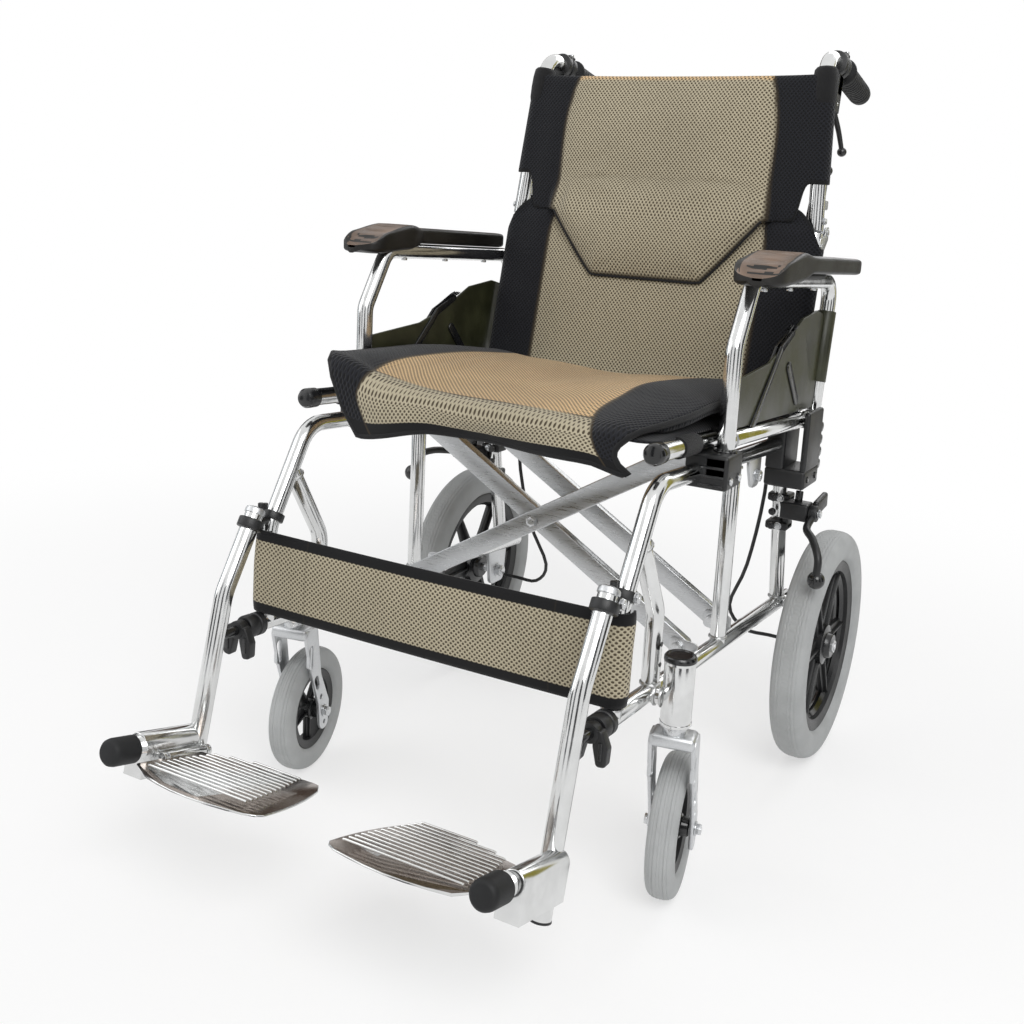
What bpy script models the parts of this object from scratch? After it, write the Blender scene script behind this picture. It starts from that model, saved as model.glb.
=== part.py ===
"""Travel wheelchair: a folding attendant chair with a fold-down back.

Metres, +Z up, ground at z = 0. The sitter faces -Y and the sitter's left is +X.
The origin is on the ground, under the middle of the chair.
"""

import bpy
import bmesh
from math import atan, cos, pi, radians, sin, tan
from mathutils import Matrix, Vector

# Clearances
GAP = 0.0003                  # seat between two pieces that touch
RUNNING_GAP = 0.0010          # between pieces that turn on each other
LEFT, RIGHT = 1, -1

# Frame tubes
TUBE_R = 0.0095
COPE = 0.0002                 # each tube that meets another is this much slimmer
FRAME_X = 0.2135              # centre plane of each side frame
UPPER_RAIL_Z = 0.4414         # axis height at y = 0
LOWER_RAIL_Z = 0.2196
UPPER_SLOPE = 0.0565          # drop per metre towards the rear
LOWER_SLOPE = 0.0680
LEG_TOP_Y = -0.1923           # where the front leg leaves the upper rail
LEG_RAKE = 0.608              # forward run of the leg per metre of drop
LEG_KNEE_Z = 0.3450           # the leg stands nearly upright below this
LEG_FOOT_Y = -0.2610
LEG_BEND_R = 0.040
MID_POST_Y = 0.0350
REAR_POST_TOP_Y = 0.2180
REAR_POST_FOOT_Y = 0.2660
LOWER_RAIL_END_Y = 0.3150
BRACE_TOP_Z = 0.4050
BRACE_KNEE_Y = -0.1680
BRACE_KNEE_Z = 0.3180

# Rear wheels
REAR_WHEEL_X = FRAME_X + 0.0575
REAR_WHEEL_Y = 0.2830
REAR_WHEEL_R = 0.1525
REAR_TYRE_W = 0.0420
REAR_RIM_R = 0.1140
REAR_HUB_R = 0.0270
REAR_SPOKES = 6
AXLE_R = 0.0060
AXLE_PLATE_X = FRAME_X + 0.0155
AXLE_PLATE_T = 0.0060
AXLE_PLATE_R = 0.0190

# Casters
CASTER_X = FRAME_X + 0.0325
CASTER_Y = -0.1730
CASTER_R = 0.0765
CASTER_TYRE_W = 0.0300
CASTER_RIM_R = 0.0500
CASTER_TRAIL = 0.0360
CASTER_TURN = radians(11.0)   # both casters rest turned this far about +Z
CASTER_AXLE_R = 0.0040
FORK_LEG_X = 0.0220           # leg plate from the fork's centre plane
FORK_PLATE_T = 0.0045
FORK_CROWN_Z = 0.1960
STEM_R = 0.0095
HOUSING_R = 0.0160
HOUSING_BOTTOM_Z = 0.2070
HOUSING_TOP_Z = 0.2746
HOUSING_CAP_T = 0.0060

# Folding cross
CROSS_RISE = 0.600            # rise of each bar per metre across
CROSS_PIVOT_X = FRAME_X - 0.0235
CROSS_FRONT_Y = -0.0290
CROSS_REAR_Y = 0.0810
BAR_WIDTH = 0.0250
BAR_T = 0.0110
BAR_SHOULDER = 0.0120          # the bar narrows over this length to meet the seat rail
BOLT_R = 0.0040
BOLT_HEAD_R = 0.0075
BOLT_HEAD_T = 0.0040
CROSS_PLATE_T = 0.0030
SEAT_RAIL_X = FRAME_X - 0.0022
SEAT_RAIL_LIFT = 0.0305       # above the upper rail
SEAT_RAIL_FRONT_Y = -0.2010
SEAT_RAIL_REAR_Y = 0.1850
BAR_TOP_DROP = 0.00192        # the bars' lines end this far under the seat rail's axis at y = 0
# the lower pivots stand where the bars' rise puts them under the seat rails
CROSS_PIVOT_Z = UPPER_RAIL_Z + SEAT_RAIL_LIFT - BAR_TOP_DROP - CROSS_RISE * (CROSS_PIVOT_X + SEAT_RAIL_X)

# Front hanger, footplate and catch
HANGER_X = FRAME_X - 0.0020
HANGER_R = 0.0100
HANGER_AHEAD = 0.0390         # in front of the leg, measured along Y
HANGER_TOP_Z = 0.3680
LUG_BELOW = 0.0115             # hinge lug's centre below the hanger's top
LUG_HALF = 0.0055
LUG_GRIP_HALF = 0.0045
HANGER_KNEE_Z = 0.2895
HANGER_RAKE = 0.260           # forward run of the lower tube per metre of drop
HANGER_FOOT_Z = 0.0900
HANGER_BEND_R = 0.060
BLOCK_X = FRAME_X + 0.0030
BLOCK_W = 0.0240
BLOCK_LENGTH = 0.0880
BLOCK_DROP = 0.0540
BLOCK_FRONT_Y = -0.4460
BLOCK_TOP_Z = 0.1740
BUMPER_R = 0.0140
BUMPER_LENGTH = 0.0330
COLLAR_R = 0.0110
COLLAR_LENGTH = 0.0100
PLATE_INNER_X = 0.0440
PLATE_OUTER_X = FRAME_X - 0.0195
PLATE_FRONT_Y = -0.4740
PLATE_REAR_Y = -0.3560
PLATE_REAR_CUT = 0.0280       # the rear edge runs forward towards the hanger
PLATE_Z = 0.1450              # top face at y = -0.42
PLATE_Z_AT_Y = -0.4200
PLATE_T = 0.0080
PLATE_RIBS = 13
PLATE_RIB_T = 0.0020
FOOT_TILT = atan(HANGER_RAKE)
CATCH_R = 0.0130
CATCH_LENGTH = 0.0260
CATCH_NECK_R = 0.0055
WING_LENGTH = 0.0320

# Armrest
ARM_X = FRAME_X + 0.0215
ARM_R = 0.0095
ARM_PIVOT_Y = 0.2260
ARM_PIVOT_Z = 0.4600
ARM_EYE_R = 0.0110
ARM_PIN_R = 0.0040
ARM_SWEEP = 0.0600             # room below the pivot for the armrest's tail
ARM_FRONT_Y = -0.0600
ARM_FOOT_Z = 0.4540            # the front post ends inside its socket's cup
ARM_RAIL_RISE = 0.065         # rise of the bottom rail per metre forward
ARM_KNEE_Z = 0.5750
ARM_TOP_Z = 0.6430
ARM_TOP_Y = -0.0180
ARM_TOP_DROP = 0.040
ARM_REAR_Y = 0.2940
ARM_REAR_FOOT_Y = 0.2700
PAD_X = ARM_X + 0.0195
PAD_FRONT_Y = -0.0640
PAD_REAR_Y = 0.2680
PAD_STEP_Y = 0.0700
PAD_W = 0.0500
PADDLE_W = 0.0660
PAD_T = 0.0200
SKIRT_T = 0.0040

# Sockets that carry the armrest
SOCKET_FRONT_Y = -0.0890
SOCKET_REAR_Y = -0.0430
SOCKET_INNER_X = FRAME_X - 0.0120
SOCKET_OUTER_X = FRAME_X + 0.0355
SOCKET_BOTTOM_Z = 0.4300
BLOCK_INNER_X = FRAME_X - 0.0125
BLOCK_OUTER_X = FRAME_X + 0.0395
REAR_BLOCK_FRONT_Y = 0.1950
REAR_BLOCK_REAR_Y = 0.2580
PARK_ABOVE_TYRE = 0.0400      # the parking lever's pivot above the tyre's top
PARK_Z = 2 * REAR_WHEEL_R + PARK_ABOVE_TYRE
PARK_CLAMP_ABOVE = 0.0160     # the parking clamp's top above its pivot
REAR_BLOCK_ABOVE_PARK = 0.0150
REAR_BLOCK_BOTTOM_Z = PARK_Z + PARK_CLAMP_ABOVE + REAR_BLOCK_ABOVE_PARK
REAR_BLOCK_TOP_Z = 0.4740
REAR_KNOBS = 4
REAR_KNOB_TOP = 0.0260        # first knob's centre under the block's top
REAR_KNOB_FOOT = 0.0240       # last knob's centre above the block's foot
REAR_KNOB_SHARE = 0.40625     # a knob's radius as a share of their spacing

# Back canes
CANE_R = 0.0105
CANE_FOOT_Y = 0.2200
CANE_FOOT_Z = 0.4440
FOLD_Y = 0.2760
FOLD_Z = 0.6900
CANE_FOLD_X = FRAME_X - 0.0005
CANE_TOP_X = CANE_FOLD_X - 0.0150
CANE_TOP_Y = 0.3060
CANE_TOP_Z = 0.8850
HANDLE_RISE = 0.0260
HANDLE_BEND_R = 0.030
GRIP_R = 0.0150
GRIP_START_Y = 0.3850
GRIP_END_Y = 0.4914
GRIP_DROP = 0.260             # drop of the grip per metre to the rear
FOLD_PIN_BACK = 0.0185         # hinge pin behind the cane's axis
FOLD_PIN_R = 0.0030
FOLD_JOINT = 0.0015            # half the gap between the two canes
KNUCKLE_R = 0.0062
KNUCKLE_HALF = 0.0078
EAR_T = 0.0020
LATCH_ABOVE = 0.0340           # latch pivot above the fold
LATCH_BEHIND = 0.0085          # latch pivot behind the cane's surface
LATCH_REACH = 0.0400
LATCH_KNOB_R = 0.0078
LATCH_PIN_R = 0.0022

# Brakes
PARK_Y = 0.2160
PARK_X = REAR_WHEEL_X - 0.0070
PARK_ARM = 0.1000
PARK_BALL_R = 0.0110
PARK_TURN = {LEFT: radians(38.0), RIGHT: radians(0.0)}
CABLE_R = 0.0025

# Soft pieces
BACK_T = 0.0150
SLEEVE_T = 0.0010
SLEEVE_CLEAR = 0.0007
SLEEVE_TURN = radians(108)     # each sleeve runs this far round its cane
BACK_TOP_Z = 0.8850
BACK_BOTTOM_Z = 0.5060
BACK_SPLIT_GAP = 0.0040
SEAT_ASIDE = 0.0200           # between the seat's edge and the armrest's plane
SEAT_HALF_W = ARM_X - SEAT_ASIDE
SEAT_FRONT_Y = -0.1880
SEAT_REAR_Y = 0.1700
FLAP_HALF_W = 0.1600
FLAP_DROP = 0.0650
STRAP_T = 0.0040
STRAP_TURN = radians(121)
STRAP_BOTTOM_Z = 0.2520
STRAP_TOP_Z = 0.3440
STRAP_CLEAR = 0.0012

# Colours as linear RGB, with metallic and roughness
FINISHES = {
    "polished_aluminium": ((0.78, 0.79, 0.80), 1.0, 0.16),
    "brushed_aluminium": ((0.62, 0.64, 0.66), 1.0, 0.34),
    "grey_tyre": ((0.36, 0.40, 0.41), 0.0, 0.62),
    "black_plastic": ((0.012, 0.012, 0.013), 0.0, 0.42),
    "black_rubber": ((0.015, 0.015, 0.016), 0.0, 0.60),
    "tan_mesh": ((0.42, 0.34, 0.20), 0.0, 0.85),
    "zinc": ((0.60, 0.62, 0.64), 1.0, 0.28),
}


def remove_everything():
    for thing in list(bpy.data.objects):
        bpy.data.objects.remove(thing, do_unlink=True)


def make_material(name):
    colour, metallic, roughness = FINISHES[name]
    material = bpy.data.materials.new(name)
    material.use_nodes = True
    shader = material.node_tree.nodes["Principled BSDF"]
    shader.inputs["Base Color"].default_value = (*colour, 1.0)
    shader.inputs["Metallic"].default_value = metallic
    shader.inputs["Roughness"].default_value = roughness
    return material


remove_everything()
CHAIR = bpy.data.collections.new("travel_wheelchair")
TOOLS = bpy.data.collections.new("construction")
bpy.context.scene.collection.children.link(CHAIR)
bpy.context.scene.collection.children.link(TOOLS)
MATERIALS = {name: make_material(name) for name in FINISHES}


# Places that more than one piece needs

def upper_rail(y):
    return UPPER_RAIL_Z - UPPER_SLOPE * y


def lower_rail(y):
    return LOWER_RAIL_Z - LOWER_SLOPE * y


def seat_rail(y):
    return upper_rail(y) + SEAT_RAIL_LIFT


def leg_y(z):
    """Y of the front leg's axis at a height."""
    knee_y = LEG_TOP_Y - LEG_RAKE * (upper_rail(LEG_TOP_Y) - LEG_KNEE_Z)
    if z >= LEG_KNEE_Z:
        return LEG_TOP_Y - LEG_RAKE * (upper_rail(LEG_TOP_Y) - z)
    foot_z = lower_rail(LEG_FOOT_Y)
    share = (LEG_KNEE_Z - z) / (LEG_KNEE_Z - foot_z)
    return knee_y + share * (LEG_FOOT_Y - knee_y)


def hanger_y(z):
    """Y of the hanger tube's axis at a height."""
    knee_y = LEG_TOP_Y - LEG_RAKE * (upper_rail(LEG_TOP_Y) - HANGER_KNEE_Z) - HANGER_AHEAD
    rake = LEG_RAKE if z >= HANGER_KNEE_Z else HANGER_RAKE
    return knee_y + rake * (z - HANGER_KNEE_Z)


def rear_post_y(z):
    foot_z = lower_rail(REAR_POST_FOOT_Y)
    top_z = upper_rail(REAR_POST_TOP_Y)
    share = (z - foot_z) / (top_z - foot_z)
    return REAR_POST_FOOT_Y + share * (REAR_POST_TOP_Y - REAR_POST_FOOT_Y)


def cane_y(z):
    """Y of the back cane's axis at a height, below and above the fold."""
    if z <= FOLD_Z:
        share = (z - CANE_FOOT_Z) / (FOLD_Z - CANE_FOOT_Z)
        return CANE_FOOT_Y + share * (FOLD_Y - CANE_FOOT_Y)
    share = (z - FOLD_Z) / (CANE_TOP_Z + HANDLE_RISE - FOLD_Z)
    return FOLD_Y + share * (CANE_TOP_Y - FOLD_Y)


def cane_x(z):
    if z <= FOLD_Z:
        return CANE_FOLD_X
    share = (z - FOLD_Z) / (CANE_TOP_Z + HANDLE_RISE - FOLD_Z)
    return CANE_FOLD_X + share * (CANE_TOP_X - CANE_FOLD_X)


def arm_rail(y):
    """Height of the armrest's bottom rail."""
    return ARM_PIVOT_Z + ARM_RAIL_RISE * (ARM_PIVOT_Y - y)


# Modelling helpers

def dress(thing, material, origin=(0.0, 0.0, 0.0), smooth=32.0):
    """Give a finished mesh object its material, its shading and its origin."""
    origin = Vector(origin)
    thing.data.transform(Matrix.Translation(-origin))
    thing.location = thing.location + origin
    thing.data.materials.clear()
    thing.data.materials.append(MATERIALS[material])
    thing.data.shade_smooth()
    thing.data.set_sharp_from_angle(angle=radians(smooth))
    return thing


def finish_bmesh(mesh_builder, name, collection=None):
    bmesh.ops.recalc_face_normals(mesh_builder, faces=mesh_builder.faces)
    mesh = bpy.data.meshes.new(name)
    mesh_builder.to_mesh(mesh)
    mesh_builder.free()
    thing = bpy.data.objects.new(name, mesh)
    (collection or TOOLS).objects.link(thing)
    return thing


def as_mesh(curve_object, name):
    """A curve made a closed mesh: its caps are loose until they are merged."""
    graph = bpy.context.evaluated_depsgraph_get()
    mesh = bpy.data.meshes.new_from_object(curve_object.evaluated_get(graph))
    builder = bmesh.new()
    builder.from_mesh(mesh)
    builder.transform(curve_object.matrix_world)
    bmesh.ops.remove_doubles(builder, verts=builder.verts, dist=1e-6)
    bpy.data.objects.remove(curve_object, do_unlink=True)
    return finish_bmesh(builder, name)


def rounded(points, radius, steps=4):
    """The points of a route, with each inner corner turned into an arc."""
    points = [Vector(p) for p in points]
    route = [points[0]]
    for before, corner, after in zip(points, points[1:], points[2:]):
        arriving = (corner - before).normalized()
        leaving = (after - corner).normalized()
        turn = arriving.angle(leaving)
        reach = radius * tan(turn / 2)
        if reach < 1e-5:
            route.append(corner)
            continue
        first, last = corner - arriving * reach, corner + leaving * reach
        centre = corner + (leaving - arriving).normalized() * (radius / cos(turn / 2))
        axis = arriving.cross(leaving).normalized()
        for step in range(steps + 1):
            spin = Matrix.Rotation(turn * step / steps, 3, axis)
            route.append(centre + spin @ (first - centre))
        route[-1] = last
    return route + [points[-1]]


def smooth_route(points, per_span=3):
    """A smooth curve through a route's own points."""
    points = [Vector(p) for p in points]
    padded = [2 * points[0] - points[1]] + points + [2 * points[-1] - points[-2]]
    route = []
    for a, b, c, d in zip(padded, padded[1:], padded[2:], padded[3:]):
        for step in range(per_span):
            t = step / per_span
            route.append(0.5 * (2 * b + (c - a) * t + (2 * a - 5 * b + 4 * c - d) * t ** 2
                                + (3 * b - a - 3 * c + d) * t ** 3))
    return route + [points[-1]]


def tube(name, route, radius, resolution=4):
    """A round bar along a route, with flat ends."""
    curve = bpy.data.curves.new(name, "CURVE")
    curve.dimensions = "3D"
    curve.bevel_depth = radius
    curve.bevel_resolution = resolution
    curve.use_fill_caps = True
    spline = curve.splines.new("POLY")
    spline.points.add(len(route) - 1)
    for point, place in zip(spline.points, route):
        point.co = (*place, 1.0)
    thing = bpy.data.objects.new(name + "_curve", curve)
    TOOLS.objects.link(thing)
    bpy.context.view_layer.update()
    return as_mesh(thing, name)


def rod(name, start, end, radius, sides=12):
    start, end = Vector(start), Vector(end)
    builder = bmesh.new()
    turn = (end - start).to_track_quat("Z", "Y").to_matrix().to_4x4()
    bmesh.ops.create_cone(builder, cap_ends=True, segments=sides, radius1=radius, radius2=radius,
                          depth=(end - start).length,
                          matrix=Matrix.Translation((start + end) / 2) @ turn)
    return finish_bmesh(builder, name)


def block(name, low, high, bevel=0.0, segments=2):
    """A box between two corners, with rounded edges."""
    low, high = Vector(low), Vector(high)
    builder = bmesh.new()
    size = high - low
    bmesh.ops.create_cube(builder, size=1.0,
                          matrix=Matrix.Translation((low + high) / 2) @ Matrix.Diagonal((*size, 1.0)))
    if bevel:
        bmesh.ops.bevel(builder, geom=builder.edges[:], offset=bevel, segments=segments,
                        profile=0.5, affect="EDGES", material=-1)
    return finish_bmesh(builder, name)


def ball(name, centre, radius, rows=8):
    builder = bmesh.new()
    bmesh.ops.create_uvsphere(builder, u_segments=2 * rows, v_segments=rows, radius=radius,
                              matrix=Matrix.Translation(Vector(centre)))
    return finish_bmesh(builder, name)


def slab(name, outline, thickness, frame, holes=()):
    """A flat plate from an outline in a plane, with any holes through it.

    frame is the matrix that carries the outline's plane into place."""
    curve = bpy.data.curves.new(name, "CURVE")
    curve.dimensions = "2D"
    curve.fill_mode = "BOTH"
    curve.extrude = thickness / 2
    for ring in [outline, *holes]:
        spline = curve.splines.new("POLY")
        spline.points.add(len(ring) - 1)
        for point, place in zip(spline.points, ring):
            point.co = (place[0], place[1], 0.0, 1.0)
        spline.use_cyclic_u = True
    thing = bpy.data.objects.new(name + "_outline", curve)
    TOOLS.objects.link(thing)
    thing.matrix_world = frame
    bpy.context.view_layer.update()
    return as_mesh(thing, name)


def circle(centre, radius, sides=12):
    return [(centre[0] + radius * cos(2 * pi * i / sides), centre[1] + radius * sin(2 * pi * i / sides))
            for i in range(sides)]


def round_outline(corners, radius, steps=4):
    """A flat outline whose corners are arcs."""
    ring = []
    count = len(corners)
    for i in range(count):
        trio = [(*corners[(i + k) % count], 0.0) for k in (-1, 0, 1)]
        ring += [(p.x, p.y) for p in rounded(trio, radius, steps)[1:-1]]
    return ring


def turned(name, profile, segments, centre, turn=0.0):
    """A ring or disc turned about a wheel's axle, from a closed profile.

    The profile holds (radius, across) pairs. turn is the wheel's heading about +Z."""
    builder = bmesh.new()
    ring = [builder.verts.new((radius, 0.0, across)) for radius, across in profile]
    for a, b in zip(ring, ring[1:] + ring[:1]):
        builder.edges.new((a, b))
    mesh = bpy.data.meshes.new(name)
    builder.to_mesh(mesh)
    builder.free()
    thing = bpy.data.objects.new(name, mesh)
    TOOLS.objects.link(thing)
    screw = thing.modifiers.new("turn", "SCREW")
    screw.axis = "Z"
    screw.steps = segments
    screw.render_steps = segments
    screw.use_merge_vertices = True
    screw.merge_threshold = 1e-5
    graph = bpy.context.evaluated_depsgraph_get()
    solid = bpy.data.meshes.new_from_object(thing.evaluated_get(graph))
    bpy.data.objects.remove(thing, do_unlink=True)
    builder = bmesh.new()
    builder.from_mesh(solid)
    bmesh.ops.remove_doubles(builder, verts=builder.verts, dist=1e-6)
    lay = Matrix.Rotation(turn, 4, "Z") @ Matrix.Rotation(pi / 2, 4, "Y")
    lay = lay @ Matrix.Rotation(pi / segments, 4, "Z")
    builder.transform(Matrix.Translation(Vector(centre)) @ lay)
    return finish_bmesh(builder, name)


def combine(base, others, operation):
    for other in others:
        other.hide_render = True
        other.display_type = "WIRE"
        step = base.modifiers.new(operation.lower(), "BOOLEAN")
        step.operation = operation
        step.solver = "EXACT"
        step.object = other
    graph = bpy.context.evaluated_depsgraph_get()
    solid = bpy.data.meshes.new_from_object(base.evaluated_get(graph))
    name = base.name
    bpy.data.objects.remove(base, do_unlink=True)
    for other in others:
        bpy.data.objects.remove(other, do_unlink=True)
    builder = bmesh.new()
    builder.from_mesh(solid)
    bmesh.ops.remove_doubles(builder, verts=builder.verts, dist=1e-6)
    bmesh.ops.dissolve_degenerate(builder, edges=builder.edges, dist=1e-6)
    bmesh.ops.dissolve_limit(builder, angle_limit=radians(0.05), verts=builder.verts, edges=builder.edges)
    bmesh.ops.triangulate(builder, faces=builder.faces)
    builder.to_mesh(solid)
    builder.free()
    thing = bpy.data.objects.new(name, solid)
    TOOLS.objects.link(thing)
    return thing


def join(base, *others):
    """The solids welded into one body."""
    return combine(base, others, "UNION")


def cut(base, *others):
    """The first solid with the others taken out of it."""
    return combine(base, others, "DIFFERENCE")


def keep(thing, name, material, origin=(0.0, 0.0, 0.0), smooth=32.0):
    """Move a finished solid from the construction collection to the chair."""
    dress(thing, material, origin, smooth)
    thing.name = name
    TOOLS.objects.unlink(thing)
    CHAIR.objects.link(thing)
    return thing


def hang_on(name, place, things):
    """An empty on a joint's axis, which carries the pieces that turn there."""
    pivot = bpy.data.objects.new(name, None)
    pivot.empty_display_size = 0.03
    pivot.location = place
    CHAIR.objects.link(pivot)
    for thing in things:
        thing.location = thing.location - Vector(place)
        thing.parent = pivot
    return pivot


def side_name(side):
    return "left" if side == LEFT else "right"


def yz_plane(x):
    """Carries an outline's first coordinate to +Y and its second to +Z."""
    return Matrix(((0, 0, 1, x), (1, 0, 0, 0), (0, 1, 0, 0), (0, 0, 0, 1)))


def xz_plane(y):
    """Carries an outline's first coordinate to +X and its second to +Z."""
    return Matrix(((1, 0, 0, 0), (0, 0, -1, y), (0, 1, 0, 0), (0, 0, 0, 1)))


# Side frames

def frame_routes(side):
    """The axes of the tubes that one side frame is welded from."""
    x = side * FRAME_X
    knee_y = leg_y(LEG_KNEE_Z)
    leg = rounded([(x, REAR_POST_TOP_Y, upper_rail(REAR_POST_TOP_Y)),
                   (x, LEG_TOP_Y, upper_rail(LEG_TOP_Y)),
                   (x, knee_y, LEG_KNEE_Z),
                   (x, LEG_FOOT_Y, lower_rail(LEG_FOOT_Y))], LEG_BEND_R, 2)
    lower = [(x, LEG_FOOT_Y - TUBE_R, lower_rail(LEG_FOOT_Y - TUBE_R)),
             (x, LOWER_RAIL_END_Y, lower_rail(LOWER_RAIL_END_Y))]
    mid = [(x, MID_POST_Y, lower_rail(MID_POST_Y)), (x, MID_POST_Y, upper_rail(MID_POST_Y))]
    rear = [(x, REAR_POST_FOOT_Y, lower_rail(REAR_POST_FOOT_Y)),
            (x, REAR_POST_TOP_Y, upper_rail(REAR_POST_TOP_Y) + TUBE_R)]
    brace = rounded([(x, leg_y(BRACE_TOP_Z), BRACE_TOP_Z), (x, BRACE_KNEE_Y, BRACE_KNEE_Z),
                     (x, BRACE_KNEE_Y, lower_rail(BRACE_KNEE_Y))], LEG_BEND_R, 2)
    return {"leg": leg, "lower": lower, "mid": mid, "rear": rear, "brace": brace}


def frame_cutters(side, names):
    """The frame's tubes, a seat gap larger, to bore a piece that grips them."""
    routes = frame_routes(side)
    return [tube("bore_" + name, routes[name], TUBE_R + GAP, 2) for name in names]


def cross_brackets(side):
    """The plates on the lower rail that carry the cross bars' lower pivots."""
    parts = []
    bar_behind = BAR_T / 2 + GAP
    for y in (CROSS_FRONT_Y, CROSS_REAR_Y):
        bar_y = y + bar_behind if side == LEFT else y - bar_behind
        plate_y = bar_y - BAR_T / 2 - GAP - CROSS_PLATE_T / 2
        # at the frame the plate always takes in the lower rail, wherever the pivot stands
        foot = min(CROSS_PIVOT_Z - 0.015, lower_rail(y) + TUBE_R / 8)
        head = max(CROSS_PIVOT_Z + 0.008, lower_rail(y) - TUBE_R / 8)
        outline = round_outline([(side * (CROSS_PIVOT_X - 0.011), CROSS_PIVOT_Z - 0.011),
                                 (side * FRAME_X, foot),
                                 (side * FRAME_X, head),
                                 (side * (CROSS_PIVOT_X - 0.011), CROSS_PIVOT_Z + 0.011)], 0.006, 2)
        pin_end = bar_y + BAR_T / 2 + GAP + BOLT_HEAD_T
        x = side * CROSS_PIVOT_X
        parts.append(slab("bracket", outline, CROSS_PLATE_T, xz_plane(plate_y)))
        pin_start = (x, plate_y - BOLT_HEAD_T, CROSS_PIVOT_Z)
        parts.append(rod("pin", pin_start, (x, pin_end, CROSS_PIVOT_Z), BOLT_R, 8))
        parts.append(rod("head", (x, plate_y - BOLT_HEAD_T, CROSS_PIVOT_Z), (x, plate_y, CROSS_PIVOT_Z),
                         BOLT_HEAD_R, 8))
        parts.append(rod("nut", (x, pin_end - BOLT_HEAD_T, CROSS_PIVOT_Z), (x, pin_end, CROSS_PIVOT_Z),
                         BOLT_HEAD_R, 6))
    return parts


def side_frame(side):
    routes = frame_routes(side)
    x = side * FRAME_X
    tubes = {name: tube(name, route, TUBE_R - COPE * step, 2)
             for step, (name, route) in enumerate(routes.items())}
    rail_z = lower_rail(CASTER_Y)
    housing = rod("housing", (side * CASTER_X, CASTER_Y, HOUSING_BOTTOM_Z),
                  (side * CASTER_X, CASTER_Y, HOUSING_TOP_Z + HOUSING_CAP_T), HOUSING_R, 14)
    weld = rod("weld", (x, CASTER_Y, rail_z), (side * CASTER_X, CASTER_Y, rail_z), TUBE_R - 0.0005, 8)
    bore = rod("bore", (side * CASTER_X, CASTER_Y, HOUSING_BOTTOM_Z - 0.01),
               (side * CASTER_X, CASTER_Y, HOUSING_TOP_Z - 0.008), STEM_R + 2 * GAP, 12)
    plate_x = side * AXLE_PLATE_X
    foot = lower_rail(REAR_WHEEL_Y) + 0.004
    outline = round_outline([(REAR_WHEEL_Y - 0.030, foot), (REAR_WHEEL_Y + 0.026, foot),
                             (REAR_WHEEL_Y + AXLE_PLATE_R, REAR_WHEEL_R - AXLE_PLATE_R),
                             (REAR_WHEEL_Y - AXLE_PLATE_R, REAR_WHEEL_R - AXLE_PLATE_R)], 0.010, 2)
    axle_plate = slab("axle_plate", outline, AXLE_PLATE_T, yz_plane(plate_x))
    boss = rod("boss", (x, REAR_WHEEL_Y, lower_rail(REAR_WHEEL_Y)),
               (plate_x, REAR_WHEEL_Y, lower_rail(REAR_WHEEL_Y)), TUBE_R - 0.001, 8)
    wheel_outer = side * (REAR_WHEEL_X + REAR_TYRE_W / 2 + 0.001)
    axle = rod("axle", (side * (AXLE_PLATE_X - 0.013), REAR_WHEEL_Y, REAR_WHEEL_R),
               (wheel_outer, REAR_WHEEL_Y, REAR_WHEEL_R), AXLE_R, 10)
    axle_nut = rod("axle_nut", (side * (AXLE_PLATE_X - 0.011), REAR_WHEEL_Y, REAR_WHEEL_R),
                   (plate_x, REAR_WHEEL_Y, REAR_WHEEL_R), 0.0095, 6)
    tab_y = 0.118
    tab_z = upper_rail(tab_y)
    tab = slab("tab", round_outline([(tab_y - 0.036, tab_z), (tab_y + 0.016, tab_z),
                                     (tab_y + 0.016, tab_z - 0.044), (tab_y - 0.014, tab_z - 0.044)],
                                    0.012, 2), 0.004, yz_plane(x))
    tab_bolt = rod("tab_bolt", (side * (FRAME_X - 0.006), tab_y, tab_z - 0.030),
                   (side * (FRAME_X + 0.008), tab_y, tab_z - 0.030), 0.0090, 8)
    body = join(tubes["leg"], tubes["lower"], tubes["mid"], tubes["rear"], tubes["brace"])
    body = join(body, weld, housing, boss, axle_plate, axle, axle_nut, tab, tab_bolt, hanger_lug(side),
                *cross_brackets(side))
    body = cut(body, bore)
    return keep(body, f"side_frame_{side_name(side)}", "polished_aluminium")


# Rear wheels

def tyre_profile(radius, inner, width):
    """A tyre's closed section: a flat tread between round shoulders."""
    half = width / 2
    shoulder = half * 0.55
    return [(inner, -half * 0.72), (radius - shoulder * 1.15, -half), (radius - shoulder * 0.30, -half * 0.80),
            (radius, -half * 0.50), (radius, half * 0.50), (radius - shoulder * 0.30, half * 0.80),
            (radius - shoulder * 1.15, half), (inner, half * 0.72)]


def tread_radius(radius, segments):
    """The radius that puts the flats of a faceted tyre at the true radius."""
    return radius / cos(pi / segments)


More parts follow.
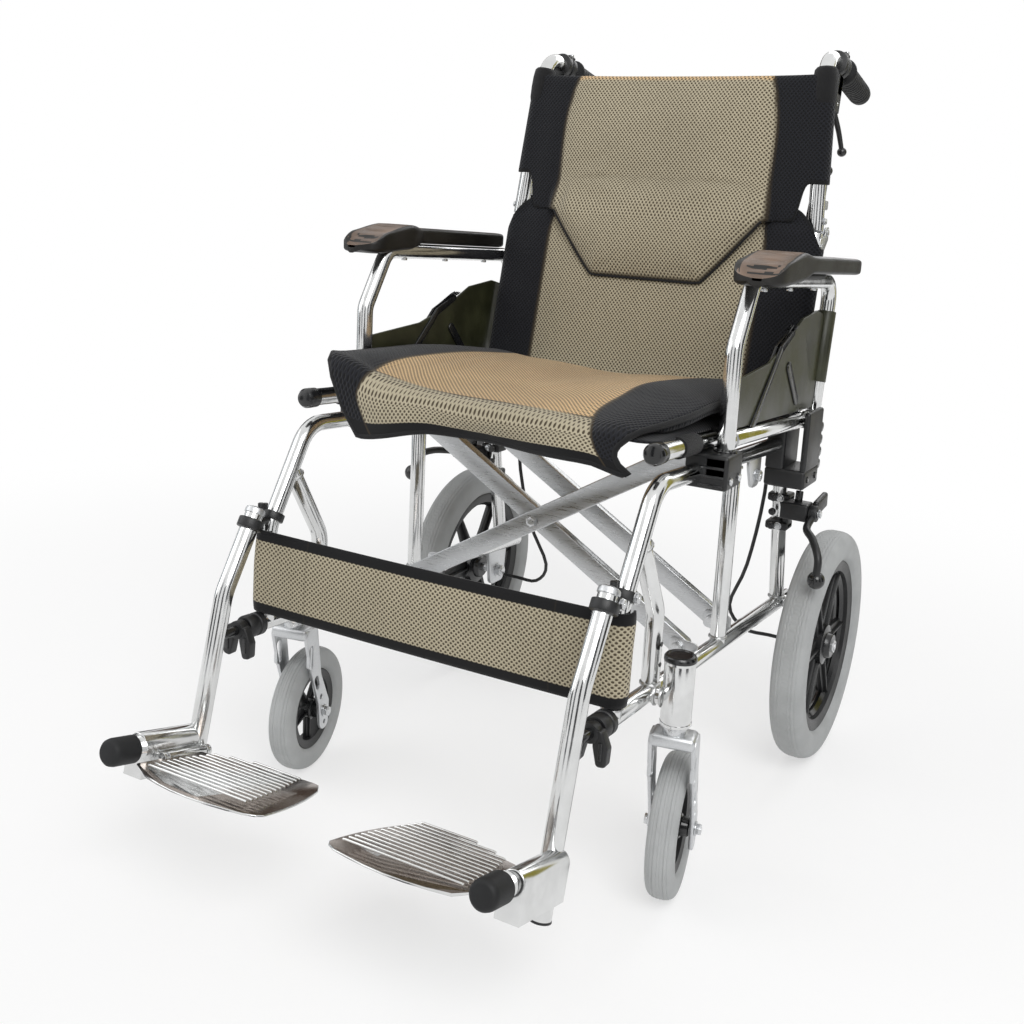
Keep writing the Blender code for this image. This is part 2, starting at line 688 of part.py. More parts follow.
def spoked_wheel(name, rim_outer, rim_inner, rim_width, hub_r, hub_width, bore_r, spokes, spoke_w, spoke_t,
                 centre, turn, segments):
    """A rim, a hub and straight spokes as one moulded body with a bored hub."""
    half = rim_width / 2
    rim = turned("rim", [(rim_inner, -half * 0.8), (rim_outer, -half), (rim_outer, half),
                         (rim_inner, half * 0.8)], segments, centre, turn)
    hub_half = hub_width / 2
    hub = turned("hub", [(bore_r, -hub_half), (hub_r, -hub_half), (hub_r, hub_half), (bore_r, hub_half)],
                 12, centre, turn)
    arms = []
    reach = (rim_outer + rim_inner) / 2
    start = hub_r * 0.7
    lay = Matrix.Translation(Vector(centre)) @ Matrix.Rotation(turn, 4, "Z")
    for i in range(spokes):
        arm = block("spoke", (-spoke_t / 2, -spoke_w / 2, start), (spoke_t / 2, spoke_w / 2, reach))
        arm.data.transform(lay @ Matrix.Rotation(2 * pi * (i + 0.5) / spokes, 4, "X"))
        arms.append(arm)
    wheel = join(rim, hub, *arms)
    wheel.name = name
    return wheel


def rear_wheel(side):
    centre = (side * REAR_WHEEL_X, REAR_WHEEL_Y, REAR_WHEEL_R)
    segments = 24
    tyre = turned("tyre", tyre_profile(tread_radius(REAR_WHEEL_R, segments), REAR_RIM_R + GAP,
                                       REAR_TYRE_W), segments, centre)
    wheel = spoked_wheel("hub", REAR_RIM_R, REAR_RIM_R - 0.014, REAR_TYRE_W * 0.70, REAR_HUB_R,
                         REAR_TYRE_W * 0.90, AXLE_R + 2 * GAP, REAR_SPOKES, 0.015, 0.016, centre, 0.0, segments)
    name = side_name(side)
    tyre = keep(tyre, f"rear_tyre_{name}", "grey_tyre", centre)
    wheel = keep(wheel, f"rear_wheel_{name}", "black_plastic", centre)
    hang_on(f"rear_wheel_axle_{name}", centre, [tyre, wheel])


# Casters

def caster_centre(side):
    """The caster wheel's centre, behind the stem by the trail."""
    return (side * CASTER_X - CASTER_TRAIL * sin(CASTER_TURN),
            CASTER_Y + CASTER_TRAIL * cos(CASTER_TURN), CASTER_R)


def caster_fork(side):
    """Two leg plates under an arched crown with the stem on top, modelled
    straight ahead at the stem and then turned."""
    leg_top = FORK_CROWN_Z
    outline = round_outline([(-0.016, leg_top), (0.016, leg_top), (0.028, CASTER_R + 0.052),
                             (CASTER_TRAIL + 0.013, CASTER_R + 0.005), (CASTER_TRAIL + 0.011, CASTER_R - 0.024),
                             (CASTER_TRAIL - 0.009, CASTER_R - 0.024), (CASTER_TRAIL - 0.014, CASTER_R + 0.010),
                             (0.002, CASTER_R + 0.062)], 0.009, 1)
    slot = [(y * 0.0045, leg_top - 0.036 + z) for y, z in
            ((-1, -0.010), (0, -0.014), (1, -0.010), (1, 0.010), (0, 0.014), (-1, 0.010))]
    hole = circle((CASTER_TRAIL - 0.012, CASTER_R + 0.036), 0.0045, 6)
    axle_hole = circle((CASTER_TRAIL, CASTER_R), CASTER_AXLE_R + 2 * GAP, 8)
    legs = [slab("leg", outline, FORK_PLATE_T, yz_plane(x), (slot, hole, axle_hole))
            for x in (-FORK_LEG_X, FORK_LEG_X)]
    half = FORK_LEG_X + FORK_PLATE_T / 2
    crown = block("crown", (-half + 0.0006, -0.0155, leg_top - 0.012), (half - 0.0006, 0.0155, leg_top + 0.002),
                  0.003, 1)
    washer = rod("washer", (0, 0, leg_top - 0.002), (0, 0, HOUSING_BOTTOM_Z - RUNNING_GAP), 0.0125, 12)
    stem = rod("stem", (0, 0, leg_top - 0.002), (0, 0, HOUSING_TOP_Z - 0.012), STEM_R, 12)
    fork = join(crown, washer, stem, *legs)
    place = Matrix.Translation((side * CASTER_X, CASTER_Y, 0))
    fork.data.transform(place @ Matrix.Rotation(CASTER_TURN, 4, "Z"))
    return fork


def caster(side):
    name = side_name(side)
    centre = Vector(caster_centre(side))
    stem = (side * CASTER_X, CASTER_Y, HOUSING_BOTTOM_Z)
    segments = 18
    tyre = turned("tyre", tyre_profile(tread_radius(CASTER_R, segments), CASTER_RIM_R + GAP,
                                       CASTER_TYRE_W), segments, centre, CASTER_TURN)
    wheel = spoked_wheel("wheel", CASTER_RIM_R, CASTER_RIM_R - 0.010, CASTER_TYRE_W * 0.70, 0.0130,
                         0.0370, CASTER_AXLE_R + 2 * GAP, 5, 0.009, 0.010, centre, CASTER_TURN, segments)
    across = Matrix.Rotation(CASTER_TURN, 3, "Z") @ Vector((1, 0, 0))
    half = FORK_LEG_X + FORK_PLATE_T / 2 + GAP
    bolt = rod("bolt", centre - across * (half + 0.005), centre + across * (half + 0.006), CASTER_AXLE_R, 8)
    head = rod("head", centre - across * half, centre - across * (half + 0.005), 0.0075, 8)
    nut = rod("nut", centre + across * half, centre + across * (half + 0.005), 0.0075, 6)
    fork = keep(caster_fork(side), f"caster_fork_{name}", "brushed_aluminium", stem)
    axle = keep(join(bolt, head, nut), f"caster_axle_{name}", "zinc", centre)
    tyre = keep(tyre, f"caster_tyre_{name}", "grey_tyre", centre)
    wheel = keep(wheel, f"caster_wheel_{name}", "black_plastic", centre)
    hang_on(f"caster_stem_{name}", stem, [fork, axle])
    hang_on(f"caster_axle_line_{name}", centre, [tyre, wheel])


# Folding cross

def bar_ends(side):
    """Bar from the lower pivot on one side to the seat rail on the other."""
    low = Vector((side * CROSS_PIVOT_X, CROSS_PIVOT_Z))
    high = Vector((-side * SEAT_RAIL_X, CROSS_PIVOT_Z + CROSS_RISE * (CROSS_PIVOT_X + SEAT_RAIL_X)))
    return low, high


def cross_bar(side, y):
    low, high = bar_ends(side)
    along = (high - low).normalized()
    aside = Vector((-along.y, along.x)) * BAR_WIDTH / 2
    tip = low - along * (BAR_WIDTH / 2)
    top = high - along * 0.004
    shoulder = top - along * BAR_SHOULDER
    outline = [tip + aside * 0.5, low + aside * 0.94 - along * 0.004, shoulder + aside, top + aside * 0.2,
               top - aside * 0.2, shoulder - aside, low - aside * 0.94 - along * 0.004, tip - aside * 0.5]
    centre = Vector((0.0, CROSS_PIVOT_Z + CROSS_RISE * CROSS_PIVOT_X))
    holes = [circle(low, BOLT_R + 2 * GAP, 8)]
    if side == RIGHT:
        holes.append(circle(centre, BOLT_R + 2 * GAP, 8))
    return slab("bar", outline, BAR_T, xz_plane(y), holes)


def cross(side):
    """Two bars and the seat rail that they carry on the far side.

    The bars that start on the right pass in front; the pivot bolts stay
    in the bars behind."""
    parts = []
    offset = BAR_T / 2 + GAP
    centre_z = CROSS_PIVOT_Z + CROSS_RISE * CROSS_PIVOT_X
    for y in (CROSS_FRONT_Y, CROSS_REAR_Y):
        bar_y = y + offset if side == LEFT else y - offset
        parts.append(cross_bar(side, bar_y))
        if side == LEFT:
            front = y - offset - BAR_T / 2 - GAP - BOLT_HEAD_T
            bolt_end = (0, bar_y + BAR_T / 2 + BOLT_HEAD_T, centre_z)
            parts.append(rod("bolt", (0, front, centre_z), bolt_end, BOLT_R, 8))
            parts.append(rod("head", (0, front, centre_z), (0, front + BOLT_HEAD_T, centre_z), BOLT_HEAD_R, 8))
            parts.append(rod("nut", (0, bar_y, centre_z), (0, bar_y + BAR_T / 2 + BOLT_HEAD_T, centre_z),
                             BOLT_HEAD_R, 6))
    x = -side * SEAT_RAIL_X
    rail = tube("rail", [(x, SEAT_RAIL_FRONT_Y, seat_rail(SEAT_RAIL_FRONT_Y)),
                         (x, SEAT_RAIL_REAR_Y, seat_rail(SEAT_RAIL_REAR_Y))], TUBE_R)
    name = "cross_" + ("b" if side == LEFT else "a")
    pivot = (side * CROSS_PIVOT_X, 0.0, CROSS_PIVOT_Z)
    return keep(join(rail, *parts), name, "brushed_aluminium", pivot)


# Front hangers

def hanger(side):
    name = side_name(side)
    x = side * HANGER_X
    top = Vector((x, hanger_y(HANGER_TOP_Z), HANGER_TOP_Z))
    route = rounded([top, (x, hanger_y(HANGER_KNEE_Z), HANGER_KNEE_Z),
                     (x, hanger_y(HANGER_FOOT_Z), HANGER_FOOT_Z)], HANGER_BEND_R, 5)
    post = tube("post", route, HANGER_R, 3)
    upward = Vector((0, LEG_RAKE, 1)).normalized()
    cap = rod("cap", top - upward * 0.0015, top + upward * 0.006, HANGER_R + 0.0012, 12)
    body = join(post, cap)
    body = keep(body, f"hanger_{name}", "polished_aluminium", top)
    return body


def hanger_lug(side):
    """Hinge lug that is welded to the leg and carries the hanger's tube in a ring."""
    x = side * HANGER_X
    z = HANGER_TOP_Z - LUG_BELOW
    upward = Vector((0, LEG_RAKE, 1)).normalized()
    ring_centre = Vector((x, hanger_y(z), z))
    foot = Vector((side * FRAME_X, leg_y(z), z))
    ring = rod("ring", ring_centre - upward * LUG_HALF, ring_centre + upward * LUG_HALF, HANGER_R + 0.0040, 14)
    arm_end = ring_centre - upward * 0.0015
    arm = rod("arm", foot, arm_end, 0.0045, 8)
    grip = rod("grip", foot - upward * LUG_GRIP_HALF, foot + upward * LUG_GRIP_HALF, TUBE_R + 0.0030, 12)
    lug = join(ring, arm, grip)
    bore = rod("bore", ring_centre - upward * 0.02, ring_centre + upward * 0.02, HANGER_R + 2 * GAP, 14)
    return cut(lug, bore)


def foot_frame(y, z):
    """A frame at a point of the foot assembly: +Y runs down its tilt to the rear."""
    return Matrix.Translation(Vector((0, y, z))) @ Matrix.Rotation(-FOOT_TILT, 4, "X")


def plate_height(y):
    return PLATE_Z - tan(FOOT_TILT) * (y - PLATE_Z_AT_Y)


def foot_block(side):
    """The arched housing over the hanger's foot, with the plate's hinge bar."""
    half = BLOCK_W / 2
    lay = foot_frame(BLOCK_FRONT_Y, BLOCK_TOP_Z)
    shell = block("shell", (side * BLOCK_X - half, 0.0, -BLOCK_DROP), (side * BLOCK_X + half, BLOCK_LENGTH, 0.0),
                  0.006, 2)
    shell.data.transform(lay)
    hinge = rod("hinge", hinge_point(side, 0.012), hinge_point(side, BLOCK_LENGTH - 0.012), 0.0035, 8)
    lugs = []
    for start in (0.010, BLOCK_LENGTH - 0.016):
        a, b = hinge_point(side, start), hinge_point(side, start + 0.006)
        lugs.append(rod("lug", a, b, 0.0065, 8))
        middle = (a + b) / 2
        web = block("web", (min(0, side * 0.0155), -0.0022, -0.0042), (max(0, side * 0.0155), 0.0022, 0.0042))
        web.data.transform(Matrix.Translation(middle) @ Matrix.Rotation(-FOOT_TILT, 4, "X"))
        lugs.append(web)
    shell = join(shell, hinge, *lugs)
    bore = tube("bore", [(side * HANGER_X, hanger_y(0.2), 0.2), (side * HANGER_X, hanger_y(0.05), 0.05)],
                HANGER_R + GAP, 3)
    return keep(cut(shell, bore), f"footplate_block_{side_name(side)}", "polished_aluminium")


def hinge_point(side, along):
    """A point of the plate's hinge line, at a distance from the block's front."""
    lay = foot_frame(BLOCK_FRONT_Y, 0.0)
    start = lay @ Vector((side * (PLATE_OUTER_X + 0.003), along, 0.0))
    start.z = plate_height(start.y) - PLATE_T * 0.30
    return start


def bumper(side):
    lay = foot_frame(BLOCK_FRONT_Y, BLOCK_TOP_Z)
    height = -0.014
    nose = lay @ Vector((side * HANGER_X, -COLLAR_LENGTH - BUMPER_LENGTH, height))
    joint = lay @ Vector((side * HANGER_X, -COLLAR_LENGTH, height))
    seat = lay @ Vector((side * HANGER_X, -GAP, height))
    collar = rod("collar", seat, joint + (joint - seat) * 0.3, COLLAR_R, 12)
    inside = (nose - joint).normalized()
    barrel = rod("barrel", joint, nose - inside * 0.003, BUMPER_R, 14)
    tip = rod("tip", nose - inside * 0.004, nose, BUMPER_R - 0.0022, 14)
    return keep(join(barrel, tip, collar), f"bumper_{side_name(side)}", "black_rubber")


def footplate(side):
    """A cast tray with a raised rim on its inner and front edges and ribs across."""
    name = side_name(side)
    corners = [(side * PLATE_INNER_X, PLATE_FRONT_Y), (side * PLATE_OUTER_X, PLATE_FRONT_Y + 0.004),
               (side * PLATE_OUTER_X, PLATE_REAR_Y - PLATE_REAR_CUT), (side * PLATE_INNER_X, PLATE_REAR_Y)]
    outline = round_outline(corners, 0.014, 3)
    tray = slab("tray", [(x, y - PLATE_Z_AT_Y) for x, y in outline], PLATE_T,
                foot_frame(PLATE_Z_AT_Y, PLATE_Z - PLATE_T / 2))
    lay = foot_frame(PLATE_Z_AT_Y, PLATE_Z)
    ribs = []
    span = (PLATE_REAR_Y - PLATE_FRONT_Y - 0.030) / PLATE_RIBS
    for i in range(PLATE_RIBS):
        y = PLATE_FRONT_Y + 0.016 + span * (i + 0.5)
        past = max(0.0, y - (PLATE_REAR_Y - PLATE_REAR_CUT - 0.006)) / PLATE_REAR_CUT
        outer = PLATE_OUTER_X - 0.012 - past * 0.80 * (PLATE_OUTER_X - PLATE_INNER_X)
        low_x, high_x = sorted((side * (PLATE_INNER_X + 0.010), side * outer))
        rib = block("rib", (low_x, y - PLATE_Z_AT_Y - span * 0.22, -0.001),
                    (high_x, y - PLATE_Z_AT_Y + span * 0.22, PLATE_RIB_T))
        rib.data.transform(lay)
        ribs.append(rib)
    knuckle = rod("knuckle", hinge_point(side, 0.0175), hinge_point(side, BLOCK_LENGTH - 0.0175), 0.0062, 8)
    body = join(tray, knuckle, *ribs)
    pin_bore = rod("pin_bore", hinge_point(side, 0.0), hinge_point(side, BLOCK_LENGTH), 0.0035 + 2 * GAP, 8)
    lug_room = [rod("lug_room", hinge_point(side, start - 0.0008), hinge_point(side, start + 0.0068), 0.0082, 8)
                for start in (0.010, BLOCK_LENGTH - 0.016)]
    body = cut(body, pin_bore, *lug_room)
    return keep(body, f"footplate_{name}", "polished_aluminium", hinge_point(side, 0.0))


def catch(side):
    """The collar plugged on the rail's front end, and the winged release lever."""
    name = side_name(side)
    x = side * FRAME_X
    back = LEG_FOOT_Y - TUBE_R - GAP - LOWER_SLOPE * CATCH_R
    low = lower_rail(back)
    forward = Vector((0, -1, LOWER_SLOPE)).normalized()
    start = Vector((x, back, low))
    body = rod("body", start, start + forward * CATCH_LENGTH, CATCH_R, 12)
    post_z = low + 0.004
    neck_end = start + forward * (back - hanger_y(post_z) - HANGER_R - 0.0012)
    neck = rod("neck", start + forward * (CATCH_LENGTH - 0.002), neck_end, CATCH_NECK_R, 8)
    body = keep(join(body, neck), f"catch_body_{name}", "black_plastic")
    ring_start = start + forward * (CATCH_LENGTH + RUNNING_GAP)
    ring_end = ring_start + forward * 0.012
    ring = rod("ring", ring_start, ring_end, 0.0100, 10)
    wings = []
    for way in (-1, 1):
        wing = block("wing", (x + way * 0.006 - 0.0045, ring_end.y, ring_end.z - WING_LENGTH),
                     (x + way * 0.020 - 0.0045, ring_start.y, ring_end.z + 0.002), 0.003, 1)
        wing.data.transform(Matrix.Translation((0.0045 - way * 0.0005, 0, 0)))
        wings.append(wing)
    lever = cut(join(ring, *wings), rod("bore", start, neck_end + forward * 0.01, CATCH_NECK_R + 2 * GAP, 8))
    lever = keep(lever, f"catch_lever_{name}", "black_plastic", ring_start)
    hang_on(f"catch_pivot_{name}", ring_start, [lever])
    return body


def hanger_side(side):
    name = side_name(side)
    pivot = (side * HANGER_X, hanger_y(HANGER_TOP_Z), HANGER_TOP_Z)
    things = [hanger(side), foot_block(side), bumper(side)]
    hang_on(f"hanger_pivot_{name}", pivot, things)
    plate = footplate(side)
    hang_on(f"footplate_pivot_{name}", hinge_point(side, 0.0), [plate])
    catch(side)


# Armrests

def arm_loop(side):
    """The armrest's tubes: front post, top rail, rear post and bottom rail."""
    x = side * ARM_X
    top_rear_z = ARM_TOP_Z - ARM_TOP_DROP * (ARM_REAR_Y - ARM_TOP_Y)
    route = rounded([(x, ARM_FRONT_Y, ARM_FOOT_Z), (x, ARM_FRONT_Y, ARM_KNEE_Z), (x, ARM_TOP_Y, ARM_TOP_Z),
                     (x, ARM_REAR_Y, top_rear_z), (x, ARM_REAR_FOOT_Y, arm_rail(ARM_REAR_FOOT_Y))], 0.026, 2)
    return route


def armrest(side):
    name = side_name(side)
    x = side * ARM_X
    loop = tube("loop", arm_loop(side), ARM_R, 2)
    rail = tube("rail", [(x, ARM_FRONT_Y, arm_rail(ARM_FRONT_Y)),
                         (x, ARM_REAR_FOOT_Y, arm_rail(ARM_REAR_FOOT_Y))], ARM_R - 0.0004, 2)
    eye_half = Vector((0.0088, 0, 0))
    eye_centre = Vector((x, ARM_PIVOT_Y, ARM_PIVOT_Z))
    eye = rod("eye", eye_centre - eye_half, eye_centre + eye_half, ARM_EYE_R, 14)
    bore = rod("bore", (x - 0.03, ARM_PIVOT_Y, ARM_PIVOT_Z), (x + 0.03, ARM_PIVOT_Y, ARM_PIVOT_Z),
               ARM_PIN_R + GAP, 12)
    body = cut(join(loop, rail, eye), bore)
    pivot = (x, ARM_PIVOT_Y, ARM_PIVOT_Z)
    body = keep(body, f"armrest_{name}", "polished_aluminium", pivot)
    hang_on(f"armrest_pivot_{name}", pivot, [body, arm_pad(side, pivot), skirt(side, pivot)])


def pad_height(y):
    """The underside of the pad, which lies on the top rail."""
    return ARM_TOP_Z - ARM_TOP_DROP * (y - ARM_TOP_Y) + ARM_R + GAP


def arm_pad(side, pivot):
    """A long pad with a broad paddle at its front."""
    x = side * PAD_X
    half, wide = PAD_W / 2, PADDLE_W / 2
    inner = x - side * half
    outline = [(inner, PAD_REAR_Y), (inner, PAD_STEP_Y), (x - side * wide, PAD_STEP_Y - 0.035),
               (x - side * wide, PAD_FRONT_Y + 0.004), (x + side * (half - 0.004), PAD_FRONT_Y),
               (x + side * half, PAD_STEP_Y), (x + side * half, PAD_REAR_Y)]
    ring = round_outline(outline, 0.014, 2)
    tilt = Matrix.Rotation(-atan(ARM_TOP_DROP), 4, "X")
    base = pad_height(0.0) + PAD_T / 2
    pad = slab("pad", ring, PAD_T, Matrix.Translation((0, 0, base)) @ tilt)
    bevel = pad.modifiers.new("edges", "BEVEL")
    bevel.width = 0.005
    bevel.segments = 1
    bevel.limit_method = "ANGLE"
    bevel.angle_limit = radians(50)
    return keep(pad, f"armrest_pad_{side_name(side)}", "black_rubber", pivot)


def skirt(side, pivot):
    """The side panel inside the armrest's tubes."""
    clear = ARM_R + GAP
    low = arm_rail(0.0) + clear
    corners = [(ARM_FRONT_Y + clear, arm_rail(ARM_FRONT_Y) + clear), (ARM_REAR_FOOT_Y - clear - 0.002, low - 0.013),
               (ARM_REAR_Y - 0.028, 0.585), (0.120, 0.565), (0.060, 0.545), (ARM_FRONT_Y + clear, 0.540)]
    panel = slab("panel", round_outline(corners, 0.006, 2), SKIRT_T, yz_plane(side * ARM_X))
    ridges = []
    for start in (0.020, 0.140):
        ridge = block("ridge", (-0.0045, -0.009, 0.0), (0.0045, 0.009, 0.072), 0.003, 1)
        ridge.data.transform(Matrix.Translation((side * (ARM_X + 0.001), start, 0.486))
                             @ Matrix.Rotation(radians(-32), 4, "X"))
        ridges.append(ridge)
    return keep(join(panel, *ridges), f"skirt_panel_{side_name(side)}", "black_plastic", pivot)


def front_socket(side):
    """Clamp on the upper rail: a cup for the armrest's foot and a cradle for the seat rail."""
    low_x, high_x = sorted((side * SOCKET_INNER_X, side * SOCKET_OUTER_X))
    top = arm_rail(SOCKET_REAR_Y) - ARM_R - 2 * GAP
    body = block("body", (low_x, SOCKET_FRONT_Y, SOCKET_BOTTOM_Z), (high_x, SOCKET_REAR_Y, top), 0.003, 1)
    rail_x = side * SEAT_RAIL_X
    cradle = tube("cradle", [(rail_x, -0.2, seat_rail(-0.2)), (rail_x, 0.1, seat_rail(0.1))], TUBE_R + GAP)
    reach = TUBE_R + GAP
    open_low, open_high = sorted((side * (SOCKET_INNER_X - 0.01), side * (SEAT_RAIL_X + reach)))
    opening = block("opening", (open_low, -0.2, seat_rail(SOCKET_REAR_Y)), (open_high, 0.1, 0.55))
    cup = rod("cup", (side * ARM_X, ARM_FRONT_Y, ARM_FOOT_Z - GAP), (side * ARM_X, ARM_FRONT_Y, 0.5),
              ARM_R + 0.0012, 10)
    body = cut(body, cradle, opening, cup, *frame_cutters(side, ["leg"]))
    return keep(body, f"front_socket_{side_name(side)}", "black_plastic")


def rear_block(side):
    """Clamp round the rear post and the cane's foot, with the armrest's clevis."""
    low_x, high_x = sorted((side * BLOCK_INNER_X, side * BLOCK_OUTER_X))
    body = block("body", (low_x, REAR_BLOCK_FRONT_Y, REAR_BLOCK_BOTTOM_Z),
                 (high_x, REAR_BLOCK_REAR_Y, REAR_BLOCK_TOP_Z), 0.004, 1)
    slot_low, slot_high = sorted((side * (ARM_X - ARM_R - 0.0006), side * (ARM_X + ARM_R + 0.0006)))
    slot = block("slot", (slot_low, REAR_BLOCK_FRONT_Y - 0.02, ARM_PIVOT_Z - ARM_EYE_R - RUNNING_GAP),
                 (slot_high, REAR_BLOCK_REAR_Y + 0.02, REAR_BLOCK_TOP_Z + 0.02))
    sweep = block("sweep", (slot_low, ARM_PIVOT_Y - ARM_EYE_R - 0.0015, ARM_PIVOT_Z - ARM_SWEEP),
                  (slot_high, REAR_BLOCK_REAR_Y + 0.02, REAR_BLOCK_TOP_Z + 0.02))
    cane = tube("cane", [(side * CANE_FOLD_X, cane_y(0.40), 0.40), (side * CANE_FOLD_X, cane_y(0.52), 0.52)],
                CANE_R + GAP, 3)
    knobs = []
    spacing = (REAR_BLOCK_TOP_Z - REAR_BLOCK_BOTTOM_Z - REAR_KNOB_TOP - REAR_KNOB_FOOT) / (REAR_KNOBS - 1)
    for index in range(REAR_KNOBS):
        knob_z = REAR_BLOCK_TOP_Z - REAR_KNOB_TOP - index * spacing
        knobs.append(rod("knob", (side * (BLOCK_INNER_X + 0.006), REAR_BLOCK_REAR_Y + 0.001, knob_z),
                         (side * (BLOCK_INNER_X + 0.021), REAR_BLOCK_REAR_Y + 0.001, knob_z),
                         spacing * REAR_KNOB_SHARE, 8))
    body = join(body, *knobs)
    body = cut(body, slot, sweep, cane, *frame_cutters(side, ["leg", "rear"]))
    pin_low, pin_high = sorted((side * (ARM_X - ARM_R - 0.0012), side * (ARM_X + ARM_R + 0.0050)))
    pin = rod("pin", (pin_low, ARM_PIVOT_Y, ARM_PIVOT_Z), (pin_high, ARM_PIVOT_Y, ARM_PIVOT_Z), ARM_PIN_R, 10)
    return keep(join(body, pin), f"rear_block_{side_name(side)}", "black_plastic")


# Back canes, handles and attendant brakes

def fold_pin(side):
    """The hinge pin of the folding back, behind the canes."""
    return Vector((side * CANE_FOLD_X, FOLD_Y + FOLD_PIN_BACK, FOLD_Z))


def lower_cane(side):
    x = side * CANE_FOLD_X
    top_z = FOLD_Z - FOLD_JOINT
    cane = tube("cane", [(x, CANE_FOOT_Y, CANE_FOOT_Z), (x, cane_y(top_z), top_z)], CANE_R, 3)
    pin = fold_pin(side)
    foot_z = FOLD_Z - 0.038
    ear_outline = round_outline([(cane_y(foot_z) - 0.0042, foot_z), (cane_y(foot_z) + 0.0042, foot_z),
                                 (pin.y + 0.0080, FOLD_Z - 0.009), (pin.y + 0.0075, FOLD_Z + 0.0075),
                                 (pin.y - 0.0072, FOLD_Z + 0.0075), (pin.y - 0.0072, FOLD_Z - 0.004),
                                 (FOLD_Y - 0.008, FOLD_Z - 0.006)], 0.004, 2)
    ear_x = CANE_R - 0.0009
    ears = [slab("ear", ear_outline, EAR_T, yz_plane(x + way * ear_x)) for way in (-1, 1)]
    half = ear_x + EAR_T / 2 + 0.0015
    pin_half = Vector((half - 0.0005, 0, 0))
    bolts = [rod("pin", pin - pin_half, pin + pin_half, FOLD_PIN_R, 8)]
    for bolt_y, bolt_z in ((pin.y, pin.z), (cane_y(FOLD_Z - 0.018), FOLD_Z - 0.018)):
        for way in (-1, 1):
            start, end = x + way * (ear_x - EAR_T / 4), x + way * half
            bolts.append(rod("head", (start, bolt_y, bolt_z), (end, bolt_y, bolt_z), 0.0052, 6))
    return keep(join(cane, *ears, *bolts), f"lower_cane_{side_name(side)}", "polished_aluminium")


def handle_route(side):
    """The upper cane from the fold to the end of the push handle."""
    top = Vector((side * CANE_TOP_X, CANE_TOP_Y, CANE_TOP_Z + HANDLE_RISE))
    end_z = top.z - GRIP_DROP * (GRIP_END_Y - CANE_TOP_Y) * 0.72
    end = Vector((side * CANE_TOP_X, GRIP_END_Y - 0.004, end_z))
    foot_z = FOLD_Z + FOLD_JOINT
    foot = Vector((side * cane_x(foot_z), cane_y(foot_z), foot_z))
    return foot, top, end


def latch_pivot(side):
    """The fold latch's pivot, on lugs behind the upper cane."""
    z = FOLD_Z + LATCH_ABOVE
    return Vector((side * cane_x(z), cane_y(z) + CANE_R + LATCH_BEHIND, z))


def upper_cane(side):
    """Cane and handle in one bent tube, with the hinge knuckle and the latch's lugs."""
    foot, top, end = handle_route(side)
    x = side * CANE_FOLD_X
    pin = fold_pin(side)
    cane = tube("cane", rounded([foot, top, end], HANDLE_BEND_R, 4), CANE_R - 0.0005, 3)
    half = Vector((KNUCKLE_HALF, 0, 0))
    knuckle = rod("knuckle", pin - half, pin + half, KNUCKLE_R, 10)
    web = block("web", (x - KNUCKLE_HALF + 0.0018, FOLD_Y + 0.004, FOLD_Z + FOLD_JOINT),
                (x + KNUCKLE_HALF - 0.0018, pin.y, FOLD_Z + 0.0150))
    web = cut(web, rod("room", pin - Vector((0.02, 0, 0)), pin + Vector((0.02, 0, 0)), KNUCKLE_R - 0.001, 8))
    latch = latch_pivot(side)
    front, back = latch.y - LATCH_BEHIND - 0.006, latch.y + 0.004
    low, high = latch.z - 0.006, latch.z + 0.006
    lug_outline = round_outline([(front, low), (back, low), (back, high), (front, high)], 0.003, 2)
    lugs = [slab("lug", lug_outline, EAR_T, yz_plane(latch.x + way * 0.0070)) for way in (-1, 1)]
    latch_pin = rod("latch_pin", latch - Vector((0.0078, 0, 0)), latch + Vector((0.0078, 0, 0)), LATCH_PIN_R, 8)
    bore = rod("bore", pin - Vector((0.03, 0, 0)), pin + Vector((0.03, 0, 0)), FOLD_PIN_R + 2 * GAP, 8)
    body = cut(join(cane, web, knuckle), bore)
    return keep(join(body, *lugs, latch_pin), f"upper_cane_{side_name(side)}", "polished_aluminium", pin)


def hand_grip(side):
    """The soft grip with its flange."""
    _, top, end = handle_route(side)
    along = (end - top).normalized()
    start = top + along * ((GRIP_START_Y - top.y) / along.y)
    body = rod("body", start, end + along * 0.004, GRIP_R, 12)
    flange = rod("flange", start, start + along * 0.004, GRIP_R + 0.003, 12)
    bore = rod("bore", start - along * 0.01, end + along * GAP, CANE_R - 0.0005 + 2 * GAP, 12)
    return keep(cut(join(body, flange), bore), f"hand_grip_{side_name(side)}", "black_rubber", fold_pin(side))


def brake_place(side):
    """Where the brake's clamp sits on the handle, and the way the handle runs."""
    _, top, end = handle_route(side)
    along = (end - top).normalized()
    return top + along * 0.052, along


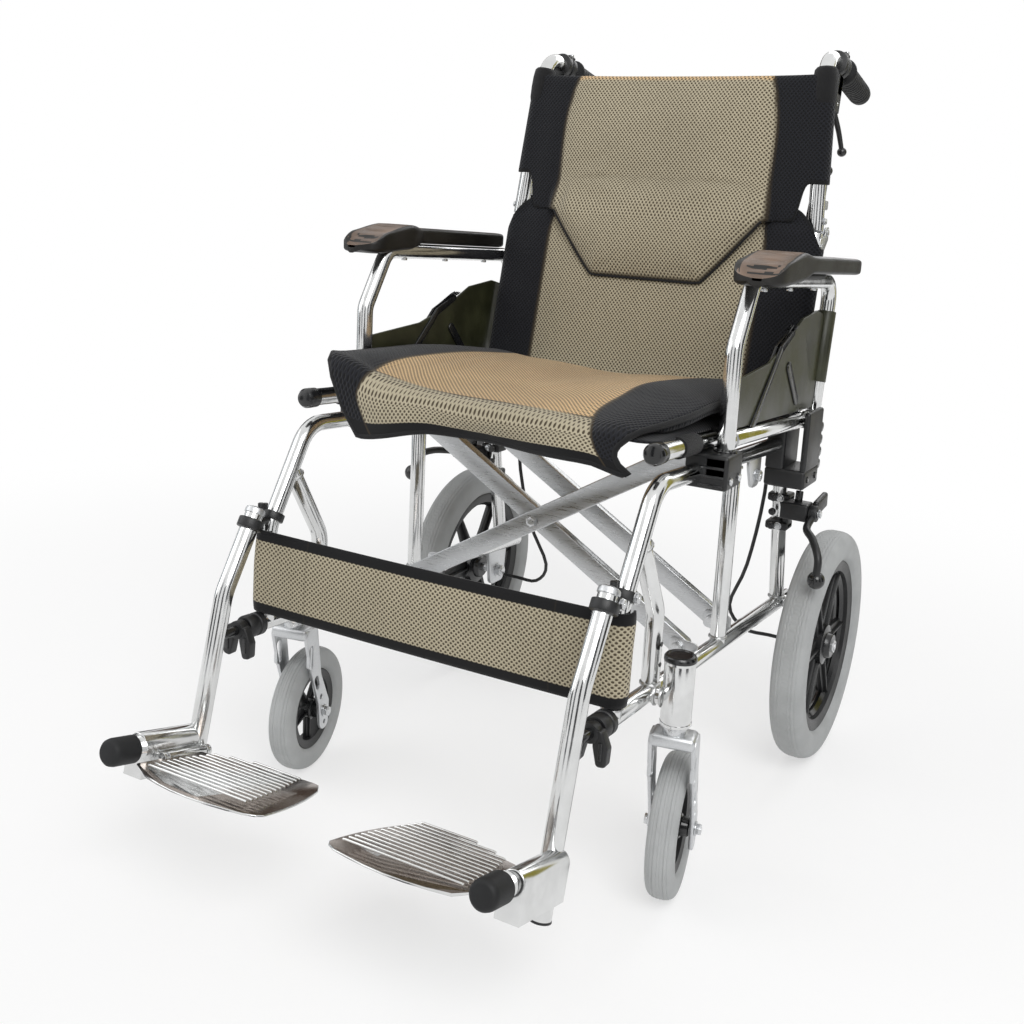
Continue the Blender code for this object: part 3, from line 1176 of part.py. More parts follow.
def brake_mount(side):
    """The clamp on the handle and the lever's housing beneath it."""
    place, along = brake_place(side)
    ring = rod("ring", place - along * 0.013, place + along * 0.013, CANE_R + 0.0055, 12)
    downward = along.cross(Vector((1, 0, 0))).normalized()
    if downward.z > 0:
        downward = -downward
    lug = block("lug", (-0.008, -0.011, -0.060), (0.008, 0.011, -0.012), 0.003, 1)
    tilt = Matrix.Rotation(-atan(GRIP_DROP * 0.72), 4, "X")
    lug.data.transform(Matrix.Translation(place) @ tilt)
    pivot = place + downward * 0.050
    slot = block("slot", (-0.0045, -0.030, -0.070), (0.0045, 0.030, -0.040))
    slot.data.transform(Matrix.Translation(place) @ tilt)
    pin = rod("pin", pivot - Vector((0.006, 0, 0)), pivot + Vector((0.006, 0, 0)), 0.0025, 8)
    bore = rod("bore", place - along * 0.05, place + along * 0.05, CANE_R - 0.0005 + 2 * GAP, 12)
    body = join(cut(join(ring, lug), bore, slot), pin)
    return keep(body, f"brake_mount_{side_name(side)}", "black_plastic", fold_pin(side)), pivot


def brake_lever(side, pivot):
    """A short hub with a tapering arm that hangs behind and ends in a ball."""
    end = pivot + Vector((0, 0.036, -0.052))
    hub = rod("hub", pivot - Vector((0.0038, 0, 0)), pivot + Vector((0.0038, 0, 0)), 0.0065, 12)
    arm = tube("arm", smooth_route([pivot + Vector((0, 0.003, 0)), pivot + Vector((0, 0.016, -0.010)),
                                    pivot + Vector((0, 0.028, -0.030)), end], 2), 0.0034, 2)
    tip = ball("tip", end, 0.0062, 4)
    bore = rod("bore", pivot - Vector((0.01, 0, 0)), pivot + Vector((0.01, 0, 0)), 0.0025 + GAP, 8)
    lever = cut(join(hub, arm, tip), bore)
    return keep(lever, f"brake_lever_{side_name(side)}", "black_plastic", pivot)


def fold_latch(side):
    """The thumb lever behind the upper cane that frees the fold."""
    pivot = latch_pivot(side)
    across = Vector((0.0055, 0, 0))
    hub = rod("hub", pivot - across, pivot + across, 0.0050, 10)
    stalk = block("stalk", (-0.0040, -0.0022, -0.0110), (0.0040, 0.0028, LATCH_REACH))
    stalk.data.transform(Matrix.Translation(pivot) @ Matrix.Rotation(radians(-9), 4, "X"))
    knob = ball("knob", pivot + Vector((0, 0.0085, LATCH_REACH + 0.003)), LATCH_KNOB_R, 5)
    bore = rod("bore", pivot - 2 * across, pivot + 2 * across, LATCH_PIN_R + GAP, 8)
    return keep(cut(join(hub, stalk, knob), bore), f"fold_latch_{side_name(side)}", "black_plastic", pivot)


def back_side(side):
    name = side_name(side)
    lower_cane(side)
    mount, pivot = brake_mount(side)
    hang_on(f"back_pivot_{name}", fold_pin(side), [upper_cane(side), hand_grip(side), mount])
    hang_on(f"brake_lever_pivot_{name}", pivot, [brake_lever(side, pivot)])
    hang_on(f"fold_latch_pivot_{name}", latch_pivot(side), [fold_latch(side)])


# Parking brakes and cables

def park_bracket(side):
    """A clamp on the rear post with an arm out over the wheel."""
    x = side * FRAME_X
    low_x, high_x = sorted((x - side * 0.013, x + side * 0.016))
    post_y = rear_post_y(PARK_Z)
    clamp = block("clamp", (low_x, post_y - 0.013, PARK_Z - 2 * PARK_CLAMP_ABOVE),
                  (high_x, post_y + 0.013, PARK_Z + PARK_CLAMP_ABOVE), 0.003, 1)
    arm_low, arm_high = sorted((x + side * 0.010, side * (PARK_X - 0.0055)))
    arm = block("arm", (arm_low, PARK_Y - 0.012, PARK_Z - 0.011),
                (arm_high, PARK_Y + 0.016, PARK_Z + 0.011), 0.003, 1)
    pin = rod("pin", (side * (PARK_X - 0.008), PARK_Y, PARK_Z),
              (side * (PARK_X + 0.0075), PARK_Y, PARK_Z), 0.0035, 10)
    head = rod("head", (side * (PARK_X + 0.0063), PARK_Y, PARK_Z), (side * (PARK_X + 0.0095), PARK_Y, PARK_Z),
               0.0060, 10)
    body = cut(join(clamp, arm), *frame_cutters(side, ["rear"]))
    return keep(join(body, pin, head), f"park_bracket_{side_name(side)}", "black_plastic")


def park_lever(side):
    """Arm with a ball at its front and a shoe plate behind its pivot."""
    pivot = Vector((side * PARK_X, PARK_Y, PARK_Z))
    hub = rod("hub", (-0.0050, 0, 0), (0.0050, 0, 0), 0.0105, 12)
    out = side * 0.012
    arm = tube("arm", smooth_route([(0, -0.004, 0), (0, -0.030, 0.006), (out * 0.5, -0.060, 0.010),
                                    (out, -0.084, 0.006), (out, -PARK_ARM, -0.012)], 1), 0.0048, 2)
    tip = ball("tip", (out, -PARK_ARM, -0.016), PARK_BALL_R, 5)
    shoe = block("shoe", (-0.0040, 0.006, -0.004), (0.0040, 0.070, 0.018), 0.003, 1)
    bore = rod("bore", (-0.02, 0, 0), (0.02, 0, 0), 0.0035 + GAP, 10)
    lever = cut(join(hub, arm, tip, shoe), bore)
    lever.data.transform(Matrix.Translation(pivot) @ Matrix.Rotation(PARK_TURN[side], 4, "X"))
    lever = keep(lever, f"park_lever_{side_name(side)}", "black_plastic", pivot)
    hang_on(f"park_pivot_{side_name(side)}", pivot, [lever])


def brake_cable(side, start):
    """The attendant brake's cable: down behind the cane, a slack loop, and to the wheel's hub."""
    route = [start + Vector((0, 0, -0.0005)), start + Vector((0, -0.004, -0.030)),
             (side * 0.1960, 0.3100, 0.740), (side * 0.1900, 0.2900, 0.620), (side * 0.1870, 0.2640, 0.470),
             (side * 0.1860, 0.2590, 0.350), (side * 0.1680, 0.2700, 0.245), (side * 0.1440, 0.2850, 0.178),
             (side * 0.1640, 0.2950, 0.145), (side * 0.2000, 0.2985, 0.142),
             (side * (AXLE_PLATE_X - AXLE_PLATE_T / 2 - GAP), 0.2985, 0.142)]
    cable = tube("cable", smooth_route(route, 2), CABLE_R, 2)
    return keep(cable, f"brake_cable_{side_name(side)}", "black_rubber")


# Soft pieces

def panel_grid(name, columns, rows, place, material, thickness_of):
    """A closed soft panel from a grid of points: a face side and a back side.

    place(u, v) gives the middle of the fabric and thickness_of(u, v) its depth
    in front of and behind that point along the panel's normal."""
    builder = bmesh.new()
    sheets = []
    for front in (True, False):
        sheet = []
        for i in range(rows + 1):
            line = []
            for j in range(columns + 1):
                u, v = j / columns, i / rows
                middle = place(u, v)
                step = 1e-3
                du = place(min(1, u + step), v) - place(max(0, u - step), v)
                dv = place(u, min(1, v + step)) - place(u, max(0, v - step))
                normal = du.cross(dv).normalized()
                reach = thickness_of(u, v)[0 if front else 1]
                line.append(builder.verts.new(middle + normal * reach))
            sheet.append(line)
        sheets.append(sheet)
    for sheet in sheets:
        for i in range(rows):
            for j in range(columns):
                builder.faces.new((sheet[i][j], sheet[i][j + 1], sheet[i + 1][j + 1], sheet[i + 1][j]))
    near, far = sheets
    edge = ([(0, j) for j in range(columns + 1)] + [(i, columns) for i in range(1, rows + 1)]
            + [(rows, j) for j in range(columns - 1, -1, -1)] + [(i, 0) for i in range(rows - 1, 0, -1)])
    for (i, j), (k, l) in zip(edge, edge[1:] + edge[:1]):
        builder.faces.new((near[i][j], near[k][l], far[k][l], far[i][j]))
    thing = finish_bmesh(builder, name)
    return keep(thing, name, material, smooth=50.0)


def bulge(t):
    """0 at both ends, 1 over the middle, with drawn-in shoulders."""
    return sin(pi * min(1.0, max(0.0, t))) ** 0.6


def slung(u, share, axis_x, wrap, turn):
    """Where a sling's fabric runs at u: x, y from the uprights' axes, and t between them.

    Over the outer shares of u the fabric wraps back round each upright."""
    if u < share:
        angle = -(1 - u / share) * turn
        return -axis_x + wrap * sin(angle), -wrap * cos(angle), 0.0
    if u > 1 - share:
        angle = (u - 1 + share) / share * turn
        return axis_x + wrap * sin(angle), -wrap * cos(angle), 1.0
    t = (u - share) / (1 - 2 * share)
    return (2 * t - 1) * axis_x, -wrap, t


def back_panel(name, foot_z, head_z, corner_drop, sag):
    """A padded panel between the canes, with a thin sleeve round each of them.

    Its top edge falls by corner_drop towards the sleeves."""
    columns, wrap_columns = 16, 4
    share = wrap_columns / columns
    wrap = CANE_R + SLEEVE_CLEAR + SLEEVE_T / 2

    def place(u, v):
        t = slung(u, share, 1.0, 0.0, 0.0)[2]
        top = head_z - corner_drop * (1 - min(1.0, t * (1 - t) / 0.10))
        z = foot_z + (top - foot_z) * v
        x, ahead, t = slung(u, share, cane_x(z), wrap, SLEEVE_TURN)
        return Vector((x, cane_y(z) + ahead + sag * sin(pi * t), z))

    def depth(u, v):
        t = slung(u, share, 1.0, 0.0, 0.0)[2]
        padded = min(1.0, t * (1 - t) / 0.10)
        thin = SLEEVE_T / 2
        return thin + padded * (BACK_T / 2 - thin + 0.0020 * bulge(v)), -thin - padded * (BACK_T / 4 - thin)

    panel_grid(name, columns, 4, place, "tan_mesh", depth)


def back_upper():
    back_panel("back_upper", FOLD_Z + BACK_SPLIT_GAP + 0.0150, BACK_TOP_Z, 0.0, 0.010)


def back_lower():
    back_panel("back_lower", BACK_BOTTOM_Z, FOLD_Z - BACK_SPLIT_GAP, 0.0420, 0.008)


def seat():
    """Cushion on the seat rails: crowned, dipping between them, with a front flap."""
    flap_share = 0.20

    def profile(v):
        """From the flap's hem up over the front roll to the rear edge."""
        if v < flap_share:
            t = v / flap_share
            return SEAT_FRONT_Y + 0.004 * (1 - t) * 6 * t - 0.004, -FLAP_DROP * (1 - t)
        t = (v - flap_share) / (1 - flap_share)
        return SEAT_FRONT_Y + (SEAT_REAR_Y - SEAT_FRONT_Y) * t, 0.0

    def place(u, v):
        y, drop = profile(v)
        across = 2 * u - 1
        hem = min(1.0, v / flap_share)
        half = FLAP_HALF_W + (SEAT_HALF_W - FLAP_HALF_W) * hem ** 2
        rest = seat_rail(y) + TUBE_R + 0.0125
        dip = 0.012 * (1 - across * across) * min(1.0, max(0.0, v - flap_share) * 6)
        return Vector((across * half, y, rest + drop - dip))

    def depth(u, v):
        crown = 0.010 * bulge(u) * bulge(v)
        on_rails = min(1.0, max(0.0, (v - flap_share) * 8))
        return 0.006 + crown, -0.006 - 0.0058 * on_rails

    panel_grid("seat", 12, 12, place, "tan_mesh", depth)


def calf_strap():
    """A band across the front legs that wraps back round each of them."""
    columns, wrap_columns = 14, 4
    wrap = TUBE_R + STRAP_CLEAR + STRAP_T / 2
    corner_cut = LEG_BEND_R * (1 / cos(atan(LEG_RAKE) / 2) - 1)
    corner_reach = LEG_BEND_R * tan(atan(LEG_RAKE) / 2)

    def leg_mid(v):
        z = STRAP_BOTTOM_Z + (STRAP_TOP_Z - STRAP_BOTTOM_Z) * v
        near_knee = max(0.0, 1.0 - abs(z - LEG_KNEE_Z) / corner_reach)
        return leg_y(z) + corner_cut * near_knee, z

    def place(u, v):
        y, z = leg_mid(v)
        x, ahead, t = slung(u, wrap_columns / columns, FRAME_X, wrap, STRAP_TURN)
        return Vector((x, y + ahead + 0.004 * sin(pi * t), z))

    panel_grid("calf_strap", columns, 3, place, "tan_mesh", lambda u, v: (STRAP_T / 2, -STRAP_T / 2))


def build_chair():
    for side in (LEFT, RIGHT):
        side_frame(side)
        rear_wheel(side)
        caster(side)
        cross(side)
        hanger_side(side)
        armrest(side)
        front_socket(side)
        rear_block(side)
        back_side(side)
        park_bracket(side)
        park_lever(side)
        place, along = brake_place(side)
        brake_cable(side, place + Vector((0, -0.002, -0.062)))
    back_upper()
    back_lower()
    seat()
    calf_strap()


build_chair()
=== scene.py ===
"""Travel wheelchair: the dressed pieces, their finishes, the light and the camera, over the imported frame."""

from math import atan, atan2, cos, hypot, pi, radians, sin, tan

import bmesh
import bpy
from mathutils import Matrix, Vector


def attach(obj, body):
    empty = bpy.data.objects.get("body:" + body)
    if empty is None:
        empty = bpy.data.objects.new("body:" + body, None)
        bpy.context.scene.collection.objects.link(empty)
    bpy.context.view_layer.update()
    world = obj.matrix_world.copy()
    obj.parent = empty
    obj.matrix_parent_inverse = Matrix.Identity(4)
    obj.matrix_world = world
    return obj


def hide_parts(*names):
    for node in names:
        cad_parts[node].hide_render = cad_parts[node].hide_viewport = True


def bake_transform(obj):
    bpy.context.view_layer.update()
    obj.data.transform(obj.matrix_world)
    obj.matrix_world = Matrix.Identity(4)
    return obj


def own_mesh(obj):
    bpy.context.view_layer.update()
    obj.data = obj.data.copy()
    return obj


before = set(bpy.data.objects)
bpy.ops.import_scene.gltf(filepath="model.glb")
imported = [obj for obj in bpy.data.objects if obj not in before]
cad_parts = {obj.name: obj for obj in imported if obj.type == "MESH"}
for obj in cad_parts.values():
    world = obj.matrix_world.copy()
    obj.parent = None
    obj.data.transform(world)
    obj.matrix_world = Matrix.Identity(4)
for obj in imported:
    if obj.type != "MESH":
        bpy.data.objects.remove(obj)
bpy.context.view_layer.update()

bl_info = {
    "name": "Travel wheelchair",
    "version": (1, 0, 0),
    "blender": (4, 5, 0),
    "location": "View3D > Sidebar > Chair",
    "description": "Dresses the packed frame of a folding travel wheelchair",
    "category": "Add Mesh",
}

LEFT, RIGHT = 1, -1
SIDES = {LEFT: "left", RIGHT: "right"}

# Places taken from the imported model, in metres

FRAME_X = 0.2135
LEG_TOP_Y = -0.1923
LEG_RAKE = 0.608
LEG_KNEE_Z = 0.345
LEG_FOOT_Y = -0.261
LEG_BEND = 0.040
UPPER_SLOPE, LOWER_SLOPE = 0.0565, 0.068
BRACE_Y, BRACE_TOP_Z, BRACE_KNEE_Z = -0.168, 0.405, 0.318
MID_POST_Y, RAIL_END_Y = 0.035, 0.315
POST_TOP_Y = 0.218
POST_FOOT_Y = 0.266
REAR_WHEEL = Vector((0.271, 0.283, 0.1525))
CASTER_STEM = Vector((0.246, -0.173, 0.207))
CASTER_TURN = radians(11.0)
CASTER_TRAIL = 0.036
CASTER_R = 0.0765
CROSS_PIVOT = Vector((0.190, 0.0, 0.2292))
CROSS_RISE = 0.600
CROSS_LINES = (-0.029, 0.081)
BAR_T = 0.011
SEAT_RAIL_X = 0.2113
HANGER_X = 0.2115
HANGER_KNEE_Z = 0.2895
HANGER_TOP_Z = 0.368
ARM_X = 0.235
ARM_PIVOT = Vector((0.235, 0.226, 0.460))
ARM_FRONT_Y, ARM_BEND_Y, ARM_REAR_Y, ARM_BACK_Y = -0.060, -0.018, 0.270, 0.294
PAD_X = ARM_X + 0.0195
FOLD_Y, FOLD_Z = 0.276, 0.690
CANE_FOLD_X, CANE_TOP_X = 0.213, 0.198
CANE_TOP_Y, CANE_TOP_Z = 0.306, 0.911
CANE_FOOT_Y, CANE_FOOT_Z = 0.220, 0.444
HANDLE_SLOPE = 0.1872
PARK_PIVOT = Vector((0.264, 0.216, 0.345))
FOOT_SLOPE = 0.26
FOOT_TILT = atan(FOOT_SLOPE)
FOOT_FRONT_Y, FOOT_MIDDLE_Y = -0.446, -0.420
AXLE_PLATE_X = FRAME_X + 0.0155
GAP = 0.0003


# Sizes and colours that a user may change

def length(name, default, description):
    """A length that a user may change."""
    return bpy.props.FloatProperty(name=name, description=description, default=default, min=0.0,
                                   unit="LENGTH", precision=4)


def colour(name, default, description):
    """A colour that a user may change."""
    return bpy.props.FloatVectorProperty(name=name, description=description, default=default, size=3,
                                         min=0.0, max=1.0, subtype="COLOR")


class ChairSizes(bpy.types.PropertyGroup):
    """Sizes of the dressed pieces"""

    frame_radius: length("Frame tube radius", 0.0095, "Radius of the side frames' tubes")
    hanger_radius: length("Hanger tube radius", 0.0100, "Radius of the front hangers' tubes")
    cane_radius: length("Cane radius", 0.0105, "Radius of the back canes")
    cable_radius: length("Cable radius", 0.0025, "Radius of the brake cables")
    hole_across: length("Mesh hole spacing across", 0.0052, "Distance between holes of the spacer mesh")
    hole_along: length("Mesh hole spacing along", 0.0060, "Distance between rows of holes of the spacer mesh")
    binding: length("Binding radius", 0.0036, "Radius of the bound hems")
    puff: length("Cushion swell", 0.0080, "How far the cloth simulation may lift a panel")


class ChairColours(bpy.types.PropertyGroup):
    """Colours of the finishes"""

    thread: colour("Mesh thread", (0.480, 0.425, 0.305), "Threads of the pale spacer mesh")
    # Warm thread colour: the seat top's own colour, and a painted highlight along the upper back's top edge.
    warm_thread_and_highlight: colour("Seat thread", (0.730, 0.505, 0.270), "Threads of the seat's warmer top")
    # The hole colour is painted shade: the dark seen down the mesh's holes. Seams reuse it for their painted
    # shade.
    hole: colour("Mesh hole", (0.050, 0.036, 0.020), "Depth of the holes in the pale mesh")
    black_mesh: colour("Black mesh", (0.0048, 0.0052, 0.0072), "Threads of the black side panels")
    binding: colour("Binding", (0.0042, 0.0042, 0.0048), "Woven tape on the hems")
    aluminium: colour("Polished aluminium", (0.700, 0.705, 0.702), "Polished tubes")
    brushed: colour("Brushed aluminium", (0.560, 0.570, 0.580), "Flat bars and plates")
    tyre: colour("Tyre", (0.395, 0.405, 0.405), "Grey tyres")
    plastic: colour("Black plastic", (0.0085, 0.0088, 0.0095), "Moulded fittings")
    pad: colour("Armrest pad", (0.0075, 0.0068, 0.0058), "Soft armrest pads")
    # The paddles' brown is a painted sheen: a highlight put into the colour of their upward faces.
    pad_painted_sheen: colour("Armrest pad top", (0.130, 0.086, 0.060), "Worn sheen on the armrests' paddles")
    skirt: colour("Side panel", (0.022, 0.0235, 0.0100), "Side panels")
    floor: colour("Floor", (0.960, 0.960, 0.960), "Plain floor")


def sizes():
    """The sizes as they are set now."""
    return bpy.context.scene.chair_sizes


def colours():
    """The colours as they are set now."""
    return bpy.context.scene.chair_colours


# Lines that several pieces follow

def upper_rail(y):
    """Height of the side frame's upper rail."""
    return 0.4414 - UPPER_SLOPE * y


def lower_rail(y):
    """Height of the side frame's lower rail."""
    return 0.2196 - LOWER_SLOPE * y


def seat_rail(y):
    """Height of the seat's rails."""
    return upper_rail(y) + 0.0305


def leg_y(z):
    """Y of the front leg's axis at a height."""
    if z >= LEG_KNEE_Z:
        return LEG_TOP_Y - LEG_RAKE * (upper_rail(LEG_TOP_Y) - z)
    knee_y = LEG_TOP_Y - LEG_RAKE * (upper_rail(LEG_TOP_Y) - LEG_KNEE_Z)
    share = (LEG_KNEE_Z - z) / (LEG_KNEE_Z - lower_rail(LEG_FOOT_Y))
    return knee_y + share * (LEG_FOOT_Y - knee_y)


def hanger_y(z):
    """Y of the hanger tube's axis at a height."""
    knee_y = LEG_TOP_Y - LEG_RAKE * (upper_rail(LEG_TOP_Y) - HANGER_KNEE_Z) - 0.039
    return knee_y + (LEG_RAKE if z >= HANGER_KNEE_Z else FOOT_SLOPE) * (z - HANGER_KNEE_Z)


def post_y(z):
    """Y of the rear post's axis at a height."""
    foot_z, top_z = lower_rail(POST_FOOT_Y), upper_rail(POST_TOP_Y)
    return POST_FOOT_Y + (z - foot_z) / (top_z - foot_z) * (POST_TOP_Y - POST_FOOT_Y)


def cane_point(side, z):
    """A point on the back cane's axis, below or above the fold."""
    if z <= FOLD_Z:
        share = (z - CANE_FOOT_Z) / (FOLD_Z - CANE_FOOT_Z)
        return Vector((side * CANE_FOLD_X, CANE_FOOT_Y + share * (FOLD_Y - CANE_FOOT_Y), z))
    share = (z - FOLD_Z) / (CANE_TOP_Z - FOLD_Z)
    return Vector((side * (CANE_FOLD_X + share * (CANE_TOP_X - CANE_FOLD_X)),
                   FOLD_Y + share * (CANE_TOP_Y - FOLD_Y), z))


def arm_rail(y):
    """Height of the armrest's bottom rail."""
    return ARM_PIVOT.z + 0.065 * (ARM_PIVOT.y - y)


def arm_top(y):
    """Height of the armrest's top rail."""
    return 0.643 - 0.040 * (y - ARM_BEND_Y)


def plate_height(y):
    """Top of the footplates."""
    return 0.145 - FOOT_SLOPE * (y - FOOT_MIDDLE_Y)


def blend(low, high, t):
    """0 below low, 1 above high, smooth between."""
    t = min(1.0, max(0.0, (t - low) / (high - low)))
    return t * t * (3 - 2 * t)


def rounded(points, radius, steps=8):
    """The points of a route, with each inner corner turned into an arc."""
    points = [Vector(p) for p in points]
    route = [points[0]]
    for before, corner, after in zip(points, points[1:], points[2:]):
        arriving, leaving = (corner - before).normalized(), (after - corner).normalized()
        turn = arriving.angle(leaving)
        reach = radius * tan(turn / 2)
        if reach < 1e-5:
            route.append(corner)
            continue
        first = corner - arriving * reach
        centre = corner + (leaving - arriving).normalized() * (radius / cos(turn / 2))
        axis = arriving.cross(leaving).normalized()
        route += [centre + Matrix.Rotation(turn * i / steps, 3, axis) @ (first - centre)
                  for i in range(steps + 1)]
    return route + [points[-1]]


def smooth_route(points, per_span=6):
    """A smooth curve through a route's own points."""
    points = [Vector(p) for p in points]
    padded = [2 * points[0] - points[1]] + points + [2 * points[-1] - points[-2]]
    route = []
    for a, b, c, d in zip(padded, padded[1:], padded[2:], padded[3:]):
        for step in range(per_span):
            t = step / per_span
            route.append(0.5 * (2 * b + (c - a) * t + (2 * a - 5 * b + 4 * c - d) * t ** 2
                                + (3 * b - a - 3 * c + d) * t ** 3))
    return route + [points[-1]]


def round_outline(corners, radius, steps=5):
    """A flat outline whose corners are arcs."""
    ring, count = [], len(corners)
    for i in range(count):
        trio = [(*corners[(i + k) % count], 0.0) for k in (-1, 0, 1)]
        ring += [(p.x, p.y) for p in rounded(trio, radius, steps)[1:-1]]
    return ring


def circle(centre, radius, sides):
    """The outline of a round hole."""
    return [(centre[0] + radius * cos(2 * pi * i / sides), centre[1] + radius * sin(2 * pi * i / sides))
            for i in range(sides)]


def yz_plane(x):
    """Carries an outline's first coordinate to +Y and its second to +Z."""
    return Matrix(((0, 0, 1, x), (1, 0, 0, 0), (0, 1, 0, 0), (0, 0, 0, 1)))


def xz_plane(y):
    """Carries an outline's first coordinate to +X and its second to +Z."""
    return Matrix(((1, 0, 0, 0), (0, 0, -1, y), (0, 1, 0, 0), (0, 0, 0, 1)))


# Parts that pieces are put together from

BOLT_DOME = 0.0006
BEAD_POINTS, BEAD_RADIUS = 32, 0.0016


def new_object(name, part):
    """An object in the scene with a finished bmesh as its mesh."""
    mesh = bpy.data.meshes.new(name)
    part.to_mesh(mesh)
    part.free()
    thing = bpy.data.objects.new(name, mesh)
    bpy.context.scene.collection.objects.link(thing)
    return thing


def merge(whole, part):
    """Moves a part's mesh into another bmesh."""
    scratch = bpy.data.meshes.new("scratch")
    part.to_mesh(scratch)
    part.free()
    whole.from_mesh(scratch)
    bpy.data.meshes.remove(scratch)


def pipe(route, radius, sides, closed=False, ends=0.0008):
    """A round bar along a route. radius is one number or one for each point."""
    route = [Vector(p) for p in route]
    radii = radius if isinstance(radius, (list, tuple)) else [radius] * len(route)
    tangents = []
    for i, point in enumerate(route):
        before = route[i - 1] if i or closed else point
        after = route[(i + 1) % len(route)] if i + 1 < len(route) or closed else point
        tangents.append((after - before).normalized())
    turn = tangents[0].to_track_quat("Z", "Y")
    part = bmesh.new()
    bmesh.ops.create_circle(part, cap_ends=not closed, segments=sides, radius=radii[0],
                            matrix=Matrix.Translation(route[0]) @ turn.to_matrix().to_4x4())
    edges, first = part.edges[:], part.edges[:]
    for i in range(1, len(route)):
        turn = tangents[i - 1].rotation_difference(tangents[i]) @ turn
        grown = bmesh.ops.extrude_edge_only(part, edges=edges)["geom"]
        verts = [g for g in grown if isinstance(g, bmesh.types.BMVert)]
        edges = [g for g in grown if isinstance(g, bmesh.types.BMEdge)]
        flat = tangents[i - 1].rotation_difference(tangents[i]).to_matrix().to_4x4()
        scale = Matrix.Diagonal((radii[i] / radii[i - 1],) * 3).to_4x4()
        move = Matrix.Translation(route[i]) @ flat @ scale @ Matrix.Translation(-route[i - 1])
        bmesh.ops.transform(part, matrix=move, verts=verts)
    if closed:
        bmesh.ops.bridge_loops(part, edges=edges + first)
        return part
    bmesh.ops.edgeloop_fill(part, edges=edges)
    if ends:
        caps = [face for face in part.faces if len(face.verts) == sides]
        rims = list({edge for face in caps for edge in face.edges})
        bmesh.ops.bevel(part, geom=rims, offset=ends, segments=2, profile=0.5, affect="EDGES", material=-1)
    return part


def rod(start, end, radius, sides=20, ends=0.0006):
    """A straight round or many-sided bar with softened ends."""
    start, end = Vector(start), Vector(end)
    part = bmesh.new()
    turn = (end - start).to_track_quat("Z", "Y").to_matrix().to_4x4()
    bmesh.ops.create_cone(part, cap_ends=True, segments=sides, radius1=radius, radius2=radius,
                          depth=(end - start).length, matrix=Matrix.Translation((start + end) / 2) @ turn)
    if ends:
        rims = list({edge for face in part.faces if len(face.verts) == sides for edge in face.edges})
        bmesh.ops.bevel(part, geom=rims, offset=ends, segments=2, profile=0.5, affect="EDGES", material=-1)
    return part


def block(low, high, bevel, segments=3):
    """A box between two corners, with rounded edges."""
    low, high = Vector(low), Vector(high)
    part = bmesh.new()
    bmesh.ops.create_cube(part, size=1.0,
                          matrix=Matrix.Translation((low + high) / 2) @ Matrix.Diagonal((*(high - low), 1.0)))
    bmesh.ops.bevel(part, geom=part.edges[:], offset=bevel, segments=segments, profile=0.5, affect="EDGES",
                    material=-1)
    return part


def ball(centre, radius, rows=14):
    """A round knob."""
    part = bmesh.new()
    bmesh.ops.create_uvsphere(part, u_segments=2 * rows, v_segments=rows, radius=radius,
                              matrix=Matrix.Translation(Vector(centre)))
    return part


def plate(outline, thickness, lay, holes=(), bevel=0.0007, segments=2):
    """A flat plate from an outline in a plane, with holes and softened rims."""
    part = bmesh.new()
    for ring in [outline, *holes]:
        verts = [part.verts.new((x, y, -thickness / 2)) for x, y in ring]
        for a, b in zip(verts, verts[1:] + verts[:1]):
            part.edges.new((a, b))
    bmesh.ops.triangle_fill(part, use_beauty=True, use_dissolve=False, edges=part.edges[:])
    grown = bmesh.ops.extrude_face_region(part, geom=part.faces[:])["geom"]
    bmesh.ops.translate(part, vec=(0, 0, thickness),
                        verts=[g for g in grown if isinstance(g, bmesh.types.BMVert)])
    bmesh.ops.recalc_face_normals(part, faces=part.faces)
    if bevel:
        rims = [e for e in part.edges if len(e.link_faces) == 2 and e.calc_face_angle() > radians(50)
                and abs(abs(e.link_faces[0].normal.z) - abs(e.link_faces[1].normal.z)) > 0.5]
        bmesh.ops.bevel(part, geom=rims, offset=bevel, segments=segments, profile=0.5, affect="EDGES",
                        material=-1)
    part.transform(lay)
    return part


def lathe(profile, steps, lay, closed=True):
    """A ring or disc turned about its own Z, from (radius, height) pairs."""
    part = bmesh.new()
    verts = [part.verts.new((radius, 0.0, height)) for radius, height in profile]
    pairs = zip(verts, verts[1:] + verts[:1]) if closed else zip(verts, verts[1:])
    for a, b in list(pairs):
        part.edges.new((a, b))
    bmesh.ops.spin(part, geom=part.verts[:] + part.edges[:], cent=(0, 0, 0), axis=(0, 0, 1), angle=2 * pi,
                   steps=steps, use_merge=True)
    bmesh.ops.remove_doubles(part, verts=part.verts, dist=1e-6)
    part.transform(lay)
    return part


def hex_bolt(start, end, radius):
    """A hexagon head with a washer face and a shallow dome."""
    start, end = Vector(start), Vector(end)
    way = (end - start).normalized()
    turn = way.to_track_quat("Z", "Y").to_matrix().to_4x4()
    high = (end - start).length
    part = bmesh.new()
    bmesh.ops.create_cone(part, cap_ends=True, segments=6, radius1=radius, radius2=radius, depth=high * 0.8,
                          matrix=Matrix.Translation(start + way * high * 0.6) @ turn)
    bmesh.ops.bevel(part, geom=part.edges[:], offset=BOLT_DOME, segments=2, profile=0.5, affect="EDGES",
                    material=-1)
    bmesh.ops.create_cone(part, cap_ends=True, segments=24, radius1=radius * 1.18, radius2=radius * 1.18,
                          depth=high * 0.22, matrix=Matrix.Translation(start + way * high * 0.11) @ turn)
    bmesh.ops.create_cone(part, cap_ends=True, segments=20, radius1=radius * 0.55, radius2=radius * 0.45,
                          depth=high * 0.3, matrix=Matrix.Translation(end - way * high * 0.06) @ turn)
    return part


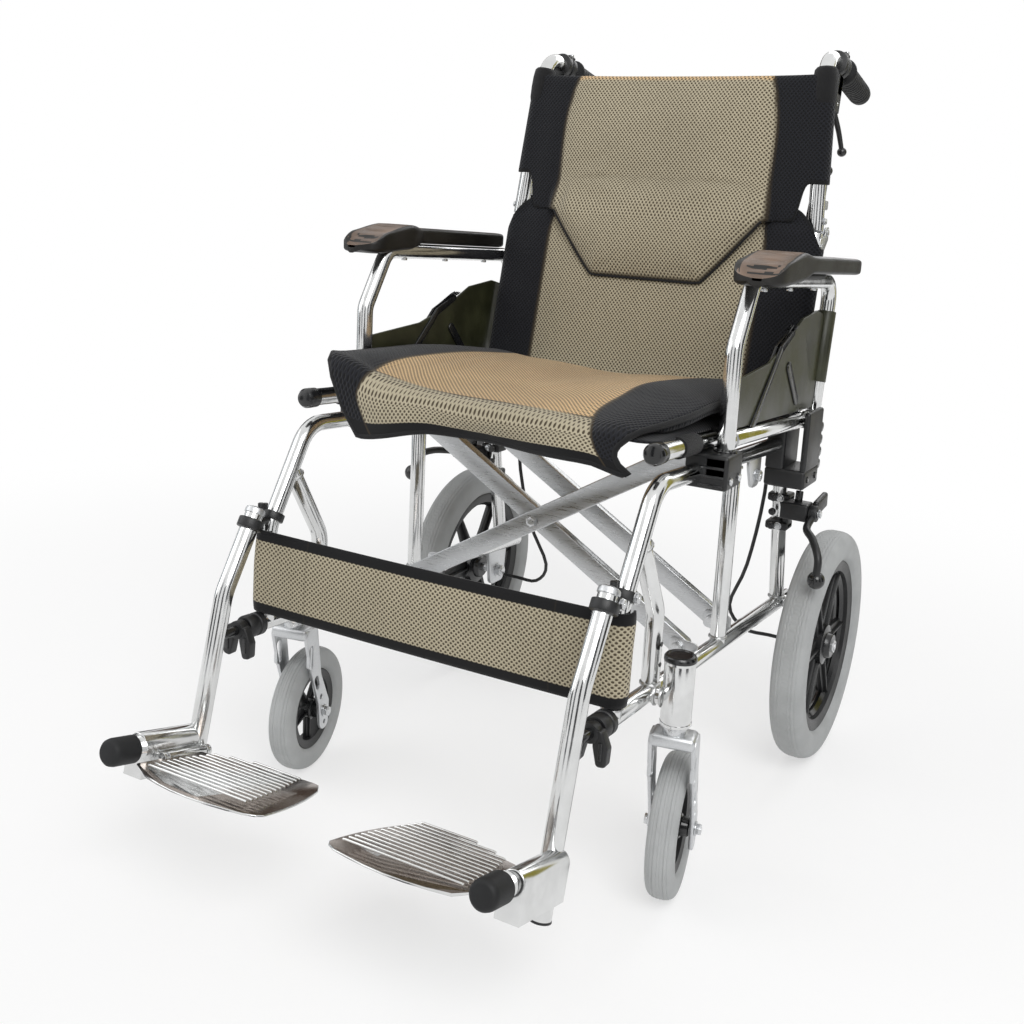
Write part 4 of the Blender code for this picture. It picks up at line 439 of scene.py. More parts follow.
def weld_bead(centre, axis, radius):
    """A ring of overlapping lumps where one tube is welded to another."""
    turn = Vector(axis).normalized().to_track_quat("Z", "Y").to_matrix().to_4x4()
    lay = Matrix.Translation(Vector(centre)) @ turn
    route = [lay @ Vector((x, y, 0)) for x, y in circle((0, 0), radius, BEAD_POINTS)]
    radii = [BEAD_RADIUS * (1.12 if i % 2 else 0.86) for i in range(BEAD_POINTS)]
    return pipe(route, radii, sides=8, closed=True)


class Piece:
    """One piece in the making: its mesh, and the finishes that its parts name."""

    def __init__(self, name, *finishes):
        self.name = name
        self.finishes = finishes
        self.mesh = bmesh.new()

    def add(self, part, index=0, lay=None):
        """Takes a part over, with one of the finishes."""
        if lay is not None:
            part.transform(lay)
        bmesh.ops.recalc_face_normals(part, faces=part.faces)
        for face in part.faces:
            face.material_index = index
            face.smooth = True
        merge(self.mesh, part)

    def done(self, body, *nodes, sharp=35.0):
        """Makes the object, which rides on a body and stands for CAD nodes."""
        thing = new_object(self.name, self.mesh)
        if not thing.data.polygons:
            raise RuntimeError(f"{self.name} has no faces")
        for name in self.finishes:
            thing.data.materials.append(finish(name))
        thing.data.set_sharp_from_angle(angle=radians(sharp))
        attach(thing, body)
        if nodes:
            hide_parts(*nodes)
        return thing


# Finishes

class Wiring:
    """Short calls for the nodes of one tree."""

    def __init__(self, tree):
        self.tree = tree

    def node(self, kind, **settings):
        """A new node with its own settings."""
        made = self.tree.nodes.new(kind)
        for key, value in settings.items():
            setattr(made, key, value)
        return made

    def plug(self, socket, value):
        """Sets a socket, or links it where the value is another node's output."""
        if isinstance(value, bpy.types.NodeSocket):
            self.tree.links.new(value, socket)
        else:
            socket.default_value = value

    def math(self, operation, first, second=None):
        """The result of a sum over one or two values."""
        made = self.node("ShaderNodeMath", operation=operation)
        self.plug(made.inputs[0], first)
        if second is not None:
            self.plug(made.inputs[1], second)
        return made.outputs[0]

    def span(self, value, low, high, to_low=0.0, to_high=1.0, smooth=True):
        """A value between two limits, carried to 0 and 1 or to two others."""
        made = self.node("ShaderNodeMapRange", interpolation_type="SMOOTHSTEP" if smooth else "LINEAR")
        for place, item in enumerate((value, low, high, to_low, to_high)):
            self.plug(made.inputs[place], item)
        return made.outputs[0]

    def mix(self, factor, first, second):
        """A colour between two others."""
        made = self.node("ShaderNodeMix", data_type="RGBA")
        self.plug(made.inputs[0], factor)
        self.plug(made.inputs[6], first)
        self.plug(made.inputs[7], second)
        return made.outputs[2]

    def noise(self, scale, detail, stretch=None):
        """Noise over the object's own coordinates, stretched where stretch is given."""
        where = self.node("ShaderNodeTexCoord").outputs["Object"]
        if stretch is not None:
            bend = self.node("ShaderNodeMapping")
            bend.inputs["Scale"].default_value = stretch
            self.plug(bend.inputs[0], where)
            where = bend.outputs[0]
        made = self.node("ShaderNodeTexNoise")
        self.plug(made.inputs["Vector"], where)
        made.inputs["Scale"].default_value = scale
        made.inputs["Detail"].default_value = detail
        made.inputs["Roughness"].default_value = 0.55
        return made.outputs[0]

    def attribute(self, name):
        """A value that the mesh carries at each vertex."""
        return self.node("ShaderNodeAttribute", attribute_name=name).outputs["Fac"]

    def bump(self, height, strength, distance, normal=None):
        """A normal tilted by a height, on top of another one where it is given."""
        made = self.node("ShaderNodeBump")
        made.inputs["Strength"].default_value = strength
        made.inputs["Distance"].default_value = distance
        self.plug(made.inputs["Height"], height)
        if normal is not None:
            self.plug(made.inputs["Normal"], normal)
        return made.outputs[0]


def new_finish(name, **constants):
    """A material with its shader's own sockets set, and the wiring to add to it."""
    made = bpy.data.materials.new(name)
    made.use_nodes = True
    wiring = Wiring(made.node_tree)
    shader = made.node_tree.nodes["Principled BSDF"]
    for key, value in constants.items():
        shader.inputs[key.replace("_", " ")].default_value = value
    return made, wiring, shader.inputs


def rgba(value, factor=1.0):
    """A colour made lighter or darker, with its alpha."""
    return (value[0] * factor, value[1] * factor, value[2] * factor, 1.0)


def mesh_group():
    """Node group: the staggered holes of spacer mesh, over a map laid out in metres."""
    made = bpy.data.node_groups.get("spacer mesh")
    if made:
        return made
    made = bpy.data.node_groups.new("spacer mesh", "ShaderNodeTree")
    face = made.interface
    face.new_socket("Map", in_out="INPUT", socket_type="NodeSocketVector")
    for name, value in (("Across", 0.0055), ("Along", 0.0064), ("Hole", 0.24)):
        face.new_socket(name, in_out="INPUT", socket_type="NodeSocketFloat").default_value = value
    face.new_socket("Hole mask", in_out="OUTPUT", socket_type="NodeSocketFloat")
    face.new_socket("Height", in_out="OUTPUT", socket_type="NodeSocketFloat")
    wiring = Wiring(made)
    entry = wiring.node("NodeGroupInput").outputs
    apart = wiring.node("ShaderNodeSeparateXYZ")
    wiring.plug(apart.inputs[0], entry["Map"])
    across = wiring.math("DIVIDE", apart.outputs[0], entry["Across"])
    along = wiring.math("DIVIDE", apart.outputs[1], entry["Along"])
    reaches = []
    for shift in (0.0, 0.5):
        x = wiring.math("SUBTRACT", wiring.math("FRACT", wiring.math("ADD", across, shift)), 0.5)
        y = wiring.math("SUBTRACT", wiring.math("FRACT", wiring.math("ADD", along, shift)), 0.5)
        x2 = wiring.math("MULTIPLY", x, x)
        y2 = wiring.math("MULTIPLY", wiring.math("MULTIPLY", y, y), 1.25)
        reaches.append(wiring.math("SQRT", wiring.math("ADD", x2, y2)))
    reach = wiring.math("MINIMUM", *reaches)
    hole = wiring.span(reach, wiring.math("MULTIPLY", entry["Hole"], 0.72),
                       wiring.math("MULTIPLY", entry["Hole"], 1.22), 1.0, 0.0)
    height = wiring.span(reach, wiring.math("MULTIPLY", entry["Hole"], 0.5), 0.46, 0.0, 1.0)
    leaving = wiring.node("NodeGroupOutput").inputs
    wiring.plug(leaving["Hole mask"], hole)
    wiring.plug(leaving["Height"], height)
    return made


def twill_group():
    """Node group: the fine ribs of woven tape, over a map laid out in metres."""
    made = bpy.data.node_groups.get("woven tape")
    if made:
        return made
    made = bpy.data.node_groups.new("woven tape", "ShaderNodeTree")
    made.interface.new_socket("Rib", in_out="INPUT", socket_type="NodeSocketFloat").default_value = 0.0011
    made.interface.new_socket("Height", in_out="OUTPUT", socket_type="NodeSocketFloat")
    wiring = Wiring(made)
    entry = wiring.node("NodeGroupInput").outputs
    where = wiring.node("ShaderNodeSeparateXYZ")
    wiring.plug(where.inputs[0], wiring.node("ShaderNodeTexCoord").outputs["Object"])
    slant = wiring.math("ADD", wiring.math("ADD", where.outputs[0], where.outputs[1]), where.outputs[2])
    other = wiring.math("SUBTRACT", wiring.math("ADD", where.outputs[0], where.outputs[1]), where.outputs[2])
    waves = [wiring.math("SINE", wiring.math("MULTIPLY", wiring.math("DIVIDE", line, entry["Rib"]), 2 * pi))
             for line in (slant, other)]
    wiring.plug(wiring.node("NodeGroupOutput").inputs["Height"], wiring.math("MULTIPLY", *waves))
    return made


def fabric(name, top=False, strap=False):
    """Pale spacer mesh that turns black in the wings, with painted shade in its holes and along its sewn
    seams.

    Its places come from the attributes wing, seam and hem of the mesh, in metres."""
    shades, pitch = colours(), sizes()
    made, wiring, shader = new_finish(name, Roughness=0.85, Sheen_Weight=0.12, Sheen_Roughness=0.5,
                                      Specular_IOR_Level=0.25)
    grid = wiring.node("ShaderNodeGroup", node_tree=mesh_group())
    wiring.plug(grid.inputs["Map"], wiring.node("ShaderNodeUVMap", uv_map="cloth").outputs[0])
    grid.inputs["Across"].default_value = pitch.hole_across * (1.10 if strap else 1.0)
    grid.inputs["Along"].default_value = pitch.hole_along * (0.90 if strap else 1.0)
    grid.inputs["Hole"].default_value = 0.25
    wing = wiring.span(wiring.attribute("wing"), -0.0006, 0.0006)
    seam = wiring.span(wiring.attribute("seam"), 0.0006, 0.0046, 1.0, 0.0)
    hem = wiring.span(wiring.attribute("hem"), 0.0100, 0.0112, 1.0, 0.0)
    broad = wiring.noise(5.0, 2.0)
    fine = wiring.noise(900.0, 2.0)
    pale = wiring.mix(wiring.span(broad, 0.35, 0.65), rgba(shades.thread, 0.95), rgba(shades.thread, 1.05))
    # Warm colour where the mesh carries top: the seat top's own colour, and a painted highlight along the
    # back's top edge.
    if top:
        warm = wiring.mix(wiring.span(broad, 0.35, 0.65), rgba(shades.warm_thread_and_highlight, 0.92),
                          rgba(shades.warm_thread_and_highlight, 1.08))
        pale = wiring.mix(wiring.span(wiring.attribute("top"), 0.25, 0.75), pale, warm)
    pale = wiring.mix(wiring.span(fine, 0.3, 0.7), wiring.mix(0.18, pale, (0, 0, 0, 1)), pale)
    # Painted shade in the mesh's holes, on the pale mesh and on the black wings.
    pale = wiring.mix(wiring.math("MULTIPLY", grid.outputs["Hole mask"], 0.95), pale, rgba(shades.hole))
    black = wiring.mix(grid.outputs["Hole mask"], rgba(shades.black_mesh, 1.8), rgba(shades.black_mesh, 0.25))
    shade = wiring.mix(wing, pale, black)
    shade = wiring.mix(hem, shade, rgba(shades.binding))
    # Darker along the seams: the stitched line, with painted shade in the seam's groove and along the lap's
    # lower edge.
    shade = wiring.mix(wiring.math("MULTIPLY", seam, 0.92), shade, rgba(shades.hole, 0.7))
    wiring.plug(shader["Base Color"], shade)
    weave = wiring.math("MULTIPLY", grid.outputs["Height"], wiring.math("SUBTRACT", 1.0, hem))
    normal = wiring.bump(weave, 0.7, 0.0010)
    normal = wiring.bump(fine, 0.25, 0.0003, normal)
    wiring.plug(shader["Normal"], normal)
    return made


def woven_tape(name, value):
    """Black binding tape."""
    made, wiring, shader = new_finish(name, Roughness=0.78, Sheen_Weight=0.10, Specular_IOR_Level=0.30)
    ribs = wiring.node("ShaderNodeGroup", node_tree=twill_group())
    ribs.inputs["Rib"].default_value = 0.0013
    # Colour follows the weave's height: painted shade in its hollows and a painted highlight on its ribs.
    shade = wiring.mix(wiring.span(ribs.outputs[0], -0.6, 0.6), rgba(value, 0.6), rgba(value, 1.9))
    wiring.plug(shader["Base Color"], shade)
    wiring.plug(shader["Normal"], wiring.bump(ribs.outputs[0], 0.5, 0.0004))
    return made


def polished(name, value, roughness=0.11, scratch=0.03):
    """Polished tube: faint drawing lines, smudges and a soft change of tone."""
    made, wiring, shader = new_finish(name, Metallic=1.0)
    smudge = wiring.noise(38.0, 4.0)
    wiring.plug(shader["Base Color"],
                wiring.mix(wiring.span(smudge, 0.35, 0.7), rgba(value, 0.93), rgba(value, 1.04)))
    wiring.plug(shader["Roughness"], wiring.span(smudge, 0.3, 0.75, roughness, roughness + 0.09))
    lines = wiring.noise(260.0, 2.0, stretch=(1.0, 1.0, 0.08))
    wiring.plug(shader["Normal"], wiring.bump(lines, scratch, 0.0002))
    return made


def brushed(name, value, stretch=(0.05, 1.0, 1.0), roughness=0.30):
    """Brushed metal: long fine streaks in colour, gloss and height."""
    made, wiring, shader = new_finish(name, Metallic=1.0)
    streak = wiring.noise(900.0, 3.0, stretch=stretch)
    cloud = wiring.noise(16.0, 3.0)
    tone = wiring.mix(wiring.span(streak, 0.3, 0.7), rgba(value, 0.93), rgba(value, 1.05))
    wiring.plug(shader["Base Color"],
                wiring.mix(wiring.span(cloud, 0.3, 0.7, 0.0, 0.12), tone, rgba(value, 0.8)))
    wiring.plug(shader["Roughness"], wiring.span(streak, 0.25, 0.75, roughness - 0.06, roughness + 0.10))
    wiring.plug(shader["Normal"], wiring.bump(streak, 0.08, 0.0002))
    return made


def moulded(name, value, roughness=0.40, grain=0.35, grain_scale=1500.0, gloss=0.5):
    """Moulded plastic or rubber: fine spark-eroded grain, worn brighter on its clouds."""
    made, wiring, shader = new_finish(name, Specular_IOR_Level=gloss)
    cloud = wiring.noise(22.0, 4.0)
    pebble = wiring.noise(grain_scale, 2.0)
    wiring.plug(shader["Base Color"],
                wiring.mix(wiring.span(cloud, 0.35, 0.7), rgba(value, 0.75), rgba(value, 1.5)))
    wiring.plug(shader["Roughness"], wiring.span(cloud, 0.3, 0.75, roughness - 0.05, roughness + 0.10))
    wiring.plug(shader["Normal"], wiring.bump(pebble, grain, 0.0004))
    return made


def tyre_rubber(name, value):
    """Grey tyre rubber: dusty tread, faint mould lines and mottling."""
    made, wiring, shader = new_finish(name, Specular_IOR_Level=0.35)
    cloud = wiring.noise(30.0, 5.0)
    speck = wiring.noise(700.0, 2.0)
    tone = wiring.mix(wiring.span(cloud, 0.3, 0.7), rgba(value, 0.92), rgba(value, 1.06))
    wiring.plug(shader["Base Color"],
                wiring.mix(wiring.span(speck, 0.62, 0.75, 0.0, 0.3), tone, rgba(value, 0.5)))
    wiring.plug(shader["Roughness"], wiring.span(cloud, 0.3, 0.7, 0.58, 0.72))
    wiring.plug(shader["Normal"], wiring.bump(speck, 0.35, 0.0004))
    return made


def finish(name):
    """The finished material of that name, made when it is first asked for."""
    made = bpy.data.materials.get(name)
    if made:
        return made
    shades = colours()
    makers = {
        "back_mesh": lambda: fabric(name, top=True),
        "seat_mesh": lambda: fabric(name, top=True),
        "strap_mesh": lambda: fabric(name, strap=True),
        "binding_tape": lambda: woven_tape(name, shades.binding),
        "polished_tube": lambda: polished(name, shades.aluminium),
        "weld_metal": lambda: polished(name, rgba(shades.aluminium, 0.75)[:3], 0.30, 0.2),
        "brushed_bar": lambda: brushed(name, shades.brushed),
        "cast_plate": lambda: brushed(name, rgba(shades.brushed, 1.1)[:3], (1.0, 0.12, 1.0), 0.36),
        "zinc_bolt": lambda: brushed(name, (0.62, 0.63, 0.64), (1.0, 1.0, 1.0), 0.28),
        "grey_rubber": lambda: tyre_rubber(name, shades.tyre),
        "moulded_black": lambda: moulded(name, shades.plastic),
        "gloss_black": lambda: moulded(name, shades.plastic, 0.20, 0.05, 400.0, 0.6),
        "soft_black": lambda: moulded(name, rgba(shades.plastic, 1.1)[:3], 0.58, 0.6, 1100.0, 0.35),
        "pad_skin": lambda: moulded(name, shades.pad, 0.42, 0.35, 1700.0, 0.40),
        # Painted sheen for the paddles' upward faces.
        "pad_painted_sheen": lambda: moulded(name, shades.pad_painted_sheen, 0.38, 0.40, 1700.0, 0.50),
        "skirt_panel": lambda: moulded(name, shades.skirt, 0.34, 0.25, 1300.0, 0.5),
        "cable_sheath": lambda: moulded(name, shades.plastic, 0.35, 0.2, 2200.0, 0.5),
        "cast_mirror": lambda: polished(name, rgba(shades.aluminium, 0.96)[:3], 0.14, 0.06),
        # Painted reflection: a darker brown tint for the tray's upward floor.
        "tray_painted_reflection": lambda: polished(name, (0.400, 0.350, 0.315), 0.15, 0.06),
        "cast_ribs": lambda: polished(name, rgba(shades.aluminium, 1.05)[:3], 0.22, 0.05),
        "thread_metal": lambda: polished(name, rgba(shades.aluminium, 0.95)[:3], 0.16, 0.02),
    }
    return makers[name]()


# Soft goods

CLOTH_FRAMES = 20


def settle(thing, pinned, pressure, cap):
    """Lets a closed panel swell as cloth between its pinned points, by no more than cap."""
    group = thing.vertex_groups.new(name="held")
    for index, weight in enumerate(pinned):
        group.add([index], weight, "REPLACE")
    cloth = thing.modifiers.new("swell", "CLOTH")
    cloth.settings.vertex_group_mass = "held"
    cloth.settings.quality = 5
    cloth.settings.mass = 0.3
    cloth.settings.tension_stiffness = 25
    cloth.settings.compression_stiffness = 25
    cloth.settings.shear_stiffness = 8
    cloth.settings.bending_stiffness = 0.6
    cloth.settings.air_damping = 2
    cloth.settings.use_pressure = True
    cloth.settings.uniform_pressure_force = pressure
    cloth.settings.effector_weights.gravity = 0.0
    cloth.collision_settings.use_collision = False
    cloth.point_cache.frame_start = 1
    cloth.point_cache.frame_end = CLOTH_FRAMES
    scene = bpy.context.scene
    for number in range(1, CLOTH_FRAMES + 1):
        scene.frame_set(number)
    graph = bpy.context.evaluated_depsgraph_get()
    moved = [vert.co.copy() for vert in thing.evaluated_get(graph).data.vertices]
    if len(moved) != len(thing.data.vertices):
        raise RuntimeError(f"{thing.name} changed its vertices while it swelled")
    thing.modifiers.remove(cloth)
    thing.vertex_groups.remove(group)
    for vert, place in zip(thing.data.vertices, moved):
        step = place - vert.co
        if step.length > cap:
            step *= cap / step.length
        vert.co = vert.co + step
    scene.frame_set(1)


def soft_panel(name, columns, rows, face, depth, chart, marks, finish_name):
    """A closed fabric panel over a grid: face side, back side and the hem between.

    face(u, v) gives the middle of the fabric, depth(u, v) its reach in front and behind,
    chart(u, v) its place on the flat cloth and marks(u, v) the values of wing, seam, hem, top
    and pin. Returns the object and the pin of each vertex."""
    part = bmesh.new()
    bmesh.ops.create_grid(part, x_segments=columns, y_segments=rows, size=0.5)
    layers = {key: part.verts.layers.float.new(key)
              for key in ("u", "v", "behind", "wing", "seam", "hem", "top", "pin")}
    for vert in part.verts:
        vert[layers["u"]], vert[layers["v"]] = vert.co.x + 0.5, vert.co.y + 0.5
    copied = bmesh.ops.duplicate(part, geom=part.verts[:] + part.edges[:] + part.faces[:])["geom"]
    second = [g for g in copied if isinstance(g, bmesh.types.BMFace)]
    for vert in {v for item in second for v in item.verts}:
        vert[layers["behind"]] = 1.0
    bmesh.ops.reverse_faces(part, faces=second)
    bmesh.ops.bridge_loops(part, edges=[edge for edge in part.edges if edge.is_boundary])
    flat = part.loops.layers.uv.new("cloth")
    step = 2e-3
    for vert in part.verts:
        u, v = vert[layers["u"]], vert[layers["v"]]
        across = face(min(1, u + step), v) - face(max(0, u - step), v)
        along = face(u, min(1, v + step)) - face(u, max(0, v - step))
        normal = across.cross(along).normalized()
        front, behind = depth(u, v)
        vert.co = face(u, v) + normal * (-behind if vert[layers["behind"]] > 0.5 else front)
        for key, value in marks(u, v).items():
            vert[layers[key]] = value
    for item in part.faces:
        item.smooth = True
        for loop in item.loops:
            loop[flat].uv = chart(loop.vert[layers["u"]], loop.vert[layers["v"]])
    bmesh.ops.recalc_face_normals(part, faces=part.faces)
    part.verts.index_update()
    pins = [vert[layers["pin"]] for vert in part.verts]
    thing = new_object(name, part)
    thing.data.materials.append(finish(finish_name))
    return thing, pins


def refine(thing):
    """Adds one smoothing subdivision."""
    smooth = thing.modifiers.new("smooth", "SUBSURF")
    smooth.levels = 1
    smooth.render_levels = 1


def curve(*pairs):
    """A smooth line through (place, value) pairs, as a function of the place."""
    dense = smooth_route([(*pair, 0.0) for pair in pairs], 8)

    def value(place):
        for low, high in zip(dense, dense[1:]):
            if place <= high.x:
                share = min(1.0, max(0.0, (place - low.x) / max(1e-9, high.x - low.x)))
                return low.y + share * (high.y - low.y)
        return dense[-1].y
    return value


def soft_tube(name, route, radius, sides=12, finish_name="binding_tape"):
    """A cable, a sewn edge or a dark cord of painted shadow: a soft tube along a route."""
    piece = Piece(name)
    piece.add(pipe(route, radius, sides))
    thing = new_object(name, piece.mesh)
    thing.data.materials.append(finish(finish_name))
    return thing


# Half widths across X at which the back panels and the calf strap are cut into a middle and two ends
BACK_CUT, STRAP_CUT = 0.186, 0.195


def take_slice(thing, name, cuts):
    """A copy of a soft piece, cut at each plane (a point, and the way to what is left out) and closed."""
    part = bmesh.new()
    part.from_mesh(thing.data)
    for point, away in cuts:
        whole = part.verts[:] + part.edges[:] + part.faces[:]
        bmesh.ops.bisect_plane(part, geom=whole, dist=1e-6, plane_co=point, plane_no=away, clear_outer=True)
    cut = [edge for edge in part.edges if edge.is_boundary]
    bmesh.ops.edgeloop_fill(part, edges=cut)
    for edge in cut:
        edge.smooth = False
    piece = new_object(name, part)
    for material in thing.data.materials:
        piece.data.materials.append(material)
    return piece


def squash_with_fold(thing):
    """Gives a piece its own copy of its mesh."""
    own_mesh(thing)


def hang(whole, node, bodies, cut, lap=None):
    """Splits a panel at the tubes that carry it. Each end rides on its own side, and the middle
    rides on the left one. A lap is what hangs below a height of the middle, and rides on a body
    of its own. Returns the pieces."""
    graph = bpy.context.evaluated_depsgraph_get()
    smooth = bpy.data.meshes.new_from_object(whole.evaluated_get(graph), preserve_all_data_layers=True,
                                             depsgraph=graph)
    whole.modifiers.clear()
    whole.data = smooth
    between = [((cut, 0, 0), (1, 0, 0)), ((-cut, 0, 0), (-1, 0, 0))]
    parts = [
        ("middle", bodies[0], between),
        ("left", bodies[0], [((cut, 0, 0), (-1, 0, 0))]),
        ("right", bodies[1], [((-cut, 0, 0), (1, 0, 0))]),
    ]
    if lap:
        height, lap_body = lap
        parts[0] = ("middle", bodies[0], between + [((0, 0, height), (0, 0, -1))])
        parts.append(("lap", lap_body, between + [((0, 0, height), (0, 0, 1))]))
    pieces = []
    for part, body, cuts in parts:
        piece = take_slice(whole, f"{whole.name}_{part}", cuts)
        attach(piece, body)
        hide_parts(node)
        if part in ("middle", "lap"):
            squash_with_fold(piece)
        pieces.append(piece)
    bpy.data.objects.remove(whole)
    return pieces


# The upper and lower back panels

# Share of a slung cloth's width that lies flat between its tubes, and the turn of the rest round them
FLAT_SHARE, BACK_WRAP = 0.80, radians(122)


def pale_half(z):
    """Half the width of the back's pale middle at a height."""
    return 0.151 + 0.005 * blend(0.70, 0.66, z) - 0.015 * max(0.0, (z - 0.80) / 0.085) ** 2


def back_face(foot, head, bow, u, v):
    """A point of a back panel's fabric, which wraps round the canes at its sides."""
    across = 2 * u - 1
    z0 = foot(abs(across)) + (head(abs(across)) - foot(abs(across))) * v
    cane = cane_point(LEFT, z0)
    wrap = sizes().cane_radius + 0.0022
    if abs(across) <= FLAT_SHARE:
        t = across / FLAT_SHARE
        return Vector((t * cane.x, cane.y - wrap + bow * (1 - t * t), z0))
    angle = (abs(across) - FLAT_SHARE) / (1 - FLAT_SHARE) * BACK_WRAP
    way = 1 if across > 0 else -1
    return Vector((way * (cane.x + wrap * sin(angle)), cane.y - wrap * cos(angle), z0))


def run_x(across, tube_x, loop):
    """Place along a slung cloth for a share of its width, with a loop round the tube at each side."""
    if abs(across) <= FLAT_SHARE:
        return across / FLAT_SHARE * tube_x
    return (1 if across > 0 else -1) * (tube_x + (abs(across) - FLAT_SHARE) / (1 - FLAT_SHARE) * loop)


def flat_x(across, z):
    """Place along the flat cloth for a share of a panel's width."""
    return run_x(across, cane_point(LEFT, z).x, 0.024)


LAP_FOOT_Z, LAP_HEAD_Z = 0.6165, 0.7000
LAP_FOOT_HALF, LAP_HEAD_HALF = 0.078, 0.149


def lap_foot(x):
    """Height of the lap's outline at a place across: level in the middle, slanting up to its sides."""
    share = min(1.0, max(0.0, (abs(x) - LAP_FOOT_HALF) / (LAP_HEAD_HALF - LAP_FOOT_HALF)))
    return LAP_FOOT_Z + (LAP_HEAD_Z - LAP_FOOT_Z) * share ** 1.08


def upper_back():
    """Upper panel: crowned pale middle that ends in a lap over the lower panel, and black wings
    sleeved on the canes."""
    top = 0.886

    def foot(across):
        return lap_foot(across / FLAT_SHARE * CANE_FOLD_X) + 0.049 * blend(0.70, 0.755, across)

    def head(across):
        return top - 0.004 * (1 - across ** 4)

    def height(u, v):
        across = abs(2 * u - 1)
        return foot(across) + (head(across) - foot(across)) * v

    def rim(u, v):
        """Distance from the lap's outline, or a large one above the lap."""
        across, z = abs(2 * u - 1), height(u, v)
        x = across / FLAT_SHARE * CANE_FOLD_X
        if x > LAP_HEAD_HALF:
            return max(0.030, (z - LAP_HEAD_Z) * 2)
        return (z - foot(across)) * (0.66 if x > LAP_FOOT_HALF else 1.0)

    def face(u, v):
        point = back_face(foot, head, 0.010, u, v)
        ahead = 0.0165 * blend(0.745, 0.690, point.z) * blend(0.162, LAP_HEAD_HALF, abs(point.x))
        return point - Vector((0, ahead, 0))

    def depth(u, v):
        across = abs(2 * u - 1)
        z = height(u, v)
        x = abs(flat_x(2 * u - 1, z))
        middle = min(1.0, max(0.0, (pale_half(z) - x) / 0.030))
        swell = (1 - (1 - middle) ** 2) * (0.80 + 0.20 * sin(pi * min(1.0, v + 0.10)) ** 0.7)
        edge = min(1.0, rim(u, v) / 0.022)
        swell *= 1 - (1 - edge) ** 2
        thin = 0.0012 + 0.0035 * blend(0.80, 0.62, across) * edge
        roll = max(0.0, 1 - ((v - 0.93) / 0.07) ** 2) ** 0.5 if v > 0.93 else 1.0
        return (thin + 0.0120 * swell) * (0.12 + 0.88 * roll), (thin + 0.0018 * swell) * (0.2 + 0.8 * roll)

    def chart(u, v):
        z = height(u, v)
        return flat_x(2 * u - 1, z), z * 1.01

    def marks(u, v):
        across, z = abs(2 * u - 1), height(u, v)
        # seam below also follows the lap's lower edge, which it darkens with painted shade.
        gap = abs(flat_x(2 * u - 1, z)) - pale_half(z)
        lower = (z - foot(across)) if across > 0.66 else 1.0
        pin = 1.0 if (abs(gap) < 0.004 or across > 0.72 or rim(u, v) < 0.004 or v > 0.98) else 0.0
        # top paints a warm highlight along the panel's rolled top edge.
        return {"wing": gap, "seam": min(abs(gap), rim(u, v) * 0.8), "hem": min(lower * 2.2, 1.0),
                "top": blend(0.868, 0.883, z), "pin": pin}

    thing, pins = soft_panel("back_upper_panel", 108, 60, face, depth, chart, marks, "back_mesh")
    settle(thing, pins, 3.0, sizes().puff)
    refine(thing)
    lap = (LAP_HEAD_Z - 0.003, "left_frame")
    for piece in hang(thing, "back_upper", ("back_left", "back_right"), BACK_CUT, lap):
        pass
    # A thin dark cord along the lap's lower outline is a painted shadow, where the lap stands proud of the
    # lower panel.
    edge = LAP_HEAD_HALF * FLAT_SHARE / CANE_FOLD_X
    outline = [face(0.5 + edge * (i / 30 - 0.5), 0.0) + Vector((0, -0.0008, 0)) for i in range(31)]
    lap_shadow_cord = soft_tube("back_lap_painted_shadow", outline, 0.0016)
    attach(lap_shadow_cord, "left_frame")
    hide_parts("back_upper")
    squash_with_fold(lap_shadow_cord)


def lower_back():
    """Lower panel: pale middle, black wings round the lower canes, dropped upper corners."""

    def foot(across):
        return 0.480

    def head(across):
        return 0.720 - 0.050 * blend(0.68, 0.92, across) ** 1.2

    def face(u, v):
        point = back_face(foot, head, 0.008, u, v)
        inside = blend(0.80, 0.74, abs(2 * u - 1))
        return point + Vector((0, 0.0045 * blend(0.688, 0.702, point.z) * inside, 0))

    def depth(u, v):
        across = abs(2 * u - 1)
        z = foot(across) + (head(across) - foot(across)) * v
        x = abs(flat_x(2 * u - 1, z))
        middle = min(1.0, max(0.0, (pale_half(z) - x) / 0.035))
        swell = (1 - (1 - middle) ** 2) * sin(pi * min(1.0, 0.10 + 0.9 * v)) ** 0.6
        thin = 0.0012 + 0.0030 * blend(0.80, 0.62, across)
        return thin + 0.0042 * swell * blend(1.0, 0.55, v) + 0.0008, thin

    def chart(u, v):
        across = abs(2 * u - 1)
        z = foot(across) + (head(across) - foot(across)) * v
        return flat_x(2 * u - 1, z), z * 1.01

    def marks(u, v):
        across = abs(2 * u - 1)
        z = foot(across) + (head(across) - foot(across)) * v
        gap = abs(flat_x(2 * u - 1, z)) - pale_half(z)
        upper = (head(across) - z) if across > 0.66 else 1.0
        pin = 1.0 if (abs(gap) < 0.004 or across > 0.72 or v < 0.03 or v > 0.97) else 0.0
        return {"wing": gap, "seam": abs(gap), "hem": min(upper * 2.2, 1.0), "top": 0.0, "pin": pin}

    thing, pins = soft_panel("back_lower_panel", 96, 40, face, depth, chart, marks, "back_mesh")
    settle(thing, pins, 2.0, sizes().puff * 0.4)
    refine(thing)
    for piece in hang(thing, "back_lower", ("left_frame", "right_frame"), BACK_CUT):
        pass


# The seat

SEAT_FRONT, SEAT_REAR = -0.188, 0.170
PALE_SHARE = 0.74

